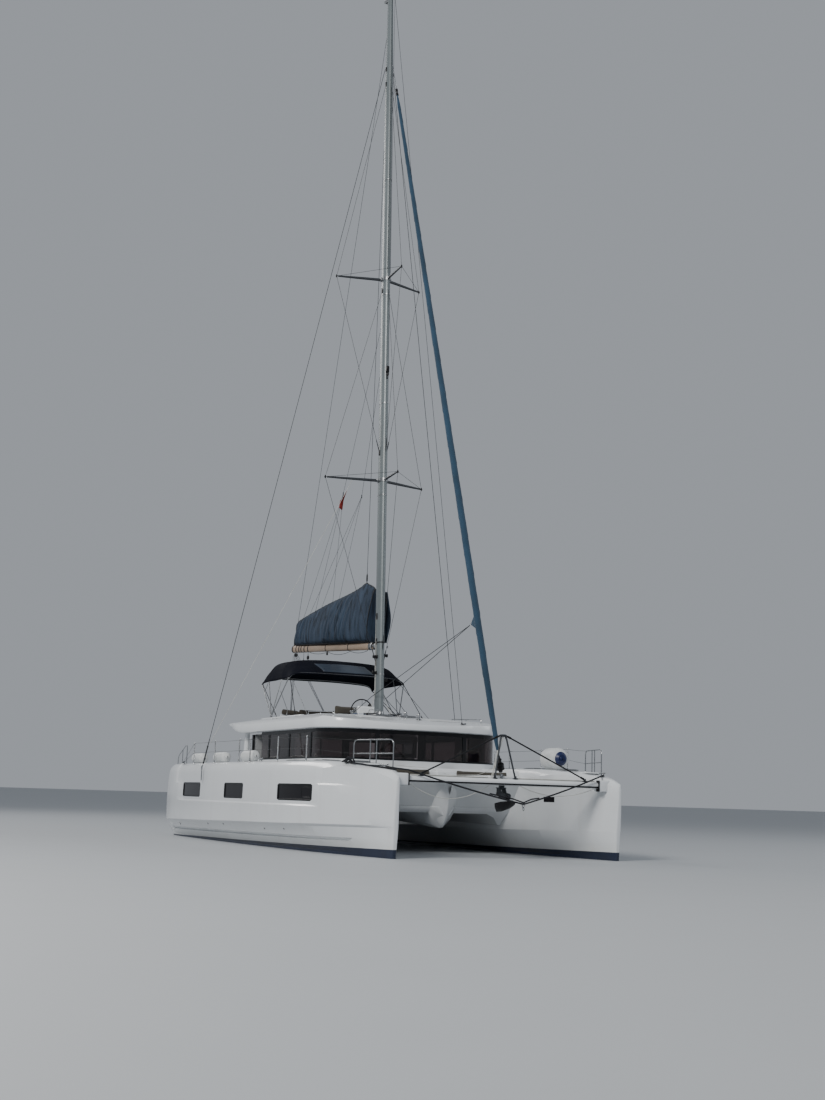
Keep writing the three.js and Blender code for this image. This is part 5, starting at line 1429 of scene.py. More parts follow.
class MakeRoof(bpy.types.Operator):
    """Builds the roof with its upswept wing, the flybridge well, the coamings and the pillars"""

    bl_idname = "catamaran.roof"
    bl_label = "Roof"

    def execute(self, context):
        half = roof_outline()
        outline = half + [(x, -y) for x, y in half[-2:0:-1]]
        bm = bmesh.new()
        rows = [[self.spot(p, share, roof_bottom) for p in outline] for share in (1.0, 0.6, 0.25, 0.08,
                                                                                  0.012)]
        for share, rise in ((0.003, 0.06), (0.0, 0.22), (0.004, 0.86)):
            rows.append([self.spot(p, share, lambda x, y: self.lip(x, y, rise)) for p in outline])
        rows += [[self.spot(p, share, roof_top) for p in outline] for share in (0.012, 0.028, 0.055)]
        rows += [[self.towards_rim(p, share) for p in outline] for share in (0.12, 0.25, 0.4, 0.6, 0.8, 0.93,
                                                                             0.985)]
        rows.append([self.well_spot(p, 0.0, -0.006) for p in outline])
        for inset, z in ((0.012, 3.40), (0.014, 3.18), (0.02, 3.15), (0.045, FLY_FLOOR_Z)):
            rows.append([(*self.well_spot(p, inset, 0.0)[:2], z) for p in outline])
        rows.append([(min(max(x, -3.6), -1.6), 0.0, FLY_FLOOR_Z) for x, y in outline])
        skin(bm, rows)
        bmesh.ops.remove_doubles(bm, verts=bm.verts, dist=2e-4)
        paint(bm, 0)
        for face in bm.faces:
            if all(abs(vert.co.z - FLY_FLOOR_Z) < 1e-4 for vert in face.verts):
                face.material_index = 1
        for side in (-1, 1):
            y = side * 2.36
            block(bm, -3.6, -0.56, side * 1.94, side * 2.08, 3.30, COAMING_TOP, 0.03, 3)
            rod(bm, (-3.96, y, 2.15), (-3.90, y, 3.10), 0.085, 0.068, 24)
            turned(bm, [(0.09, 2.135), (0.13, 2.140), (0.12, 2.165), (0.088, 2.18)], (-3.96, y, 0), sides=24)
        paint(bm, 0)
        piece("roof", bm, "gelcoat nonskid", replaces=["hardtop"], smooth=26)
        self.roof_gear()
        return {"FINISHED"}

    def lip(self, x, y, share):
        """A height on the roof's edge, from its underside at 0 to its top at 1."""
        return mix(roof_bottom(x, y), min(line_at(ROOF_TOP, x), line_at(ROOF_SECTION, abs(y))), share)

    def spot(self, point, share, height):
        """A plan point drawn in towards the roof's middle line, at the height of the surface there."""
        x, y = point
        centre = min(max(x, -3.6), 1.5)
        x, y = mix(x, centre, share), mix(y, 0, share)
        return x, y, height(x, y)

    def well_spot(self, point, inset, lift):
        """The place on the well's rounded rim that faces a point of the roof's edge."""
        x, y = min(max(point[0], -4.52), -0.74), min(max(point[1], -1.77), 1.77)
        away = Vector((point[0] - x, point[1] - y)).normalized()
        reach = WELL_CORNER - inset
        x, y = x + away.x * reach, y + away.y * reach
        return x, y, roof_top(x, y) + lift

    def towards_rim(self, point, share):
        edge, rim = self.spot(point, 0.055, roof_top), self.well_spot(point, 0.0, 0.0)
        x, y = mix(edge[0], rim[0], share), mix(edge[1], rim[1], share)
        return x, y, roof_top(x, y)

    def roof_gear(self):
        """Non-skid panels, hatches, handrails, winches and organisers."""
        bm = bmesh.new()
        for y0, y1 in ((-1.45, -0.55), (0.55, 1.45)):
            section = ((y0, 0.0), (y0, 0.004), (mix(y0, y1, 0.5), 0.004), (y1, 0.004), (y1, 0.0))
            skin(bm, [[(x, y, roof_top(x, y) + h) for y, h in section]
                      for x in (mix(0.55, 2.05, k / 6) for k in range(7))], closed=False)
        paint(bm, 0)
        for y in (-0.36, 0.36):
            z = roof_top(0.9, y)
            block(bm, 0.62, 1.14, y - 0.25, y + 0.25, z - 0.01, z + 0.035, 0.02, 3)
        paint(bm, 1)
        for y in (-0.36, 0.36):
            z = roof_top(0.9, y)
            block(bm, 0.66, 1.10, y - 0.21, y + 0.21, z + 0.03, z + 0.042, 0.006, 2)
        paint(bm, 2)
        piece("roof_panels", bm, "nonskid alloy port_glass")

        bm = bmesh.new()
        x0, x1 = 0.2, 1.9
        middle = (x0 + x1) / 2
        for y in (-2.16, 2.16):
            front = roof_top(x1, y)
            rail = bent([(x0, y, roof_top(x0, y)), (x0, y, roof_top(middle, y) + 0.09), (x1, y, front + 0.09),
                         (x1, y, front)], 0.07)
            pipe(bm, rail, 0.011, 8)
            for x in (x0, middle, x1):
                base = roof_top(x, y)
                rod(bm, (x, y, base - 0.01), (x, y, base + 0.008), 0.028, 0.024, 12)
            rod(bm, (middle, y, roof_top(middle, y)), (middle, y, (rail[5].z + rail[6].z) / 2), 0.009,
                sides=8)
        grip = [(0.55, -0.55, 3.46), (0.55, -0.55, 3.62), (1.25, -0.48, 3.58), (1.25, -0.48, 3.41)]
        pipe(bm, bent(grip, 0.08), 0.011, 8)
        piece("roof_rails", bm, "steel")

        bm = bmesh.new()
        for x, y in ((1.47, 0.10), (1.96, 0.25), (-0.36, -0.62), (-0.36, 0.80)):
            self.winch(bm, x, y, roof_top(x, y) - 0.004, 0.062 if x > 0 else 0.085)
        paint(bm, 0)
        for y in MAST_LINE_ROWS:
            z = roof_top(0.30, y)
            block(bm, 0.23, 0.39, y - 0.02, y + 0.02, z - 0.003, z + 0.055, 0.008)
            block(bm, 0.20, 0.32, y - 0.012, y + 0.012, z + 0.05, z + 0.068, 0.004)
        for y in (-0.25, 0.25):
            block(bm, 0.05, 0.16, y - 0.16, y + 0.16, 3.485, 3.515, 0.006)
        paint(bm, 1)
        piece("roof_winches", bm, "steel black", smooth=40)

    def winch(self, bm, x, y, z, size):
        profile = [(0.0, 0.0), (1.25, 0.0), (1.25, 0.012), (1.1, 0.02), (0.78, 0.035), (0.70, 0.08),
                   (0.82, 0.115),
                   (1.02, 0.125), (1.02, 0.14), (0.9, 0.15), (0.45, 0.155), (0.45, 0.165), (0.0, 0.165)]
        turned(bm, [(size * radius, height) for radius, height in profile], (x, y, z), sides=28)


# Deck mouldings and everything that stands on them
def deck_z(x, y):
    """Height of the hull's deck at a place."""
    _, _, out, inn, _, _, deck, _ = table_at(HULL_TABLE, x)
    half = (out - inn) / 2
    away = min(abs(abs(y) - (out + inn) / 2) / max(half - 0.2, 0.05), 1.0)
    return deck + 0.02 * half * (1 - away**2)


def free_rope(name, points, radius, finish, sides=8, body="root"):
    """A free rope along its points."""
    bm = bmesh.new()
    pipe(bm, points, radius, sides)
    item = piece(name, bm, finish, body=body, smooth=60)


def cleat(bm, x, y, z, turn, size):
    """A mooring cleat: two feet and a bar with tapered horns."""
    place = Matrix.Translation((x, y, z)) @ Matrix.Rotation(turn, 4,
                                                            "Z") @ Matrix.Diagonal((size, size, size, 1))
    foot = scaled([(0.0, 0.0), (0.034, 0.0), (0.03, 0.006), (0.016, 0.014), (0.013, 0.05)], size)
    for along in (-0.045, 0.045):
        turned(bm, foot, place @ Vector((along, 0, 0)), sides=14)
    bar = [place @ Vector((t * 0.15, 0, 0.052 + 0.012 * t * t)) for t in (-1, -0.96, -0.8, -0.4, 0, 0.4, 0.8,
                                                                          0.96, 1)]
    pipe(bm, bar, [size * r for r in (0.004, 0.008, 0.010, 0.013, 0.015, 0.013, 0.010, 0.008, 0.004)], 10)


class MakeDeck(bpy.types.Operator):
    """Builds the deck mouldings, the nacelle, the cockpits and the hatch lids"""

    bl_idname = "catamaran.deck"
    bl_label = "Deck"

    def execute(self, context):
        for name in ("bridgedeck", "foredeck", "deck_side_starboard", "deck_side_port", "cockpit_bench"):
            bm = copy_of(name)
            bm.normal_update()
            for face in bm.faces:
                level = face.normal.z > 0.95 and face.calc_center_median().z > 1.1
                face.material_index = 1 if level and face.calc_area() > 0.1 else 0
            rounded(piece(f"{name}_moulding", bm, "gelcoat nonskid", replaces=[name],
                          smooth=30,
                          tidy=False), 0.022, 3)
        self.nacelle()
        self.cockpit_floor()
        for name, side in SIDES:
            self.lid(name, side)
        self.hatches()
        self.front_step()
        return {"FINISHED"}

    def nacelle(self):
        """The smooth keel-like bulge under the middle of the bridgedeck; it runs out up the front wall."""
        table = [(-1.95, 0.962, 0.60, 1.0), (-1.8, 0.925, 0.765, 1.0), (-1.2, 0.88, 0.765, 1.0),
                 (0.5, 0.782, 0.71, 1.0),
                 (1.8, 0.70, 0.66, 1.0), (3.0, 0.632, 0.60, 1.05), (3.45, 0.605, 0.55, 1.15),
                 (3.80, 0.598, 0.48, 1.32),
                 (3.98, 0.66, 0.42, 1.45), (4.10, 0.80, 0.34, 1.55), (4.19, 1.00, 0.25, 1.62),
                 (4.25, 1.20, 0.16, 1.66),
                 (4.28, 1.42, 0.06, 1.69)]
        bm = bmesh.new()
        rows = []
        steps = 44
        for k in range(steps + 1):
            x = mix(table[0][0], table[-1][0], (k / steps) ** 0.7)
            low, half, top = table_at(table, x)
            rows.append([(x, half * t, mix(low, top, abs(t) ** 1.25 * 0.82 + abs(t) ** 5 * 0.18))
                         for t in (n / 12 for n in range(-12, 13))])
        skin(bm, rows, closed=False)
        piece("nacelle", bm, "gelcoat", smooth=50)

    def cockpit_floor(self):
        """Teak on the soles of the aft and the forward cockpit."""
        bm = bmesh.new()
        block(bm, -5.50, -3.10, -1.72, 1.72, SOLE_Z - 0.002, SOLE_Z + 0.010, 0.006)
        block(bm, 3.06, 4.04, -1.44, 1.44, 1.418, 1.430, 0.006)
        for side in (-1, 1):
            block(bm, -6.24, -5.60, side * 1.12, side * 1.62, SOLE_Z - 0.002, SOLE_Z + 0.010, 0.006)
        piece("teak_treads", bm, "teak")

    def lid(self, name, side):
        """An engine hatch's lid with its non-skid, hinges and lifting ring."""
        x0, x1, y0, y1 = HATCH
        bm = bmesh.new()
        block(bm, x0 + 0.006, x1 - 0.006, side * (y0 + 0.006), side * (y1 - 0.006), 2.072, 2.122, 0.018, 3)
        paint(bm, 0)
        block(bm, x0 + 0.08, x1 - 0.08, side * (y0 + 0.08), side * (y1 - 0.08), 2.112, 2.125, 0.004)
        paint(bm, 1)
        for y in (y0 + 0.2, y1 - 0.2):
            block(bm, x1 - 0.075, x1 - 0.01, side * y - 0.05, side * y + 0.05, 2.113, 2.1236, 0.001)
            rod(bm, (x1 - 0.012, side * y - 0.05, 2.119), (x1 - 0.012, side * y + 0.05, 2.119), 0.005,
                sides=10)
        turned(bm, [(0.0, 0.0), (0.034, 0.0), (0.036, 0.006), (0.0, 0.008)],
               (x0 + 0.05, side * HULL_CENTRE, 2.1215), sides=20)
        paint(bm, 2)
        piece(f"engine_lid_{name}", bm, "gelcoat nonskid steel",
              body=f"engine_hatch_{name}", replaces=[f"engine_hatch_{name}"])

    def hatches(self):
        """Flush opening hatches in the hull decks and the foredeck, and the lockers' lids."""
        bm = bmesh.new()
        places = [(x, side * y, half) for side in (-1, 1) for x, y, half in
                  ((-3.45, 3.05, 0.25), (-0.9, 3.15, 0.25), (1.9, 3.05, 0.25), (3.5, 2.95, 0.25),
                   (5.1, 2.85, 0.22))]
        places += [(2.72, -0.75, 0.25), (2.72, 0.75, 0.25)]
        for index, frame_width, low, high, round_by, segments in ((0, 0.0, -0.01, 0.022, 0.014, 3),
                                                                  (1, 0.04, 0.01, 0.028, 0.005, 2)):
            for x, y, half in places:
                z = deck_z(x, y) if abs(y) > 1.6 else 2.05
                reach = half - frame_width
                block(bm, x - reach, x + reach, y - reach, y + reach, z + low, z + high, round_by, segments)
            paint(bm, index)
        z = deck_z(5.95, HULL_CENTRE)
        for side in (-1, 1):
            block(bm, 5.62, 6.32, side * 2.67, side * 3.12, z - 0.02, z + 0.012, 0.01)
        paint(bm, 2)
        piece("deck_hatches", bm, "alloy port_glass gelcoat")

        bm = bmesh.new()
        for side in (-1, 1):
            for x, y, sunk, turn, size in ((6.62, 2.90, 0.003, -0.15, 1.25), (0.95, 3.72, 0.004, 0, 1.15),
                                           (-5.35, 3.78, 0.02, 0, 1.15), (-6.40, 2.20, 0.01, 0, 1.1)):
                cleat(bm, x, side * y, deck_z(x, y) - sunk, side * turn, size)
        piece("cleats", bm, "steel")

    def front_step(self):
        """The white step between foredeck and walkway."""
        bm = bmesh.new()
        block(bm, 4.27, 4.74, -0.60, -0.06, 1.795, 1.985, 0.035, 4)
        paint(bm, 0)
        block(bm, 4.33, 4.70, -0.56, -0.10, 1.978, 1.989, 0.006)
        paint(bm, 1)
        piece("front_step", bm, "gelcoat nonskid")


class MakeDeckRails(bpy.types.Operator):
    """Builds pulpits, stanchions and lifelines"""

    bl_idname = "catamaran.deck_rails"
    bl_label = "Deck rails"

    def execute(self, context):
        for name, side in SIDES:
            self.pulpit(name, side)
        self.stanchions()
        return {"FINISHED"}

    def pulpit(self, name, side):
        """A seat-high rail on the bow; its four legs stand at shares of its length."""
        def at(share, z):
            return Vector((mix(5.49, 6.78, share), side * mix(3.15, 2.76, share), z))

        def foot(share):
            place = at(share, 0)
            return deck_z(place.x, place.y)

        bm = bmesh.new()
        pipe(bm, bent([at(0, foot(0)), at(0, 2.59), at(1, 2.59), at(1, foot(1))], 0.13, 7), 0.0135, 12)
        pipe(bm, [at(0, 2.28), at(1, 2.28)], 0.0125, 12)
        for share in (0.42, 0.58):
            pipe(bm, [at(share, foot(share)), at(share, 2.59)], 0.0125, 12)
        for share in (0, 0.42, 0.58, 1):
            turned(bm, [(0.0, 0.0), (0.040, 0.0), (0.038, 0.006), (0.019, 0.010), (0.017, 0.04), (0.0, 0.04)],
                   at(share, foot(share) - 0.002), sides=18)
        piece(f"pulpit_tubes_{name}", bm, "steel", replaces=[f"pulpit_{name}"])

    def stanchions(self):
        """The posts on both side decks, aft and ahead of the gate, with two lifelines between them."""
        bm = bmesh.new()
        aft, front = ((-4.20, 3.84), (-2.30, 3.86), (-0.32, 3.86)), ((0.52, 3.86), (2.34, 3.80), (3.87, 3.66))
        post = [(0.0, 0.0), (0.040, 0.0), (0.038, 0.008), (0.020, 0.014), (0.018, 0.09), (0.0145, 0.10),
                (0.0145, 0.585),
                (0.010, 0.60), (0.0, 0.603)]
        for side in (-1, 1):
            for x, y in aft + front:
                turned(bm, post, (x, side * y, deck_z(x, y) - 0.012), sides=14)
        paint(bm, 0)
        guard = sizes().guard_wire / 2
        for side in (-1, 1):
            for z, pulpit_z in ((2.68, 2.59), (2.41, 2.28)):
                line = [Vector((x, side * y, z)) for x,
                        y in aft + front] + [Vector((5.49, side * 3.15, pulpit_z))]
                for start, end in zip(line, line[1:]):
                    pipe(bm, hanging(start, end, 0.008, 6), guard, 6)
                for end in (line[2], line[3], line[-1]):
                    pipe(bm, [end + Vector((0.03, 0, 0)), end + Vector((0.16, 0, 0))], 0.0065, 8)
                # The stern end runs down to the deck
                pipe(bm, [line[0], Vector((-5.35, side * 3.80, deck_z(-5.35, 3.8) + 0.02))], guard, 6)
        paint(bm, 1)
        piece("stanchions", bm, "steel wire")


class MakeBow(bpy.types.Operator):
    """Builds what lies between the bows: crossbeam, striker, walkway, nets and anchor"""

    bl_idname = "catamaran.bow"
    bl_label = "Bow gear"

    def execute(self, context):
        self.beam()
        self.striker()
        self.walkway()
        for name, side in SIDES:
            self.net(name, side)
        self.anchor()
        return {"FINISHED"}

    def beam(self):
        """The round tube between the bows, with the eyes that hold the nets."""
        bm = bmesh.new()
        x, z = 6.98, 1.73
        section = [(x + 0.073 * math.cos(a), z + 0.075 * math.sin(a)) for a in angles(32)]
        skin(bm, [[(px, y, pz) for px, pz in section] for y in (-2.6, -1.3, 0, 1.3, 2.6)], ends=True)
        for side in (-1, 1):
            block(bm, x - 0.125, x + 0.105, side * 2.503, side * 2.85, z - 0.145, z + 0.125, 0.03, 4)
        paint(bm, 0)
        # The dark track along the beam's lower front
        block(bm, x + 0.045, x + 0.072, -2.49, 2.49, z - 0.062, z - 0.022, 0.006)
        for side in (-1, 1):
            block(bm, x - 0.02, x + 0.118, side * 2.492, side * 2.504, z - 0.14, z + 0.12, 0.003)
        paint(bm, 1)
        for k in range(23):
            for side in (-1, 1):
                y = side * (0.42 + 0.088 * k)
                rod(bm, (x - 0.078, y, z + 0.02), (x - 0.060, y, z + 0.02), 0.010, sides=8)
        paint(bm, 2)
        piece("beam", bm, "gelcoat black steel", replaces=["crossbeam"])

    def striker(self):
        """The frame on the beam that takes up the forestay's pull, with its two struts and a strap."""
        bm = bmesh.new()
        top, floor = Vector((6.85, 0, 2.79)), 1.815
        for side in (-1, 1):
            pipe(bm, [(6.98, side * 0.27, floor), (6.872, side * 0.075, 2.74)], 0.021, 14)
            for y in (0.27, 2.16):
                block(bm, 6.935, 7.025, side * (y - 0.05), side * (y + 0.05), 1.8045, 1.828, 0.006)
                block(bm, 6.965, 6.995, side * (y - 0.03), side * (y + 0.03), 1.82, 1.875, 0.008)
        pipe(bm, bent([(6.872, -0.075, 2.72), (6.85, -0.07, 2.79), (6.85, 0.07, 2.79), (6.872, 0.075, 2.72)],
                      0.05),
             0.026, 14)
        block(bm, 6.80, 6.90, -0.055, 0.055, 2.765, 2.822, 0.01)
        paint(bm, 0)
        for side in (-1, 1):
            a, b = top + Vector((0, side * 0.065, 0.01)), Vector((6.98, side * 2.15, 1.86))
            pipe(bm, [a, b], 0.018, 10)
            for share in (0.03, 0.955):
                pipe(bm, [a.lerp(b, share), a.lerp(b, share + 0.035)], 0.026, 10)
        paint(bm, 1)
        # White strap from the apex to the beam
        for y, foot in ((-0.03, -0.36), (0.0, -0.33)):
            pipe(bm, [(6.86, y, 2.76), (6.90, mix(y, foot, 0.55), 2.24), (6.96, foot, 1.80)], 0.009, 8)
        paint(bm, 2)
        piece("striker_frame", bm, "spreader black white_rope", replaces=["striker"])

    def walkway(self):
        """The plank from the foredeck to the beam, with the anchor chain that lies along it."""
        bm = bmesh.new()
        block(bm, 4.303, 6.84, -0.33, 0.33, 1.79, 1.869, 0.02, 3)
        paint(bm, 0)
        block(bm, 4.78, 6.55, -0.26, 0.26, 1.864, 1.8715, 0.003)
        paint(bm, 1)
        # Pipe that the chain comes up
        turned(bm, [(0.0, 0.0), (0.085, 0.0), (0.085, 0.010), (0.055, 0.016), (0.0, 0.016)],
               (5.27, 0.0, 1.868), sides=28)
        paint(bm, 2)
        piece("walkway_plank", bm, "gelcoat nonskid alloy", replaces=["walkway"])
        bm = bmesh.new()
        for k in range(38):
            x, upright = 5.36 + 0.042 * k, k % 2
            link = [Vector((x + 0.026 * math.cos(a), 0.013 * math.sin(a) * (1 - upright),
                            1.879 + 0.013 * math.sin(a) * upright)) for a in angles(10)]
            pipe(bm, link, 0.0055, 6, closed=True)
        piece("anchor_chain", bm, "steel")

    def net(self, name, side):
        """A net of crossed cords in a stitched border, laced to hull, beam, walkway and deck."""
        pitch = sizes().net_mesh
        x0, x1, inner = 4.345, 6.85, 0.375
        clear = 0.55 if side < 0 else 0.0

        def outer(x):
            """The net's edge beside the hull's inner face."""
            return table_at(HULL_TABLE, x)[3] - 0.055

        def sag(x, y):
            across = (abs(y) - inner) / (outer(x) - inner)
            along = (x - x0) / (x1 - x0)
            return 1.829 - 0.045 * max(16 * across * (1 - across) * along * (1 - along), 0)

        def near(x):
            return clear if x < 4.76 and clear else inner

        bm = bmesh.new()
        count = int((x1 - x0) / pitch)
        for k in range(1, count):
            x = x0 + pitch * k
            ys = [mix(near(x), outer(x), s / 5) for s in range(6)]
            pipe(bm, [(x, side * y, sag(x, y)) for y in ys], 0.0024, 4)
        k = 1
        while inner + pitch * k < outer(x1):
            y = inner + pitch * k
            start = 4.78 if clear and y < clear else x0
            xs = [mix(start, x1, s / 6) for s in range(7)]
            xs = [x for x in xs if outer(x) > y]
            if len(xs) > 1:
                if xs[0] > start:
                    xs.insert(0, max(x for x in (mix(start, x1, s / 60) for s in range(61)) if outer(x) <= y))
                pipe(bm, [(x, side * y, sag(x, y)) for x in xs], 0.0024, 4)
            k += 1
        paint(bm, 0)
        edge = [(x, side * outer(x), 1.829) for x in (mix(x0, x1, s / 16) for s in range(17))]
        loop = edge + [(x1, side * inner, 1.829), (x0 + 0.44, side * inner, 1.829)]
        if clear:
            loop += [(4.78, side * inner, 1.829), (4.78, side * clear, 1.829), (x0, side * clear, 1.829)]
        else:
            loop += [(x0, side * inner, 1.829)]
        pipe(bm, loop, 0.011, 8, closed=True)
        paint(bm, 1)
        lacing = []
        for k in range(60):
            x = mix(x0 + 0.02, x1 - 0.02, k / 59)
            reach = 0.047 if k % 2 else -0.010
            lacing.append((x, side * (outer(x) + reach), 1.830))
        pipe(bm, lacing, 0.0028, 5)
        for x_in, x_out, low, high in ((x1 - 0.010, x1 + 0.058, inner, outer(x1) - 0.02),
                                       (x0 + 0.010, x0 - 0.040, clear or inner, outer(x0) - 0.02)):
            # The front lacing reaches down round the beam
            low_z = 1.762 if x_in > 5 else 1.832
            lacing = [(x_in if k % 2 else x_out, side * mix(low, high, k / 46), 1.832 if k % 2 else low_z)
                      for k in range(47)]
            pipe(bm, lacing, 0.0028, 5)
        lacing = [(mix(4.82, x1 - 0.02, k / 44), side * (inner + 0.01 if k % 2 else 0.332),
                   1.831) for k in range(45)]
        pipe(bm, lacing, 0.0028, 5)
        paint(bm, 0)
        piece(f"net_{name}", bm, "net_cord white_rope", replaces=[f"trampoline_{name}"],
              smooth=60)

    def anchor(self):
        """The anchor on its roller, between two cheeks under the beam."""
        bm = bmesh.new()
        cheek = [(6.72, 1.60), (6.72, 1.50), (6.86, 1.36), (7.06, 1.34), (7.125, 1.375), (7.13, 1.44),
                 (7.08, 1.475),
                 (6.94, 1.49), (6.88, 1.60)]
        for middle in (-0.066, 0.066):
            skin(bm, [[(x, y, z) for x, z in cheek] for y in (middle - 0.007, middle + 0.007)], ends=True)
        block(bm, 6.78, 6.86, -0.06, 0.06, 1.56, 1.70, 0.008)
        block(bm, 6.70, 6.90, -0.085, 0.085, 1.59, 1.61, 0.005)
        turned(bm, [(0.0, -0.055), (0.045, -0.055), (0.045, -0.045), (0.028, -0.02), (0.028, 0.02),
                    (0.045, 0.045),
                    (0.045, 0.055), (0.0, 0.055)], (7.08, 0, 1.40), (0, 1, 0), 24)
        paint(bm, 0)
        shank = [(6.60, 1.452), (6.62, 1.50), (6.80, 1.475), (7.05, 1.45), (7.19, 1.40), (7.20, 1.355),
                 (7.16, 1.335),
                 (7.0, 1.385), (6.78, 1.415)]
        skin(bm, [[(x, y, z) for x, z in shank] for y in (-0.019, 0.019)], ends=True)
        # The flukes: a bent plate with a weighted toe
        rows = []
        for x, half, low, edge in ((7.21, 0.040, 1.31, 1.31), (7.12, 0.20, 1.19, 1.29),
                                   (6.98, 0.265, 1.125, 1.25),
                                   (6.84, 0.18, 1.095, 1.18), (6.64, 0.022, 1.085, 1.085)):
            rows.append([(x, -half, edge), (x, -half * 0.5, mix(low, edge, 0.35)), (x, 0, low),
                         (x, half * 0.5, mix(low, edge, 0.35)), (x, half, edge)])
        skin(bm, [row + [(x, y, z - 0.028) for x, y, z in row[::-1]] for row in rows], ends=True)
        paint(bm, 1)
        piece("anchor_and_roller", bm, "spreader black", replaces=["anchor"])


class MakeDeckLoad(bpy.types.Operator):
    """Builds what lies on deck: fenders, ropes, cockpit table"""

    bl_idname = "catamaran.deck_load"
    bl_label = "Fenders and ropes"

    def execute(self, context):
        for node, x, y, radius, length in (("fender_starboard_1", -4.28, -3.64, 0.14, 0.95),
                                           ("fender_starboard_2", -2.28, -3.66, 0.14, 0.95),
                                           ("fender_starboard_3", -0.02, -3.66, 0.145, 0.95),
                                           ("fender_port_large", 4.27, 2.99, 0.275, 0.86)):
            self.fender(node, x, y, radius, length)
        self.table()
        self.ropes()
        return {"FINISHED"}

    def fender(self, node, x, y, radius, length):
        """A fender on its side: a tube with rounded ends, tapering to an eye at each tip."""
        large = radius > 0.2
        z = deck_z(x, y) + radius - 0.006
        end = length / 2
        straight = end - 0.06 - 0.62 * radius
        bm = bmesh.new()
        body = [(radius * math.sin(a), straight + 0.62 * radius * math.cos(a))
                for a in (math.pi / 2 * k / 9 for k in range(9, 0, -1))]
        profile = [(r, -h) for r, h in body[::-1]] + [(radius, -0.5 * straight),
                                                      (radius, 0.5 * straight)] + body
        cap = 0.62 * radius if large else 0.30 * radius
        turned(bm, [(r, h) for r, h in profile if r > cap * 0.98], (x, y, z), (1, 0, 0), 36)
        paint(bm, 0)
        _, rim, tip = min((abs(r - cap), r, h) for r, h in body if r > cap * 0.98)
        for way in (-1, 1):
            points = [(rim, way * tip), (rim * 0.98, way * (tip + 0.004)),
                      (rim * 0.6, way * (tip + 0.24 * radius)),
                      (0.055 if large else 0.034, way * (end - 0.045)), (0.034, way * (end - 0.02)),
                      (0.030, way * end),
                      (0.0, way * end)]
            points = [p for i, p in enumerate(points) if i < 2 or p[0] < points[i - 1][0] - 1e-5 or i > 4]
            turned(bm, points, (x, y, z), (1, 0, 0), 36)
        paint(bm, 1)
        for way in (-1, 1):
            eye = [Vector((x + way * (end + 0.002) + 0.022 * math.cos(a) * way, y, z + 0.022 * math.sin(a)))
                   for a in angles(14)]
            pipe(bm, eye, 0.008, 8, closed=True)
        paint(bm, 2)
        bmesh.ops.remove_doubles(bm, verts=bm.verts, dist=1e-4)
        ends = "fender_end" if large else "fender_skin"
        piece(f"{node}_skin", bm, f"fender_skin {ends} black", replaces=[node], smooth=50)

    def table(self):
        """The cockpit table on its pillar; a dark joint divides its two leaves."""
        bm = bmesh.new()
        block(bm, -4.90, -4.00, 0.15, 1.25, 1.802, 1.839, 0.012, 3)
        block(bm, -4.46, -4.44, 0.15, 1.25, 1.8385, 1.8398)
        paint(bm, 0)
        turned(bm,
               [(0.0, 1.1205), (0.17, 1.1205), (0.165, 1.132), (0.06, 1.145), (0.045, 1.19), (0.045, 1.74),
                    (0.06, 1.775), (0.16, 1.79), (0.16, 1.802), (0.0, 1.802)], (-4.45, 0.70, 0), sides=32)
        paint(bm, 1)
        piece("table", bm, "teak alloy", replaces=["cockpit_table"])

    def ropes(self):
        """The bridle, the lines below the beam and the dock line on the starboard bow."""
        low = Vector((7.40, 0.25, 1.245))
        eye = bmesh.new()
        for name, side in SIDES:
            cleat_top = Vector((6.66, side * 2.90, deck_z(6.66, 2.9) + 0.026))
            edge = Vector((7.06, side * 2.50, 1.925))
            points = hanging(cleat_top, edge, 0.0, 4) + hanging(edge, low, 0.03, 16)[1:]
            free_rope(f"bridle_{name}", points, 0.019, "dark_rope")
            # The eye splice doubles the rope near the thimble
            pipe(eye, [edge.lerp(low, 0.70 if side < 0 else 0.80) + Vector((0.0, 0.0, 0.012)),
                       edge.lerp(low, 0.9) + Vector((0.0, 0.0, 0.05)),
                       low + Vector((0.01, -side * 0.02, 0.03))], 0.016, 8)
        for name, start, end, drop in (("starboard", -2.46, -0.40, 0.33), ("port", 0.42, 2.44, 0.20)):
            points = hanging((6.955, start, 1.652), (6.955, end, 1.652), drop, 22)
            free_rope(f"net_line_{name}", points, 0.007, "white_rope")
        paint(eye, 0)
        ring = [low + Vector((0.0, 0.032 * math.cos(a), -0.03 + 0.05 * math.sin(a))) for a in angles(20)]
        pipe(eye, ring, 0.012, 8, closed=True)
        bow = [low + Vector((0.03 * math.cos(a), 0.0, -0.10 + 0.045 * math.sin(a))) for a in angles(20)]
        pipe(eye, bow, 0.009, 8, closed=True)
        paint(eye, 1)
        piece("bridle_thimble", eye, "dark_rope steel", smooth=60)
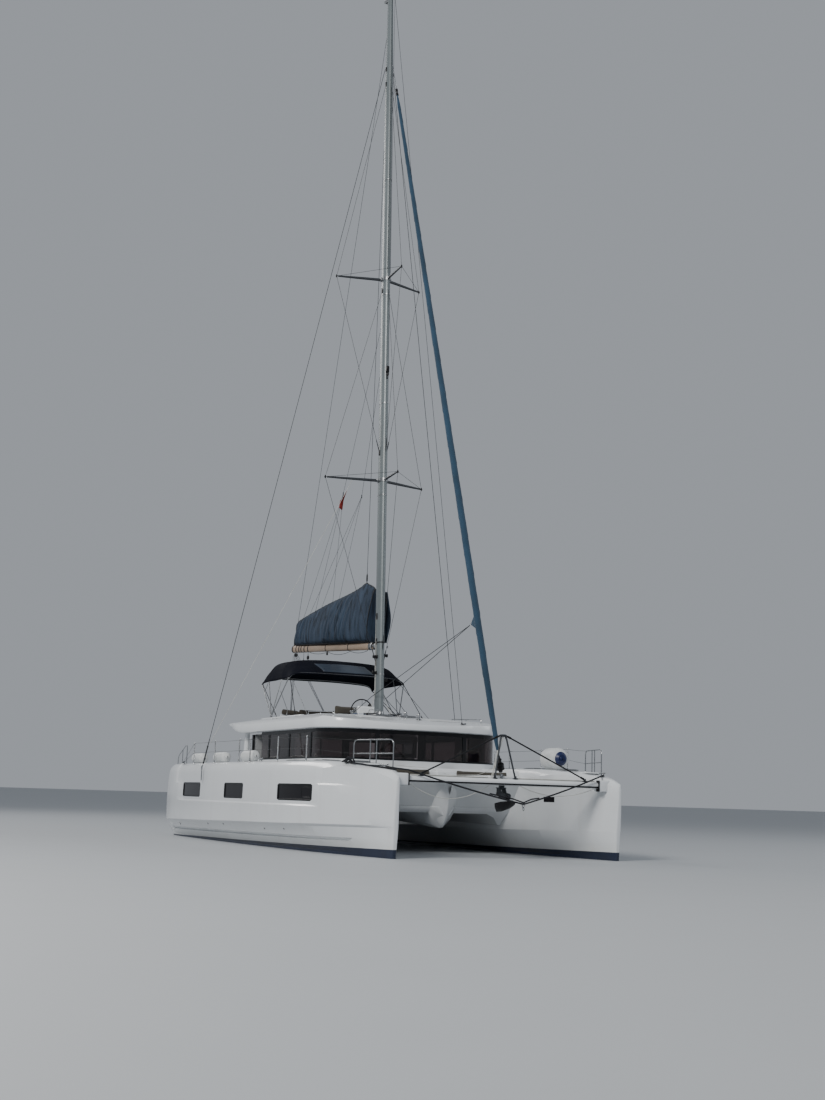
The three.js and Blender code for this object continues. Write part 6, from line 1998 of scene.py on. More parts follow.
        # The dock line lies along the starboard side deck, knotted at its aft end
        line = [Vector((x, y, 0)) for x,
                y in ((5.74, -3.35), (5.95, -3.33), (6.15, -3.25), (6.35, -3.16), (6.55, -3.07),
                                               (6.75, -2.98), (6.90, -2.87), (6.98, -2.76))]
        fine = [a.lerp(b, t / 3) for a, b in zip(line, line[1:]) for t in range(3)] + line[-1:]
        for k, point in enumerate(fine):
            point.z = deck_z(point.x, point.y) + 0.019
            point.y += 0.006 * math.sin(k * 1.1)
        free_rope("dock_line", fine, 0.019, "dark_rope")
        bm = bmesh.new()
        centre = Vector((5.66, -3.35, deck_z(5.66, 3.35) + 0.06))
        knot = [centre + Vector((0.15 * math.sin(2 * a) + 0.05 * math.sin(5 * a), 0.08 * math.sin(3 * a),
                                 0.045 * math.cos(5 * a) + 0.02 * math.sin(7 * a))) for a in angles(89)]
        pipe(bm, knot, 0.019, 8, closed=True)
        piece("dock_line_knot", bm, "dark_rope", smooth=60)


# Flybridge: console, wheel, seats and the awning on its frame
BIMINI = [(-4.42, 4.50, 4.70), (-4.20, 4.545, 4.99), (-3.88, 4.555, 5.19), (-3.30, 4.56, 5.24),
          (-2.80, 4.57, 5.19),
          (-2.45, 4.58, 4.99), (-2.18, 4.59, 4.74)]
BIMINI_ARCH = [(0.0, 1.0, 0.0), (0.1, 0.985, 0.26), (0.22, 0.95, 0.55), (0.35, 0.87, 0.77),
               (0.52, 0.70, 0.90),
               (0.76, 0.35, 0.975), (1.0, 0.0, 1.0)]
BIMINI_SIDE = 1.80
BOWS = (-4.38, -3.80, -2.80, -2.22)
PIVOT_X = -2.95


def bimini_point(x, t):
    """A point of the awning: t is -1 at its starboard edge, 0 at its crown and 1 at its port edge."""
    edge, crown = table_at(BIMINI, x)
    share, rise = table_at(BIMINI_ARCH, 1 - abs(t))
    side = math.copysign(min(share, 1.0), t) if t else 0.0
    # Between the bows the cloth hangs a little
    hollow = 0.0
    for low, high in zip(BOWS, BOWS[1:]):
        if low < x < high:
            hollow = 0.022 * math.sin(math.pi * (x - low) / (high - low)) ** 2
    rise = max(rise, 0.0)
    wave = 0.006 * math.sin(9.0 * x + 5.0 * t) * math.sin(4.0 * t + 2.0 * x)
    return Vector((x, side * (BIMINI_SIDE - hollow * (1 - rise)),
                   mix(edge, crown, rise) - hollow * rise + wave * rise))


def pad_shape(bm, x0, x1, y0, y1, z0, z1, corner=0.05):
    """The blank a pad is blown up from: a box with round corners."""
    block(bm, x0, x1, y0, y1, z0, z1, min(corner, 0.45 * abs(z1 - z0)), 3)


def remeshed(name, bm, voxel):
    """An object whose mesh has even cells all over."""
    mesh = bpy.data.meshes.new(name)
    bm.to_mesh(mesh)
    bm.free()
    item = new_object(name, mesh)
    modifier(item, "REMESH", mode="VOXEL", voxel_size=voxel, use_smooth_shade=True)
    dense = bpy.data.meshes.new_from_object(shaped(item))
    item.modifiers.clear()
    item.data = dense
    bpy.data.meshes.remove(mesh)
    return item


def blown_up(name, bm, voxel=0.03, cap=0.024, seams=()):
    """Pads swollen by cloth simulation, by no more than cap, with piping along each closed seam."""
    item = remeshed(name, bm, voxel)
    start = [vert.co.copy() for vert in item.data.vertices]
    swollen = start
    cloth = item.modifiers.new("Cloth", "CLOTH")
    for setting, value in (("quality", 4), ("mass", 0.4), ("tension_stiffness", 12),
                           ("compression_stiffness", 12),
                           ("bending_stiffness", 0.6), ("use_pressure", True),
                           ("uniform_pressure_force", 4.0)):
        setattr(cloth.settings, setting, value)
    cloth.settings.effector_weights.gravity = 0
    scene = bpy.context.scene
    scene.frame_start, scene.frame_end = 1, 20
    for frame_number in range(1, 21):
        scene.frame_set(frame_number)
    swollen = [vert.co.copy() for vert in shaped(item).data.vertices]
    item.modifiers.clear()
    scene.frame_set(1)
    for vert, before, after in zip(item.data.vertices, start, swollen):
        step = after - before
        if step.length > cap:
            step.length = cap
        vert.co = before + step
    item.data.materials.clear()
    item.data.materials.append(FINISHES["cushion"])
    smooth_shaded(item.data)
    modifier(item, "SUBSURF", levels=1, render_levels=1)
    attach(item, "root")
    if seams:
        tree = BVHTree.FromPolygons([vert.co for vert in item.data.vertices],
                                    [tuple(polygon.vertices) for polygon in item.data.polygons])
        lines = bmesh.new()
        for seam in seams:
            centre = sum(seam, Vector()) / len(seam)
            loop = []
            for point in seam:
                out = (point - centre).normalized()
                hit = tree.ray_cast(point + out * 0.12, -out, 0.3)[0]
                loop.append(hit if hit is not None else point)
            pipe(lines, loop, 0.0055, 6, closed=True)
        piece(f"{name}_piping", lines, "piping", smooth=60)


def seam_round(x0, x1, y0, y1, z, corner=0.05):
    """The points of a closed rectangle with round corners, at one height."""
    points = []
    for cx, cy, start in ((x1 - corner, y1 - corner, 0), (x0 + corner, y1 - corner, 1),
                          (x0 + corner, y0 + corner, 2),
                          (x1 - corner, y0 + corner, 3)):
        for k in range(5):
            a = math.pi / 2 * (start + k / 4)
            points.append((cx + corner * math.cos(a), cy + corner * math.sin(a)))
    line = []
    for (ax, ay), (bx, by) in zip(points, points[1:] + points[:1]):
        count = max(int(math.dist((ax, ay), (bx, by)) / 0.06), 1)
        line += [Vector((mix(ax, bx, k / count), mix(ay, by, k / count), z)) for k in range(count)]
    return line


class MakeHelm(bpy.types.Operator):
    """Builds the helm console with its instruments, and the steering wheel"""

    bl_idname = "catamaran.helm"
    bl_label = "Helm"

    def execute(self, context):
        bm = bmesh.new()
        profile = [(-0.88, 3.131), (-0.60, 3.131), (-0.60, 3.76), (-0.69, 3.80), (-0.83, 3.70), (-0.90, 3.40)]
        skin(bm, [[(x, y, z) for x, z in profile] for y in (-0.33, 0.42)], ends=True)
        bevel(bm, list(bm.edges), 0.035, 4)
        paint(bm, 0)
        # The face with the instruments: its upper edge, the way down along it and the way out of it
        edge = Vector((-0.832, 0, 3.695))
        down = Vector((-0.07, 0, -0.30)).normalized()
        out = Vector((down.z, 0, -down.x))

        def panel(y0, y1, start, length, proud):
            centre = edge + down * (start + length / 2)
            place = Matrix.Translation((centre.x, (y0 + y1) / 2, centre.z))
            turn = Matrix.Rotation(math.atan2(-down.x, -down.z), 4, "Y")
            cube(bm, place @ turn, (proud * 2, y1 - y0, length), min(0.01, proud * 0.8))

        panel(-0.27, 0.36, 0.015, 0.235, 0.007)
        paint(bm, 1)
        panel(-0.10, 0.19, 0.04, 0.18, 0.012)
        paint(bm, 2)
        for y in (-0.20, 0.27):
            for drop in (0.085, 0.185):
                turned(bm, [(0.0, 0.0), (0.040, 0.0), (0.042, 0.012), (0.034, 0.014), (0.033, 0.010),
                            (0.0, 0.010)],
                       edge + Vector((0, y, 0)) + down * drop + out * 0.004, out, 24)
        paint(bm, 3)
        turned(bm, [(0.0, 0.0), (0.06, 0.0), (0.06, 0.02), (0.05, 0.05), (0.028, 0.072), (0.0, 0.08)],
               (-0.70, 0.045, 3.79), sides=28)
        paint(bm, 1)
        # Throttle box on the console's starboard end
        block(bm, -0.80, -0.66, -0.395, -0.325, 3.50, 3.60, 0.012)
        for x in (-0.76, -0.70):
            pipe(bm, bent([(x, -0.36, 3.59), (x - 0.02, -0.365, 3.68), (x - 0.02, -0.40, 3.70)], 0.02), 0.009,
                 10)
            ball(bm, (x - 0.02, -0.405, 3.70), 0.016, 12)
        paint(bm, 4)
        piece("console", bm, "gelcoat black port_glass gloss_black steel", replaces=["helm_console"])

        bm = bmesh.new()
        centre = Vector((-1.0, -0.06, 3.665))
        pipe(bm, [centre + Vector((0, 0.33 * math.cos(a), 0.33 * math.sin(a))) for a in angles(64)], 0.0175,
             14,
             closed=True)
        paint(bm, 0)
        for k in range(5):
            a = 2 * math.pi * (k / 5 + 0.25)
            way = Vector((0, math.cos(a), math.sin(a)))
            pipe(bm, [centre + way * 0.03 + Vector((0.012, 0, 0)), centre + way * 0.2 + Vector((0.006, 0, 0)),
                      centre + way * 0.328], [0.012, 0.0085, 0.0075], 10)
        turned(bm, [(0.0, -0.06), (0.034, -0.06), (0.036, -0.02), (0.05, 0.0), (0.046, 0.02), (0.022, 0.034),
                    (0.0, 0.036)], centre, (-1, 0, 0), 28)
        paint(bm, 1)
        piece("wheel", bm, "black steel", body="steering_wheel", replaces=["steering_wheel"],
              smooth=50)
        bm = bmesh.new()
        rod(bm, (-0.94, -0.06, 3.665), (-0.86, -0.06, 3.665), 0.026, sides=24)
        piece("wheel_shaft", bm, "steel")
        return {"FINISHED"}


class MakeSeats(bpy.types.Operator):
    """Builds the seats of flybridge, saloon and cockpits, with pads swollen by cloth simulation"""

    bl_idname = "catamaran.seats"
    bl_label = "Seats and cushions"

    def execute(self, context):
        bm = bmesh.new()
        block(bm, -2.15, -1.73, -0.44, 0.49, 3.131, 3.44, 0.03, 3)
        block(bm, -2.155, -2.09, -0.44, 0.49, 3.40, 3.66, 0.02, 3)
        piece("helm_seat_base", bm, "gelcoat", replaces=["helm_seat"])
        bm = bmesh.new()
        pad_shape(bm, -2.08, -1.74, -0.42, 0.02, 3.455, 3.545)
        pad_shape(bm, -2.08, -1.74, 0.045, 0.475, 3.455, 3.545)
        pad_shape(bm, -2.145, -2.045, -0.42, 0.475, 3.585, 3.865, 0.045)
        blown_up("helm_seat_pads", bm, seams=[seam_round(-2.08, -1.74, -0.42, 0.02, 3.535),
                                              seam_round(-2.08, -1.74, 0.045, 0.475, 3.535)])

        bm = bmesh.new()
        block(bm, -3.64, -3.08, -1.45, 0.29, 3.131, 3.44, 0.03, 3)
        block(bm, -3.734, -3.66, -1.45, 0.29, 3.131, 3.60, 0.02, 3)
        piece("fly_settee_base", bm, "gelcoat", replaces=["fly_settee"])
        bm = bmesh.new()
        seams = []
        for y0, y1, top in ((-1.44, -0.90, 3.755), (-0.88, 0.28, 3.80)):
            pad_shape(bm, -3.60, -3.10, y0, y1, 3.455, 3.545)
            pad_shape(bm, -3.70, -3.61, y0, y1, 3.585, top, 0.04)
            seams.append(seam_round(-3.60, -3.10, y0, y1, 3.535))
        blown_up("fly_settee_pads", bm, seams=seams)

        bm = bmesh.new()
        for y0, y1, aft in ((-1.47, -0.94, 0.93), (-0.92, 0.92, 1.55), (0.94, 1.47, 0.93)):
            pad_shape(bm, aft, 2.06, y0, y1, 1.575, 1.645)
            pad_shape(bm, 2.06, 2.15, y0, y1, 1.66, 1.95, 0.04)
        blown_up("saloon_pads", bm, cap=0.014)
        rounded(piece("saloon_settee_base", copy_of("saloon_settee"), "wood", replaces=["saloon_settee"],
                      tidy=False), 0.012)

        bm = bmesh.new()
        seams = []
        for y0, y1 in ((-1.03, -0.01), (0.01, 1.03)):
            pad_shape(bm, -6.13, -5.58, y0, y1, 1.615, 1.69)
            pad_shape(bm, -6.135, -6.055, y0, y1, 1.72, 2.02, 0.035)
            seams.append(seam_round(-6.13, -5.58, y0, y1, 1.683))
        blown_up("cockpit_pads", bm, seams=seams, cap=0.016)

        # Pads on the front wall, for those who lean back on the nets
        bm = bmesh.new()
        for y0, y1 in ((-1.98, -0.62), (0.14, 1.56)):
            pad_shape(bm, 4.315, 4.385, y0, y1, 1.862, 2.012, 0.03)
        blown_up("front_pads", bm, cap=0.012, voxel=0.022)

        bm = bmesh.new()
        for y0, y1 in ((-1.42, -0.02), (0.02, 1.42)):
            pad_shape(bm, 3.06, 3.62, y0, y1, 1.475, 1.55)
        blown_up("forward_cockpit_pads", bm, cap=0.016)
        bm = bmesh.new()
        block(bm, 3.03, 3.64, -1.46, 1.46, 1.415, 1.462, 0.01)
        piece("forward_cockpit_seat", bm, "gelcoat")
        return {"FINISHED"}


class MakeAwning(bpy.types.Operator):
    """Builds the awning over the flybridge: its cloth, window panel, hems, and the folding frame under it"""

    bl_idname = "catamaran.awning"
    bl_label = "Awning"

    def execute(self, context):
        bm = bmesh.new()
        across, along = 56, 64
        rows = []
        for i in range(along + 1):
            x = mix(BIMINI[0][0], BIMINI[-1][0], i / along)
            rows.append([bimini_point(x, t) for t in (2 * k / across - 1 for k in range(across + 1))])
        skin(bm, rows, closed=False)
        item = piece("awning_cloth", bm, "canvas", replaces=["bimini_canopy"], smooth=60)
        modifier(item, "SOLIDIFY", thickness=0.0022, offset=-1.0)
        self.hems()
        self.window()
        self.frame()
        return {"FINISHED"}

    def hems(self):
        """The awning's edges and its seams."""
        bm = bmesh.new()
        steps = 56
        for x in (BIMINI[0][0], BIMINI[-1][0]):
            pipe(bm, [bimini_point(x, 2 * k / steps - 1) for k in range(steps + 1)], 0.009, 8)
        for t in (-1, 1):
            pipe(bm, [bimini_point(mix(BIMINI[0][0], BIMINI[-1][0], k / 40), t) for k in range(41)], 0.009, 8)
        for x in BOWS[1:3]:
            for shift in (-0.03, 0.03):
                line = [bimini_point(x + shift,
                                     1.9 * k / steps - 0.95) + Vector((0, 0,
                                                                       0.002)) for k in range(steps + 1)]
                pipe(bm, line, 0.0022, 5)
        for t in (-0.36, 0.36):
            line = [bimini_point(mix(BIMINI[0][0] + 0.01, BIMINI[-1][0] - 0.01, k / 40),
                                 t) + Vector((0, 0, 0.0015))
                    for k in range(41)]
            pipe(bm, line, 0.0025, 5)
        return piece("awning_hems", bm, "canvas", smooth=60)

    def window(self):
        """The clear panel in the front slope, through which the sail is seen from the wheel."""
        bm = bmesh.new()
        rows = []
        for share in (i / 12 for i in range(13)):
            x = mix(-2.60, -2.27, share)
            low, high = mix(-0.90, -0.73, share) / BIMINI_SIDE, mix(0.70, 0.86, share) / BIMINI_SIDE
            rows.append([bimini_point(x, self.place_of_share(mix(low, high, k / 24))) + Vector((0.0035, 0,
                                                                                                0.0035))
                         for k in range(25)])
        skin(bm, rows, closed=False)
        item = piece("awning_window", bm, "vinyl_panel", smooth=60)
        modifier(item, "SOLIDIFY", thickness=0.001, offset=0.0)
        return item

    def place_of_share(self, share):
        """The awning's t at which its cloth stands this share of its half width off the middle."""
        points = sorted((table_at(BIMINI_ARCH, 1 - k / 40)[0], k / 40) for k in range(41))
        return math.copysign(line_at(points, abs(share)), share)

    def frame(self):
        """The bows on their pivots, the struts that hold them up and the straps that hold them down."""
        bm = bmesh.new()
        top = COAMING_TOP
        for side in (-1, 1):
            block(bm, PIVOT_X - 0.06, PIVOT_X + 0.06, side * 1.985, side * 2.045, top - 0.012, top + 0.008,
                  0.006)
            for x in (PIVOT_X - 0.025, PIVOT_X + 0.025):
                block(bm, x - 0.005, x + 0.005, side * 1.99, side * 2.04, top, top + 0.05, 0.004)
            rod(bm, (PIVOT_X - 0.04, side * 2.015, top + 0.025), (PIVOT_X + 0.04, side * 2.015, top + 0.025),
                0.007, sides=10)
        for x in BOWS:
            leg_x, leg_z = mix(PIVOT_X, x, 0.97), bimini_point(x, -1.0).z - 0.03
            points = [Vector((PIVOT_X, -2.015, top + 0.025)), Vector((leg_x, -1.815, leg_z))]
            for k in range(29):
                point = bimini_point(x, mix(-0.985, 0.985, k / 28))
                points.append(point + Vector((0, -point.y * 0.008, -0.016)))
            points += [Vector((leg_x, 1.815, leg_z)), Vector((PIVOT_X, 2.015, top + 0.025))]
            pipe(bm, points, 0.0150 if x in (BOWS[0], BOWS[-1]) else 0.013, 10)
        # Struts between the legs of the bows
        for side in (-1, 1):
            pipe(bm, [(-4.02, side * 1.86, 4.24), (-3.86, side * 1.80, 4.54)], 0.009, 8)
            pipe(bm, [(-2.78, side * 1.83, 4.22), (-2.00, side * 1.90, 3.64),
                      (-1.96, side * 1.93, top + 0.02)], 0.009, 8)
            block(bm, -1.99, -1.93, side * 1.98, side * 1.92, top - 0.01, top + 0.045, 0.005)
            pipe(bm, [(-2.222, side * 1.72, 4.56), (-0.48, side * 1.89, 3.43)], 0.0075, 8)
            turned(bm, [(0.0, 0.0), (0.026, 0.0), (0.024, 0.008), (0.010, 0.012), (0.010, 0.03), (0.0, 0.03)],
                   (-0.48, side * 1.89, roof_top(-0.48, 1.89) - 0.002), sides=14)
        paint(bm, 0)
        for side in (-1, 1):
            for start, end in (((-4.39, side * 1.79, 4.52), (-2.50, side * 2.02, top + 0.004)),
                               ((-2.20, side * 1.79, 4.60), (-1.15, side * 1.99, top + 0.004))):
                start, end = Vector(start), Vector(end)
                pipe(bm, [start, end], 0.010, 8)
                pipe(bm, [start.lerp(end, 0.86), start.lerp(end, 0.93)], 0.016, 8)
        paint(bm, 1)
        piece("awning_frame", bm, "alloy black", replaces=["bimini_frame"], smooth=50)


# Rig: spars and wires, stowed sails and running rigging
RIG = Matrix.Translation((0, 0, MAST_FOOT_Z)) @ Matrix.Rotation(-MAST_RAKE, 4, "Y")
BOOM_FRAME = Matrix.Translation(GOOSENECK) @ Matrix.Rotation(BOOM_TILT, 4, "Y")
MAST_SCALE = [(0.0, 1.0), (14.5, 0.97), (19.5, 0.88), (21.93, 0.62)]
SPREADERS = (("spreaders_lower", 10.15, 1.52, 0.57, 0.99), ("spreaders_upper", 16.2, 1.34, 0.52, 1.05))
STAY_FOOT, STAY_HEAD = Vector((6.85, -0.03, 1.90)), Vector((-0.5385, 0, 23.0))
PEAK = Vector((-1.09, 0, 7.33))
COVER = [(-5.90, 0.055, 0.86), (-5.84, 0.085, 0.885), (-5.0, 0.16, 1.06), (-3.5, 0.225, 1.33),
         (-2.0, 0.255, 1.55),
         (-1.22, 0.255, 1.70), (-0.84, 0.24, 1.81), (-0.72, 0.235, 1.79), (-0.50, 0.225, 1.73),
         (-0.34, 0.215, 1.69),
         (-0.17, 0.185, 1.60)]
COVER_FOOT = 0.112


def up(z):
    """How far along the mast a height above the water lies."""
    return (z - MAST_FOOT_Z) / math.cos(MAST_RAKE)


def mast_ring(height, grow=0.0):
    scale = line_at(MAST_SCALE, height)
    return [(math.cos(a) * (0.19 * scale + grow), math.sin(a) * (0.11 * scale + grow),
             height) for a in angles(40)]


def tip_of(number, side):
    """The end of a spreader, or of the strut in front of the mast when side is 0."""
    _, z, reach, sweep, strut = SPREADERS[number]
    local = (strut, 0, up(z) + 0.04) if side == 0 else (-sweep, side * reach, up(z) + 0.06)
    return RIG @ Vector(local)


def wire(bm, start, end, radius, fitting=0.0):
    """A taut wire; its lower end can have a thicker tension screw, whose radius is given."""
    start, end = Vector(start), Vector(end)
    pipe(bm, [start, end], radius, 7)
    if fitting:
        low, high = (start, end) if start.z < end.z else (end, start)
        way = (high - low).normalized()
        pipe(bm, [low + way * t for t in (0.04, 0.07, 0.37, 0.42)], [radius, fitting, fitting, radius], 10)


def block_and_shackle(bm, top, size):
    """A black block with its cheeks, hanging from its shackle."""
    pipe(bm, [top, top - UP * size * 0.9], size * 0.16, 8)
    centre = top - UP * size * 1.7
    cheek = scaled([(0.0, 0.0), (1.0, 0.0), (0.95, 0.16), (0.5, 0.26), (0.0, 0.28)], size)
    for way in (-1, 1):
        turned(bm, cheek, centre + Vector((0, way * size * 0.16, 0)), (0, way, 0), 20)
    sheave(bm, centre, size * 0.82, size * 0.72, size * 0.15)


def strung(name, bm, finishes):
    """Lines between the boat and the boom, left in the boat's frame with no body to ride on."""
    item = piece(name, bm, finishes, body=None, smooth=60)
    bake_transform(item)


class MakeMast(bpy.types.Operator):
    """Builds the mast with its track, fittings and masthead, and the spreaders"""

    bl_idname = "catamaran.mast"
    bl_label = "Mast and spreaders"

    def execute(self, context):
        self.tube()
        self.fittings()
        for number in (0, 1):
            self.spreaders(number)
        return {"FINISHED"}

    def tube(self):
        bm = bmesh.new()
        top = up(MASTHEAD_Z)
        heights = [0.0, 0.6, 1.2, 2.0, 3.0, 5.0, 7.0, 9.0, 11.0, 13.0, 14.5, 16.0, 17.5, 19.5, 20.5, 21.4,
                   top]
        skin(bm, [mast_ring(h) for h in heights], ends=True)
        # The track that the sail's slides run in
        rows = []
        for h in [2.35] + [h for h in heights if h > 2.35]:
            aft = -0.19 * line_at(MAST_SCALE, h)
            rows.append([(aft - 0.012, -0.014, h), (aft - 0.012, 0.014, h), (aft + 0.012, 0.014, h),
                         (aft + 0.012, -0.014, h)])
        skin(bm, rows, ends=True)
        paint(bm, 0)
        for z in (4.62, 9.70, 12.4, 15.7, 19.3):
            h = up(z)
            skin(bm, [mast_ring(h, 0.003), mast_ring(h, 0.006), mast_ring(h + 0.03, 0.006),
                      mast_ring(h + 0.03, 0.003)])
        # The foot's collar
        skin(bm, [[(math.cos(a) * gx, math.sin(a) * gy, h) for a in angles(40)]
                  for gx, gy, h in ((0.245, 0.165, -0.06), (0.245, 0.165, 0.025), (0.236, 0.156, 0.04),
                                    (0.205, 0.126, 0.046),
                                    (0.196, 0.116, 0.12), (0.192, 0.112, 0.125))], ends=True)
        # Masthead crane with its sheaves
        outline = [(-0.33, -0.06), (-0.29, -0.085), (-0.09, -0.13), (0.15, -0.13), (0.25, -0.05),
                   (0.26, 0.005),
                   (0.245, 0.02), (-0.315, 0.02), (-0.33, 0.005)]
        for y0, y1 in ((-0.052, -0.030), (0.030, 0.052), (-0.006, 0.006)):
            skin(bm, [[(x, y, top + z) for x, z in outline] for y in (y0, y1)], ends=True)
        block(bm, -0.31, 0.23, -0.053, 0.053, top + 0.008, top + 0.022, 0.004)
        paint(bm, 1)
        for x, z in ((-0.27, -0.025), (0.20, -0.03)):
            for y in (-0.018, 0.018):
                sheave(bm, (x, y, top + z), 0.048, 0.040, 0.009)
        paint(bm, 2)
        bmesh.ops.transform(bm, matrix=RIG, verts=bm.verts)
        piece("mast_tube", bm, "spar alloy black", replaces=["mast"], smooth=40)

    def fittings(self):
        """Gooseneck, winches, lamp, masthead light, aerial and wind gauge."""
        top = up(MASTHEAD_Z)
        bm = bmesh.new()
        neck = up(5.47)
        for way in (-1, 1):
            low, high = sorted((neck + way * 0.066, neck + way * 0.090))
            block(bm, -0.368, -0.12, -0.038, 0.038, low, high, 0.008)
        block(bm, -0.215, -0.165, -0.055, 0.055, neck - 0.13, neck + 0.13, 0.01)
        rod(bm, (-0.33, 0, neck - 0.104), (-0.33, 0, neck + 0.104), 0.014, sides=14)
        turned(bm, [(0.0, 0.0), (0.026, 0.0), (0.026, 0.012), (0.0, 0.014)], (-0.33, 0, neck + 0.092),
               sides=16)
        for side, z, x in ((1, 5.17, 0.03), (-1, 5.12, 0.05), (-1, 4.68, 0.02), (1, 4.5, 0.03)):
            winch = [(0.0, 0.0), (0.055, 0.0), (0.055, 0.012), (0.040, 0.025), (0.037, 0.07), (0.050, 0.10),
                     (0.050, 0.115),
                     (0.03, 0.125), (0.0, 0.126)]
            turned(bm, winch, (x, side * 0.104, up(z)), (0, side, 0), 22)
        for side, z in ((-1, 5.55), (1, 5.62), (-1, 6.25), (1, 6.4)):
            block(bm, -0.03, 0.05, side * 0.100, side * 0.122, up(z) - 0.09, up(z) + 0.09, 0.008)
        paint(bm, 0)
        # The lamp that lights the foredeck, with its guard
        block(bm, 0.175, 0.250, -0.050, 0.050, up(13.30), up(13.50), 0.02, 3)
        block(bm, 0.13, 0.20, -0.02, 0.02, up(13.12), up(13.42), 0.008)
        turned(bm, [(0.0, 0.0), (0.042, 0.0), (0.046, 0.05), (0.03, 0.085), (0.0, 0.09)],
               (0.205, 0, up(13.295)),
               (0.35, 0, -1), 20)
        paint(bm, 1)
        turned(bm, [(0.0, 0.0), (0.03, 0.0), (0.03, 0.05), (0.02, 0.07), (0.0, 0.072)],
               (-0.05, 0, top + 0.02), sides=18)
        paint(bm, 2)
        rod(bm, (-0.28, 0.03, top + 0.02), (-0.28, 0.03, top + 0.55), 0.006, 0.003, 8)
        pipe(bm, bent([(0.20, -0.02, top + 0.02), (0.20, -0.02, top + 0.20), (0.48, -0.02, top + 0.23)],
                      0.05), 0.006, 8)
        turned(bm, [(0.0, 0.0), (0.012, 0.0), (0.012, 0.05), (0.0, 0.052)], (0.47, -0.02, top + 0.205),
               sides=12)
        for a in angles(3):
            cup = Vector((0.47 + 0.05 * math.cos(a), -0.02 + 0.05 * math.sin(a), top + 0.262))
            rod(bm, (0.47, -0.02, top + 0.262), cup, 0.003, sides=6)
            ball(bm, cup, 0.014, 8)
        skin(bm,
             [[(0.38, y, top + 0.245), (0.30, y, top + 0.245), (0.26, y, top + 0.285), (0.30, y, top + 0.285)]
                  for y in (-0.022, -0.018)], ends=True)
        rod(bm, (0.36, -0.02, top + 0.225), (0.36, -0.02, top + 0.262), 0.004, sides=6)
        paint(bm, 0)
        bmesh.ops.transform(bm, matrix=RIG, verts=bm.verts)
        piece("mast_fittings", bm, "black gloss_black lamp", smooth=45)

        # The strap round mast and cover, with its ring
        bm = bmesh.new()
        h = up(5.50)
        skin(bm, [mast_ring(h, 0.004), mast_ring(h, 0.011), mast_ring(h + 0.035, 0.011),
                  mast_ring(h + 0.035, 0.004)])
        ring = RIG.inverted() @ Vector((-0.02, 0.21, 5.41))
        pipe(bm, [ring + Vector((0.028 * math.cos(a), 0, 0.028 * math.sin(a))) for a in angles(16)], 0.006, 8,
             closed=True)
        bmesh.ops.transform(bm, matrix=RIG, verts=bm.verts)
        piece("mast_strap", bm, "black")

        # Turning blocks beside the mast's foot
        bm = bmesh.new()
        for y in MAST_LINE_ROWS:
            sheave(bm, (0.10, y, roof_top(0.10, y) + 0.045), 0.030, 0.024, 0.012, 16)
        piece("foot_blocks", bm, "black")

    def spreaders(self, number):
        name, z, reach, sweep, strut = SPREADERS[number]
        h = up(z)
        bm = bmesh.new()
        scale = line_at(MAST_SCALE, h)
        ring = [(math.cos(a), math.sin(a)) for a in angles(36)]
        skin(bm, [[(c * (0.19 * scale + g), s * (0.11 * scale + g), h + dz) for c, s in ring]
                  for g,
                  dz in ((0.002, -0.055), (0.016, -0.05), (0.018, 0.0), (0.016, 0.05), (0.002, 0.055))])
        for side in (-1, 1):
            block(bm, -0.115, 0.035, side * 0.07, side * 0.17, h - 0.035, h + 0.045, 0.015, 3)
        block(bm, 0.15, 0.25, -0.045, 0.045, h - 0.03, h + 0.045, 0.015, 3)
        paint(bm, 0)
        for side in (-1, 1):
            root, tip = Vector((-0.04, side * 0.09, h)), Vector((-sweep, side * reach, h + 0.06))
            pipe(bm, [root.lerp(tip, t) for t in (0, 0.15, 0.45, 0.75, 0.97)],
                 [0.042, 0.041, 0.037, 0.031, 0.025], 16)
        root, tip = Vector((0.17, 0, h)), Vector((strut, 0, h + 0.04))
        pipe(bm, [root.lerp(tip, t) for t in (0, 0.3, 0.7, 0.97)], [0.034, 0.032, 0.027, 0.022], 14)
        paint(bm, 1)
        for tip, size in ((Vector((-sweep, reach, h + 0.06)), 0.030),
                          (Vector((-sweep, -reach, h + 0.06)), 0.030),
                          (Vector((strut, 0, h + 0.04)), 0.028)):
            ball(bm, tip, size, 16)
            turned(bm, [(0.0, -0.045), (0.014, -0.045), (0.022, -0.02), (0.022, 0.02), (0.014, 0.045),
                        (0.0, 0.045)], tip,
                   sides=16)
        paint(bm, 2)
        bmesh.ops.transform(bm, matrix=RIG, verts=bm.verts)
        piece(f"{name}_arms", bm, "alloy spreader black", replaces=[name], smooth=45)


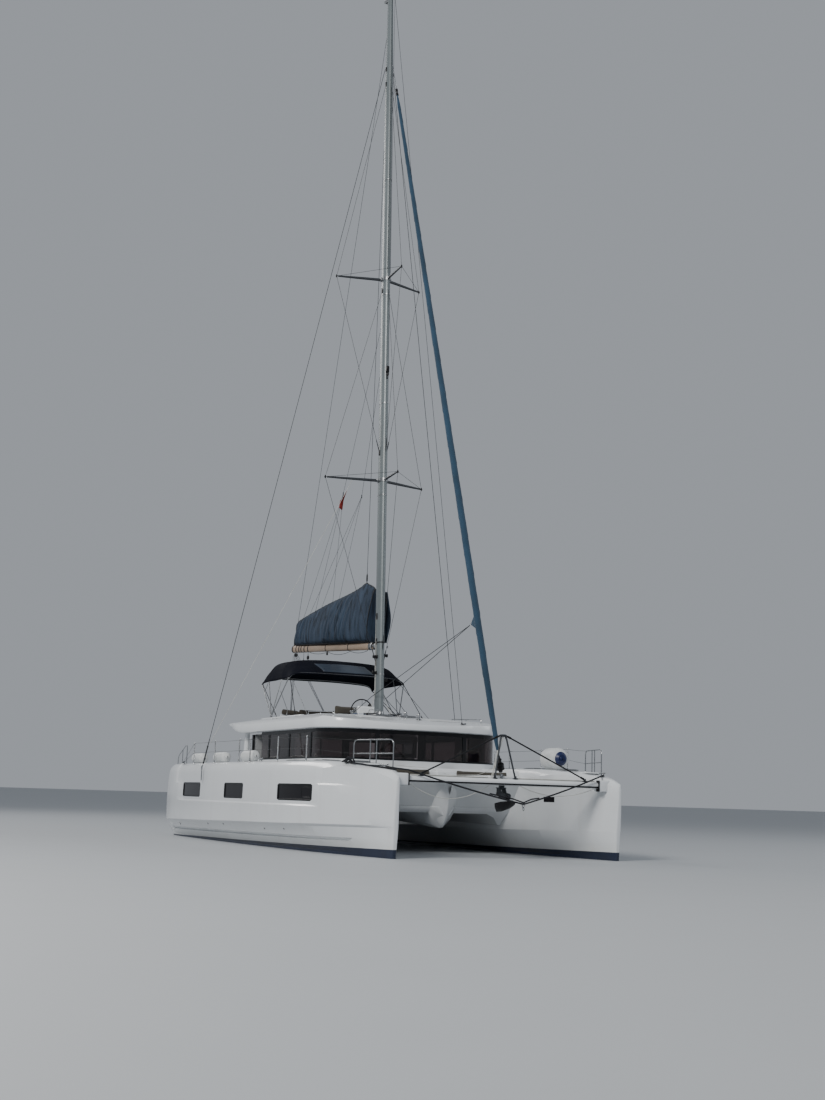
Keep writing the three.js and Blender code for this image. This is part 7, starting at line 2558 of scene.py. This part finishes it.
class MakeWires(bpy.types.Operator):
    """Builds the cap shrouds, the diamond wires, the lines at the mast and the flag"""

    bl_idname = "catamaran.wires"
    bl_label = "Standing rigging"

    def execute(self, context):
        radius = sizes().wire / 2
        for name, side in SIDES:
            bm = bmesh.new()
            foot = Vector((-2.75, side * 4.063, 1.93))
            head = RIG @ Vector((-0.02, side * 0.128, up(22.94)))
            pipe(bm, [foot, head], radius * 1.15, 8)
            way = (head - foot).normalized()
            pipe(bm, [foot + way * t for t in (0.10, 0.16, 0.20, 0.62, 0.66, 0.86)],
                 [0.010, 0.013, 0.019, 0.019, 0.013, 0.010], 12)
            for t in (0.18, 0.64):
                rod(bm, foot + way * (t - 0.018), foot + way * (t + 0.018), 0.023, sides=6)
            paint(bm, 0)
            block(bm, -2.782, -2.718, side * 4.054, side * 4.072, 1.62, 1.945, 0.006)
            for z in (1.66, 1.74, 1.82):
                rod(bm, (-2.75, side * 4.070, z), (-2.75, side * 4.078, z), 0.010, sides=6)
            block(bm, -2.775, -2.725, side * 4.045, side * 4.081, 1.915, 2.03, 0.008)
            rod(bm, (-2.75, side * 4.036, 1.985), (-2.75, side * 4.090, 1.985), 0.010, sides=10)
            paint(bm, 1)
            piece(f"cap_wire_{name}", bm, "wire steel", replaces=[f"cap_shroud_{name}"],
                  smooth=50)
        self.diamonds(radius)
        self.mast_lines()
        self.flag()
        return {"FINISHED"}

    def diamonds(self, radius):
        bm = bmesh.new()
        for side in (-1, 1):
            for number, low, high in ((0, 4.95, 15.85), (1, 10.95, 22.45)):
                tip = tip_of(number, side)
                half = 0.11 * line_at(MAST_SCALE, up(low))
                wire(bm, RIG @ Vector((0.0, side * half, up(low))), tip, radius * 0.8, 0.013)
                wire(bm, tip, RIG @ Vector((0.0, side * 0.108 * line_at(MAST_SCALE, up(high)), up(high))),
                     radius * 0.8)
                wire(bm, tip, tip_of(number, 0), radius * 0.7)
        for number, low, high in ((0, 5.3, 15.85), (1, 10.95, 22.3)):
            tip = tip_of(number, 0)
            wire(bm, RIG @ Vector((0.186 * line_at(MAST_SCALE, up(low)), 0, up(low))), tip, radius * 0.8,
                 0.013)
            wire(bm, tip, RIG @ Vector((0.186 * line_at(MAST_SCALE, up(high)), 0, up(high))), radius * 0.8)
        paint(bm, 0)
        for z in (4.95, 10.95, 15.85, 22.45, 22.94):
            h = up(z)
            scale = line_at(MAST_SCALE, h)
            for side in (-1, 1):
                verts = block(bm, -0.035, 0.035, side * (0.105 * scale), side * (0.105 * scale + 0.022),
                              h - 0.07, h + 0.07,
                              0.008)
                bmesh.ops.transform(bm, matrix=RIG, verts=list(set(verts)))
        paint(bm, 1)
        piece("diamond_wires", bm, "wire black", smooth=50)

    def mast_lines(self):
        """Halyards down the mast's sides and the spare one led to the roof."""
        bm = bmesh.new()
        for side, x, z in ((-1, 0.03, 5.55), (1, 0.02, 5.62), (-1, -0.02, 6.25), (1, -0.03, 6.4)):
            foot = Vector((0.10, side * (0.26 + 0.055 * (1 if z < 6 else 2)), 0))
            foot.z = roof_top(foot.x, foot.y) + 0.05
            pipe(bm, bent([RIG @ Vector((x, side * 0.119, up(z))), RIG @ Vector((x, side * 0.126, up(4.0))),
                           foot], 0.3, 6),
                 0.0055, 7)
        paint(bm, 0)
        for y in MAST_LINE_ROWS:
            line = [Vector((x, y, roof_top(x, y) + h)) for x,
                    h in ((0.10, 0.02), (0.22, 0.035), (0.40, 0.03))]
            pipe(bm, line, 0.0055, 7)
        for y, other in ((-0.315, -0.62), (0.37, 0.80)):
            pipe(bm,
                 [(0.19, y, roof_top(0.19, y) + 0.03), (-0.05, mix(y, other, 0.4), roof_top(-0.05, y) + 0.05),
                      (-0.30, other, roof_top(-0.3, other) + 0.06)], 0.0055, 7)
        paint(bm, 1)
        wire(bm, (-0.60, 0.03, 25.25), (2.5, 1.25, 3.30), 0.0055)
        for side, x in ((-1, 0.215), (1, 0.23)):
            wire(bm, RIG @ Vector((x, side * 0.04, up(25.25))), RIG @ Vector((0.20, side * 0.05, up(16.35))),
                 0.0045)
        turned(bm, [(0.0, 0.0), (0.04, 0.0), (0.036, 0.01), (0.018, 0.02), (0.016, 0.05), (0.0, 0.05)],
               (2.5, 1.25, roof_top(2.5, 1.25) - 0.004), sides=18)
        block(bm, 2.52, 2.72, 1.235, 1.265, roof_top(2.6, 1.25), roof_top(2.6, 1.25) + 0.03, 0.006)
        paint(bm, 2)
        piece("mast_lines", bm, "white_rope blue_rope dark_rope", smooth=60)

    def flag(self):
        """A small flag that hangs limp from its line below the starboard spreader."""
        _, z, reach, sweep, _ = SPREADERS[0]
        root, tip = Vector((-0.04, -0.09, up(z))), Vector((-sweep, -reach, up(z) + 0.06))
        top = RIG @ root.lerp(tip, 0.50) - Vector((0, 0, 0.04))
        foot = Vector((-2.62, -3.90, 2.66))
        bm = bmesh.new()
        pipe(bm, [top, foot], 0.003, 6)
        pipe(bm, [top + Vector((0.02, 0, 0)), foot + Vector((0.02, 0, 0))], 0.003, 6)
        way = (foot - top).normalized()
        piece("flag_line", bm, "white_rope", smooth=60)

        head = top + way * 0.28
        bm = bmesh.new()
        rows = []
        for i in range(25):
            u = i / 24
            bunch = step_up(0.0, 0.55, u)
            row = []
            for k in range(33):
                v = k / 32
                pleat = abs(((v * 3.5) % 1) * 2 - 1) - 0.5
                hoist = way * (0.30 * v)
                drop = Vector((-0.085 + 0.068 * pleat * (1 + 0.3 * u), -0.02 - 0.05 * v,
                               -0.03 - 0.06 * (1 - v) * u))
                base = hoist * (1 - bunch) + (way * 0.10 + drop + Vector((0.0, 0.02 * math.sin(5 * v),
                                                                          0))) * bunch
                row.append(head + base + Vector((-0.05 * u, -0.03 * u, -0.43 * u)))
            rows.append(row)
        skin(bm, rows, closed=False)
        item = piece("flag", bm, "flag", smooth=70)
        modifier(item, "SOLIDIFY", thickness=0.0012, offset=0.0)


class MakeBoom(bpy.types.Operator):
    """Builds the boom with its straps, blocks and sheets, and the sail cover on it"""

    bl_idname = "catamaran.boom"
    bl_label = "Boom and sail cover"

    def execute(self, context):
        self.spar()
        self.cover()
        self.flap()
        self.lines()
        return {"FINISHED"}

    def section(self, x, grow=0.0):
        """An upright oval, fuller than an ellipse."""
        def full(value):
            return math.copysign(abs(value) ** 0.85, value)

        return [(x, full(math.cos(a)) * (0.075 + grow),
                 full(math.sin(a)) * (0.1075 + grow)) for a in angles(40)]

    def spar(self):
        """The boom with its straps, its end cap and the neck that turns on the mast's pin."""
        bm = bmesh.new()
        rows = [self.section(-0.155, -0.030), self.section(-0.150, -0.012), self.section(-0.165, -0.004)]
        rows += [self.section(x) for x in (-0.18, -1.2, -2.4, -3.6, -4.8, -5.6, -6.09)]
        skin(bm, rows, ends=True)
        block(bm, -6.05, -0.30, -0.013, 0.013, 0.10, 0.117, 0.003)
        paint(bm, 0)
        # End cap with its sheaves
        skin(bm, [self.section(-6.055, 0.002), self.section(-6.055, 0.008), self.section(-6.132, 0.006),
                  self.section(-6.150, -0.010), self.section(-6.158, -0.04)], ends=True)
        for y in (-0.028, 0.028):
            sheave(bm, (-6.14, y, 0.0), 0.052, 0.044, 0.011)
        for x in (-5.78, -5.55, -5.36, -5.10, -4.80, -3.40, -1.72):
            wide = 0.028 if x < -4.7 else 0.020
            skin(bm,
                 [self.section(x - wide, 0.001), self.section(x - wide, 0.006), self.section(x + wide, 0.006),
                      self.section(x + wide, 0.001)])
        paint(bm, 1)
        skin(bm, [self.section(x, grow) for x,
                  grow in ((-0.13, -0.02), (-0.148, 0.004), (-0.30, 0.004), (-0.305, 0.001))])
        # Neck and barrel at the mast's pin
        pipe(bm, [(-0.19, 0, 0.0195), (-0.08, 0, 0.010), (-0.02, 0, 0.002)], [0.048, 0.042, 0.036], 20)
        bmesh.ops.transform(bm, matrix=BOOM_FRAME, verts=bm.verts)
        turned(bm, [(0.0155, -0.060), (0.034, -0.060), (0.036, -0.05), (0.036, 0.05), (0.034, 0.060),
                    (0.0155, 0.060)],
               GOOSENECK, RIG.to_3x3() @ UP, 24)
        paint(bm, 2)
        piece("boom_spar", bm, "boom_paint black alloy", body="boom", replaces=["boom"],
              smooth=40)

    def cover_point(self, x, t):
        """A point of the cover: t is -1 at its starboard foot, 0 along its top and 1 at its port foot."""
        half, top = table_at(COVER, x)
        shape = [(0.0, 0.35, 0.0), (0.10, 0.82, 0.05), (0.22, 0.98, 0.17), (0.38, 1.0, 0.34),
                 (0.58, 0.84, 0.56),
                 (0.76, 0.58, 0.76), (0.90, 0.28, 0.93), (0.97, 0.09, 0.992), (1.0, 0.0, 1.0)]
        reach, rise = table_at(shape, 1 - abs(t))
        rise = min(max(rise, 0.0), 1.0)
        z = mix(COVER_FOOT, top, rise)
        lean = x - 0.42 * (z - COVER_FOOT)
        amount = sizes().fold * step_up(0.0, 0.10, rise) * (1 - step_up(0.86, 1.0, rise)) * (
            0.55 + 0.45 * math.sin(2.1 * lean + 0.8)) * (1 - step_up(-0.9, -0.45, x) * 0.6)
        side = 1 if t > 0 else -1
        main = 1.15 * abs(math.sin(math.pi * lean / 0.36 + 0.5 * side)) ** 0.45 - 0.15
        fine = math.sin(2 * math.pi * (lean + 0.15 * z) / 0.165 + side) * (0.5 + 0.5 * math.sin(5.3 * lean))
        low = math.sin(2 * math.pi * (x - 0.9 * z) / 0.9 + side) * 0.5
        reach = max(reach,
                    0.0) * half + amount * (1.5 * main + 0.35 * fine + 0.4 * low) * (1 if abs(t) > 0.02
                                                                                     else 0)
        droop = 0.010 * math.sin(2 * math.pi * x / 0.5) * step_up(0.9, 1.0, rise)
        return Vector((x, side * reach, z - abs(droop)))

    def cover(self):
        """The padded cover of the stowed mainsail, with its hems, seams and aft strap."""
        bm = bmesh.new()
        xs = [mix(COVER[0][0], COVER[-1][0], k / 230) for k in range(231)]
        around = 56
        rows = [[self.cover_point(x, 2 * k / around - 1) for k in range(around + 1)] for x in xs]
        floor = [[row[-1].lerp(row[0], k / 4) for k in range(1, 4)] for row in rows]
        skin(bm, [row + low for row, low in zip(rows, floor)], ends=True)
        hems = bmesh.new()
        for t in (-1.0, 1.0):
            pipe(hems, [self.cover_point(x, t * 0.965) + Vector((0, t * 0.003, 0)) for x in xs[::3]], 0.018,
                 8)
        pipe(hems, [self.cover_point(x, 0) + Vector((0, 0, 0.002)) for x in xs[::2]], 0.015, 8)
        for x in (COVER[0][0] + 0.004, COVER[-1][0] - 0.01):
            pipe(hems, [self.cover_point(x, 2 * k / 60 - 1) for k in range(61)], 0.014, 8)
        # Seams between the panels
        for x in (-4.55, -3.05, -1.62):
            pipe(hems, [self.cover_point(x, 1.9 * k / 90 - 0.95) for k in range(91)], 0.0035, 5)
        # The strap that draws the cover's aft edge down to the boom's end
        tail = [self.cover_point(COVER[0][0], 0), Vector((-5.955, 0, 0.60)), Vector((-6.04, 0, 0.32)),
                Vector((-6.14, 0, 0.11)),
                Vector((-6.165, 0, -0.02))]
        pipe(hems, bent(tail, 0.1), 0.018, 8)
        for item in (bm, hems):
            bmesh.ops.transform(item, matrix=BOOM_FRAME, verts=item.verts)
        cloth = piece("sail_cover_cloth", bm, "cover", body="boom", replaces=["sail_cover"],
                      smooth=70)
        piece("sail_cover_hems", hems, "black", body="boom", smooth=70)

    def flap(self):
        """The cover's port front edge, which is laced past the mast."""
        bm = bmesh.new()
        rows = []
        for u in (i / 20 for i in range(21)):
            row = []
            for v in (k / 28 for k in range(29)):
                bulge = 0.06 * math.sin(math.pi * v) + 0.012 * math.sin(9 * v + 4 * u)
                row.append((mix(-0.66, 0.02, u) - 0.03 * v - 0.09 * u * abs(2 * v - 0.9) ** 2,
                            mix(0.155, 0.205, u) + bulge * (0.4 + 0.6 * u) + 0.02 * math.sin(math.pi * u),
                            mix(mix(5.62, 5.52, u), mix(7.05, 6.96, u), v)))
            rows.append(row)
        skin(bm, rows, closed=False)
        paint(bm, 0)
        bmesh.ops.solidify(bm, geom=bm.faces, thickness=0.004)
        item = piece("cover_flap", bm, "cover", body=None, smooth=70)
        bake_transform(item)

    def lines(self):
        """Topping lift, halyard, lazy jacks, mainsheet with its blocks, and the line that hangs in loops."""
        rope = sizes().rope / 2
        end = on_boom(-6.10, 0, 0.10)
        bm = bmesh.new()
        wire(bm, (-0.84, 0.05, 25.22), end, 0.0055)
        strung("topping_lift", bm, "dark_rope")

        bm = bmesh.new()
        wire(bm, (-0.86, -0.02, 25.2), PEAK + Vector((0, 0, 0.18)), 0.0065)
        paint(bm, 0)
        pipe(bm, [PEAK + Vector((0, 0, h)) for h in (-0.04, 0.02, 0.06, 0.20, 0.24, 0.27)],
             [0.008, 0.012, 0.022, 0.022, 0.012, 0.007], 12)
        paint(bm, 1)
        strung("main_halyard", bm, "dark_rope black")

        bm = bmesh.new()
        for side in (-1, 1):
            knot = Vector((-2.35, side * 0.30, 10.1))
            wire(bm, RIG @ Vector((-0.12, side * 0.10, up(14.6))), knot, 0.0045)
            for x in (-5.35, -4.37, -3.02):
                wire(bm, knot, BOOM_FRAME @ self.cover_point(x, side * 0.12), 0.004)
            pipe(bm, [knot + Vector((0, 0, 0.05)), knot - Vector((0, 0, 0.05))], 0.014, 8)
        strung("lazy_jacks", bm, "dark_rope")

        feet = [(side, Vector((-5.0, side * 0.62, 3.42))) for side in (-1, 1)]
        bm = bmesh.new()
        for side, foot in feet:
            for k, x in enumerate((-6.08, -5.95, -5.82)):
                top = on_boom(x, side * 0.03, -0.20)
                wire(bm, foot + Vector((0.03 * k - 0.03, 0, 0.16)), top, rope * 0.85)
        strung("mainsheet", bm, "dark_rope")
        bm = bmesh.new()
        for _, foot in feet:
            block_and_shackle(bm, foot + Vector((0, 0, 0.155)), 0.052)
            turned(bm, [(0.0, 0.0), (0.05, 0.0), (0.046, 0.01), (0.02, 0.02), (0.016, 0.05), (0.0, 0.052)],
                   (foot.x, foot.y, roof_top(foot.x, foot.y) - 0.004), sides=20)
        piece("sheet_foot_blocks", bm, "black")
        bm = bmesh.new()
        for x in (-6.0, -5.87):
            block_and_shackle(bm, on_boom(x, 0, -0.09), 0.055)
        for x, drop in ((-5.27, 0.20), (-4.92, 0.07)):
            top = on_boom(x, 0, -0.10)
            pipe(bm, [top, top - UP * drop], 0.006, 6)
            block_and_shackle(bm, top - UP * drop, 0.062)
        block_and_shackle(bm, on_boom(-3.40, 0, -0.10), 0.045)
        piece("boom_blocks", bm, "black", body="boom")

        points = []
        for start, finish, drop in ((-4.80, -3.40, 0.05), (-3.40, -1.72, 0.09), (-1.72, -0.50, 0.06)):
            points += hanging(on_boom(start, 0.02, -0.118), on_boom(finish, 0.02, -0.118), drop, 10)[:-1]
        points.append(on_boom(-0.50, 0.02, -0.118))
        free_rope("boom_line", points, 0.0065, "dark_rope", sides=7, body="boom")


class MakeHeadsail(bpy.types.Operator):
    """Builds the furled headsail on its foil, the furler and the sheets"""

    bl_idname = "catamaran.headsail"
    bl_label = "Furled headsail"

    def execute(self, context):
        self.roll()
        self.furler()
        self.sheets()
        return {"FINISHED"}

    def roll(self):
        """The sail rolled round its foil; its free edge winds round the roll."""
        bm = bmesh.new()
        wraps = sizes().wraps
        radii = [(0.0265, 0.024), (0.031, 0.036), (0.042, 0.052), (0.07, 0.064), (0.12, 0.074), (0.2, 0.080),
                 (0.3, 0.081),
                 (0.6, 0.068), (0.8, 0.056), (0.925, 0.044), (0.938, 0.030), (0.945, 0.018)]
        along = STAY_HEAD - STAY_FOOT
        frame_turn = UP.rotation_difference(along).to_matrix()
        count, sides = 420, 30
        rows = []
        for i in range(count + 1):
            share = mix(radii[0][0], radii[-1][0], i / count)
            base = line_at(radii, share)
            centre = STAY_FOOT + along * share
            row = []
            for k in range(sides):
                turn = k / sides
                phase = (turn + share * wraps) % 1.0
                edge = 0.0055 * (1 - phase) + 0.004 * math.exp(-((phase - 0.04) / 0.03) ** 2)
                wrinkle = 0.0016 * math.sin(2 * math.pi * (3 * phase + 7.3 * share)) * math.sin(40 * share
                                                                                                + 6 * phase)
                r = base + (edge + wrinkle) * min(base / 0.06, 1)
                row.append(centre + frame_turn @ Vector((r * math.cos(2 * math.pi * turn),
                                                         r * math.sin(2 * math.pi * turn), 0)))
            rows.append(row)
        skin(bm, rows, ends=True)
        # The clew that stands out of the roll, with its ring
        clew = Vector((5.20, -0.02, 5.53))
        corners = [STAY_FOOT + along * 0.162, STAY_FOOT + along * 0.188, clew]
        skin(bm, [[point + Vector((0, y, 0)) for point in corners] for y in (0.0, 0.006)], ends=True)
        paint(bm, 0)
        pipe(bm, [clew + Vector((-0.005 + 0.026 * math.cos(a), 0.003,
                                 0.026 * math.sin(a))) for a in angles(16)], 0.006, 8,
             closed=True)
        paint(bm, 1)
        pipe(bm, [STAY_FOOT + along * s for s in (0.002, 0.5, 0.952)], 0.016, 12)
        paint(bm, 2)
        pipe(bm, [STAY_FOOT + along * s for s in (0.945, 0.9995)], 0.010, 10)
        paint(bm, 1)
        for s in (0.9465, 0.9535):
            turned(bm, [(0.016, -0.045), (0.038, -0.045), (0.0399, 0.0), (0.038, 0.045), (0.016, 0.045)],
                   STAY_FOOT + along * s, along, 24)
        paint(bm, 3)
        piece("furled_sail", bm, "furled steel alloy black", replaces=["furled_headsail"],
              smooth=60)

    def furler(self):
        """The drum with its flanges, cage and line, the tack strap and its knots."""
        along = (STAY_HEAD - STAY_FOOT).normalized()
        base = STAY_FOOT + (STAY_HEAD - STAY_FOOT) * 0.0050
        bm = bmesh.new()
        turned(bm,
               [(0.017, -0.045), (0.045, -0.045), (0.05, 0.0), (0.094, 0.010), (0.099, 0.022), (0.094, 0.034),
                    (0.055, 0.044), (0.052, 0.065), (0.055, 0.115), (0.094, 0.130), (0.099, 0.142),
                (0.092, 0.154),
                    (0.060, 0.170), (0.048, 0.215), (0.062, 0.235), (0.062, 0.262), (0.040, 0.280),
                (0.034, 0.345),
                    (0.017, 0.352)], base, along, 36)
        turn = UP.rotation_difference(along).to_matrix()
        for a in angles(5):
            offset = turn @ Vector((0.092 * math.cos(a), 0.092 * math.sin(a), 0))
            rod(bm, base + offset + along * 0.012, base + offset + along * 0.146, 0.007, sides=8)
        paint(bm, 0)
        turned(bm, [(0.053, 0.050), (0.078, 0.056), (0.082, 0.084), (0.078, 0.108), (0.053, 0.114)], base,
               along, 30)
        paint(bm, 1)
        foot = STAY_FOOT
        block(bm, foot.x - 0.04, foot.x + 0.04, foot.y - 0.022, foot.y + 0.022, 1.80, foot.z + 0.02, 0.006)
        block(bm, foot.x - 0.10, foot.x + 0.14, -0.10, 0.06, 1.775, 1.812, 0.006)
        rod(bm, foot - Vector((0, 0.035, 0.02)), foot + Vector((0, 0.035, -0.02)), 0.010, sides=12)
        paint(bm, 2)
        # Tack strap: turns of white line between the drum and the sail
        strap = STAY_FOOT + (STAY_HEAD - STAY_FOOT) * 0.0300
        low = base + along * 0.33
        for k in range(4):
            shift = Vector((0.012 * math.cos(1.6 * k), 0.018 * math.sin(1.6 * k), 0))
            pipe(bm, [low + shift * 1.2, low.lerp(strap, 0.5) + shift * 0.8, strap + shift], 0.009, 7)
        paint(bm, 3)
        for share in (0.35, 0.78):
            ball(bm, low.lerp(strap, share) + Vector((0.0, 0.012, 0)), 0.018, 10)
        paint(bm, 0)
        piece("furler", bm, "black dark_rope steel white_rope", replaces=["furler_drum"],
              smooth=40)

        # The furling line runs aft along the walkway's starboard edge
        bm = bmesh.new()
        pipe(bm,
             bent([base + along * 0.082 + Vector((0, -0.078, 0)), (6.62, -0.32, 1.95), (6.3, -0.345, 1.885),
                       (4.9, -0.345, 1.885), (4.36, -0.56, 2.03), (4.10, -1.40, 2.09)], 0.12, 5), 0.005, 7)
        piece("furling_line", bm, "white_rope", smooth=60)

    def sheets(self):
        """The headsail's sheets, set up hard from the clew past the mast to the winches."""
        clew = Vector((5.175, -0.017, 5.52))
        bm = bmesh.new()
        for side, turn, winch in ((-1, (-0.10, -0.19, 4.02), (-0.36, -0.62)),
                                  (1, (0.02, 0.19, 3.98), (-0.36, 0.80))):
            end = Vector((winch[0] + 0.06, winch[1], roof_top(*winch) + 0.09))
            pipe(bm, [clew, Vector(turn), end], 0.0078, 8)
        piece("headsail_sheets", bm, "dark_rope", smooth=60)


STEPS = [MakeFinishes, MakeStage, MakeHulls, MakeUnderwaterGear, MakeSaloon, MakeRoof, MakeDeck,
         MakeDeckRails, MakeBow, MakeDeckLoad, MakeHelm, MakeSeats, MakeAwning,
         MakeMast, MakeWires, MakeBoom, MakeHeadsail]


class CatamaranPanel(bpy.types.Panel):
    """Lists the boat's building steps"""

    bl_idname = "VIEW3D_PT_catamaran"
    bl_label = "Sailing catamaran"
    bl_space_type = "VIEW_3D"
    bl_region_type = "UI"
    bl_category = "Catamaran"

    def draw(self, context):
        layout = self.layout
        for values in (context.scene.catamaran_colours, context.scene.catamaran_sizes):
            box = layout.box()
            for name in values.bl_rna.properties.keys():
                if name not in ("rna_type", "name"):
                    box.prop(values, name)
        for step in STEPS:
            layout.operator(step.bl_idname)


CLASSES = [CatamaranColours, CatamaranSizes, *STEPS, CatamaranPanel]


def register():
    for item in CLASSES:
        bpy.utils.register_class(item)
    bpy.types.Scene.catamaran_colours = bpy.props.PointerProperty(type=CatamaranColours)
    bpy.types.Scene.catamaran_sizes = bpy.props.PointerProperty(type=CatamaranSizes)


def unregister():
    del bpy.types.Scene.catamaran_sizes
    del bpy.types.Scene.catamaran_colours
    for item in reversed(CLASSES):
        bpy.utils.unregister_class(item)


def main():
    register()
    for step in STEPS:
        family, action = step.bl_idname.split(".")
        getattr(getattr(bpy.ops, family), action)()
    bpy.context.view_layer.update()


if __name__ == "__main__":
    main()
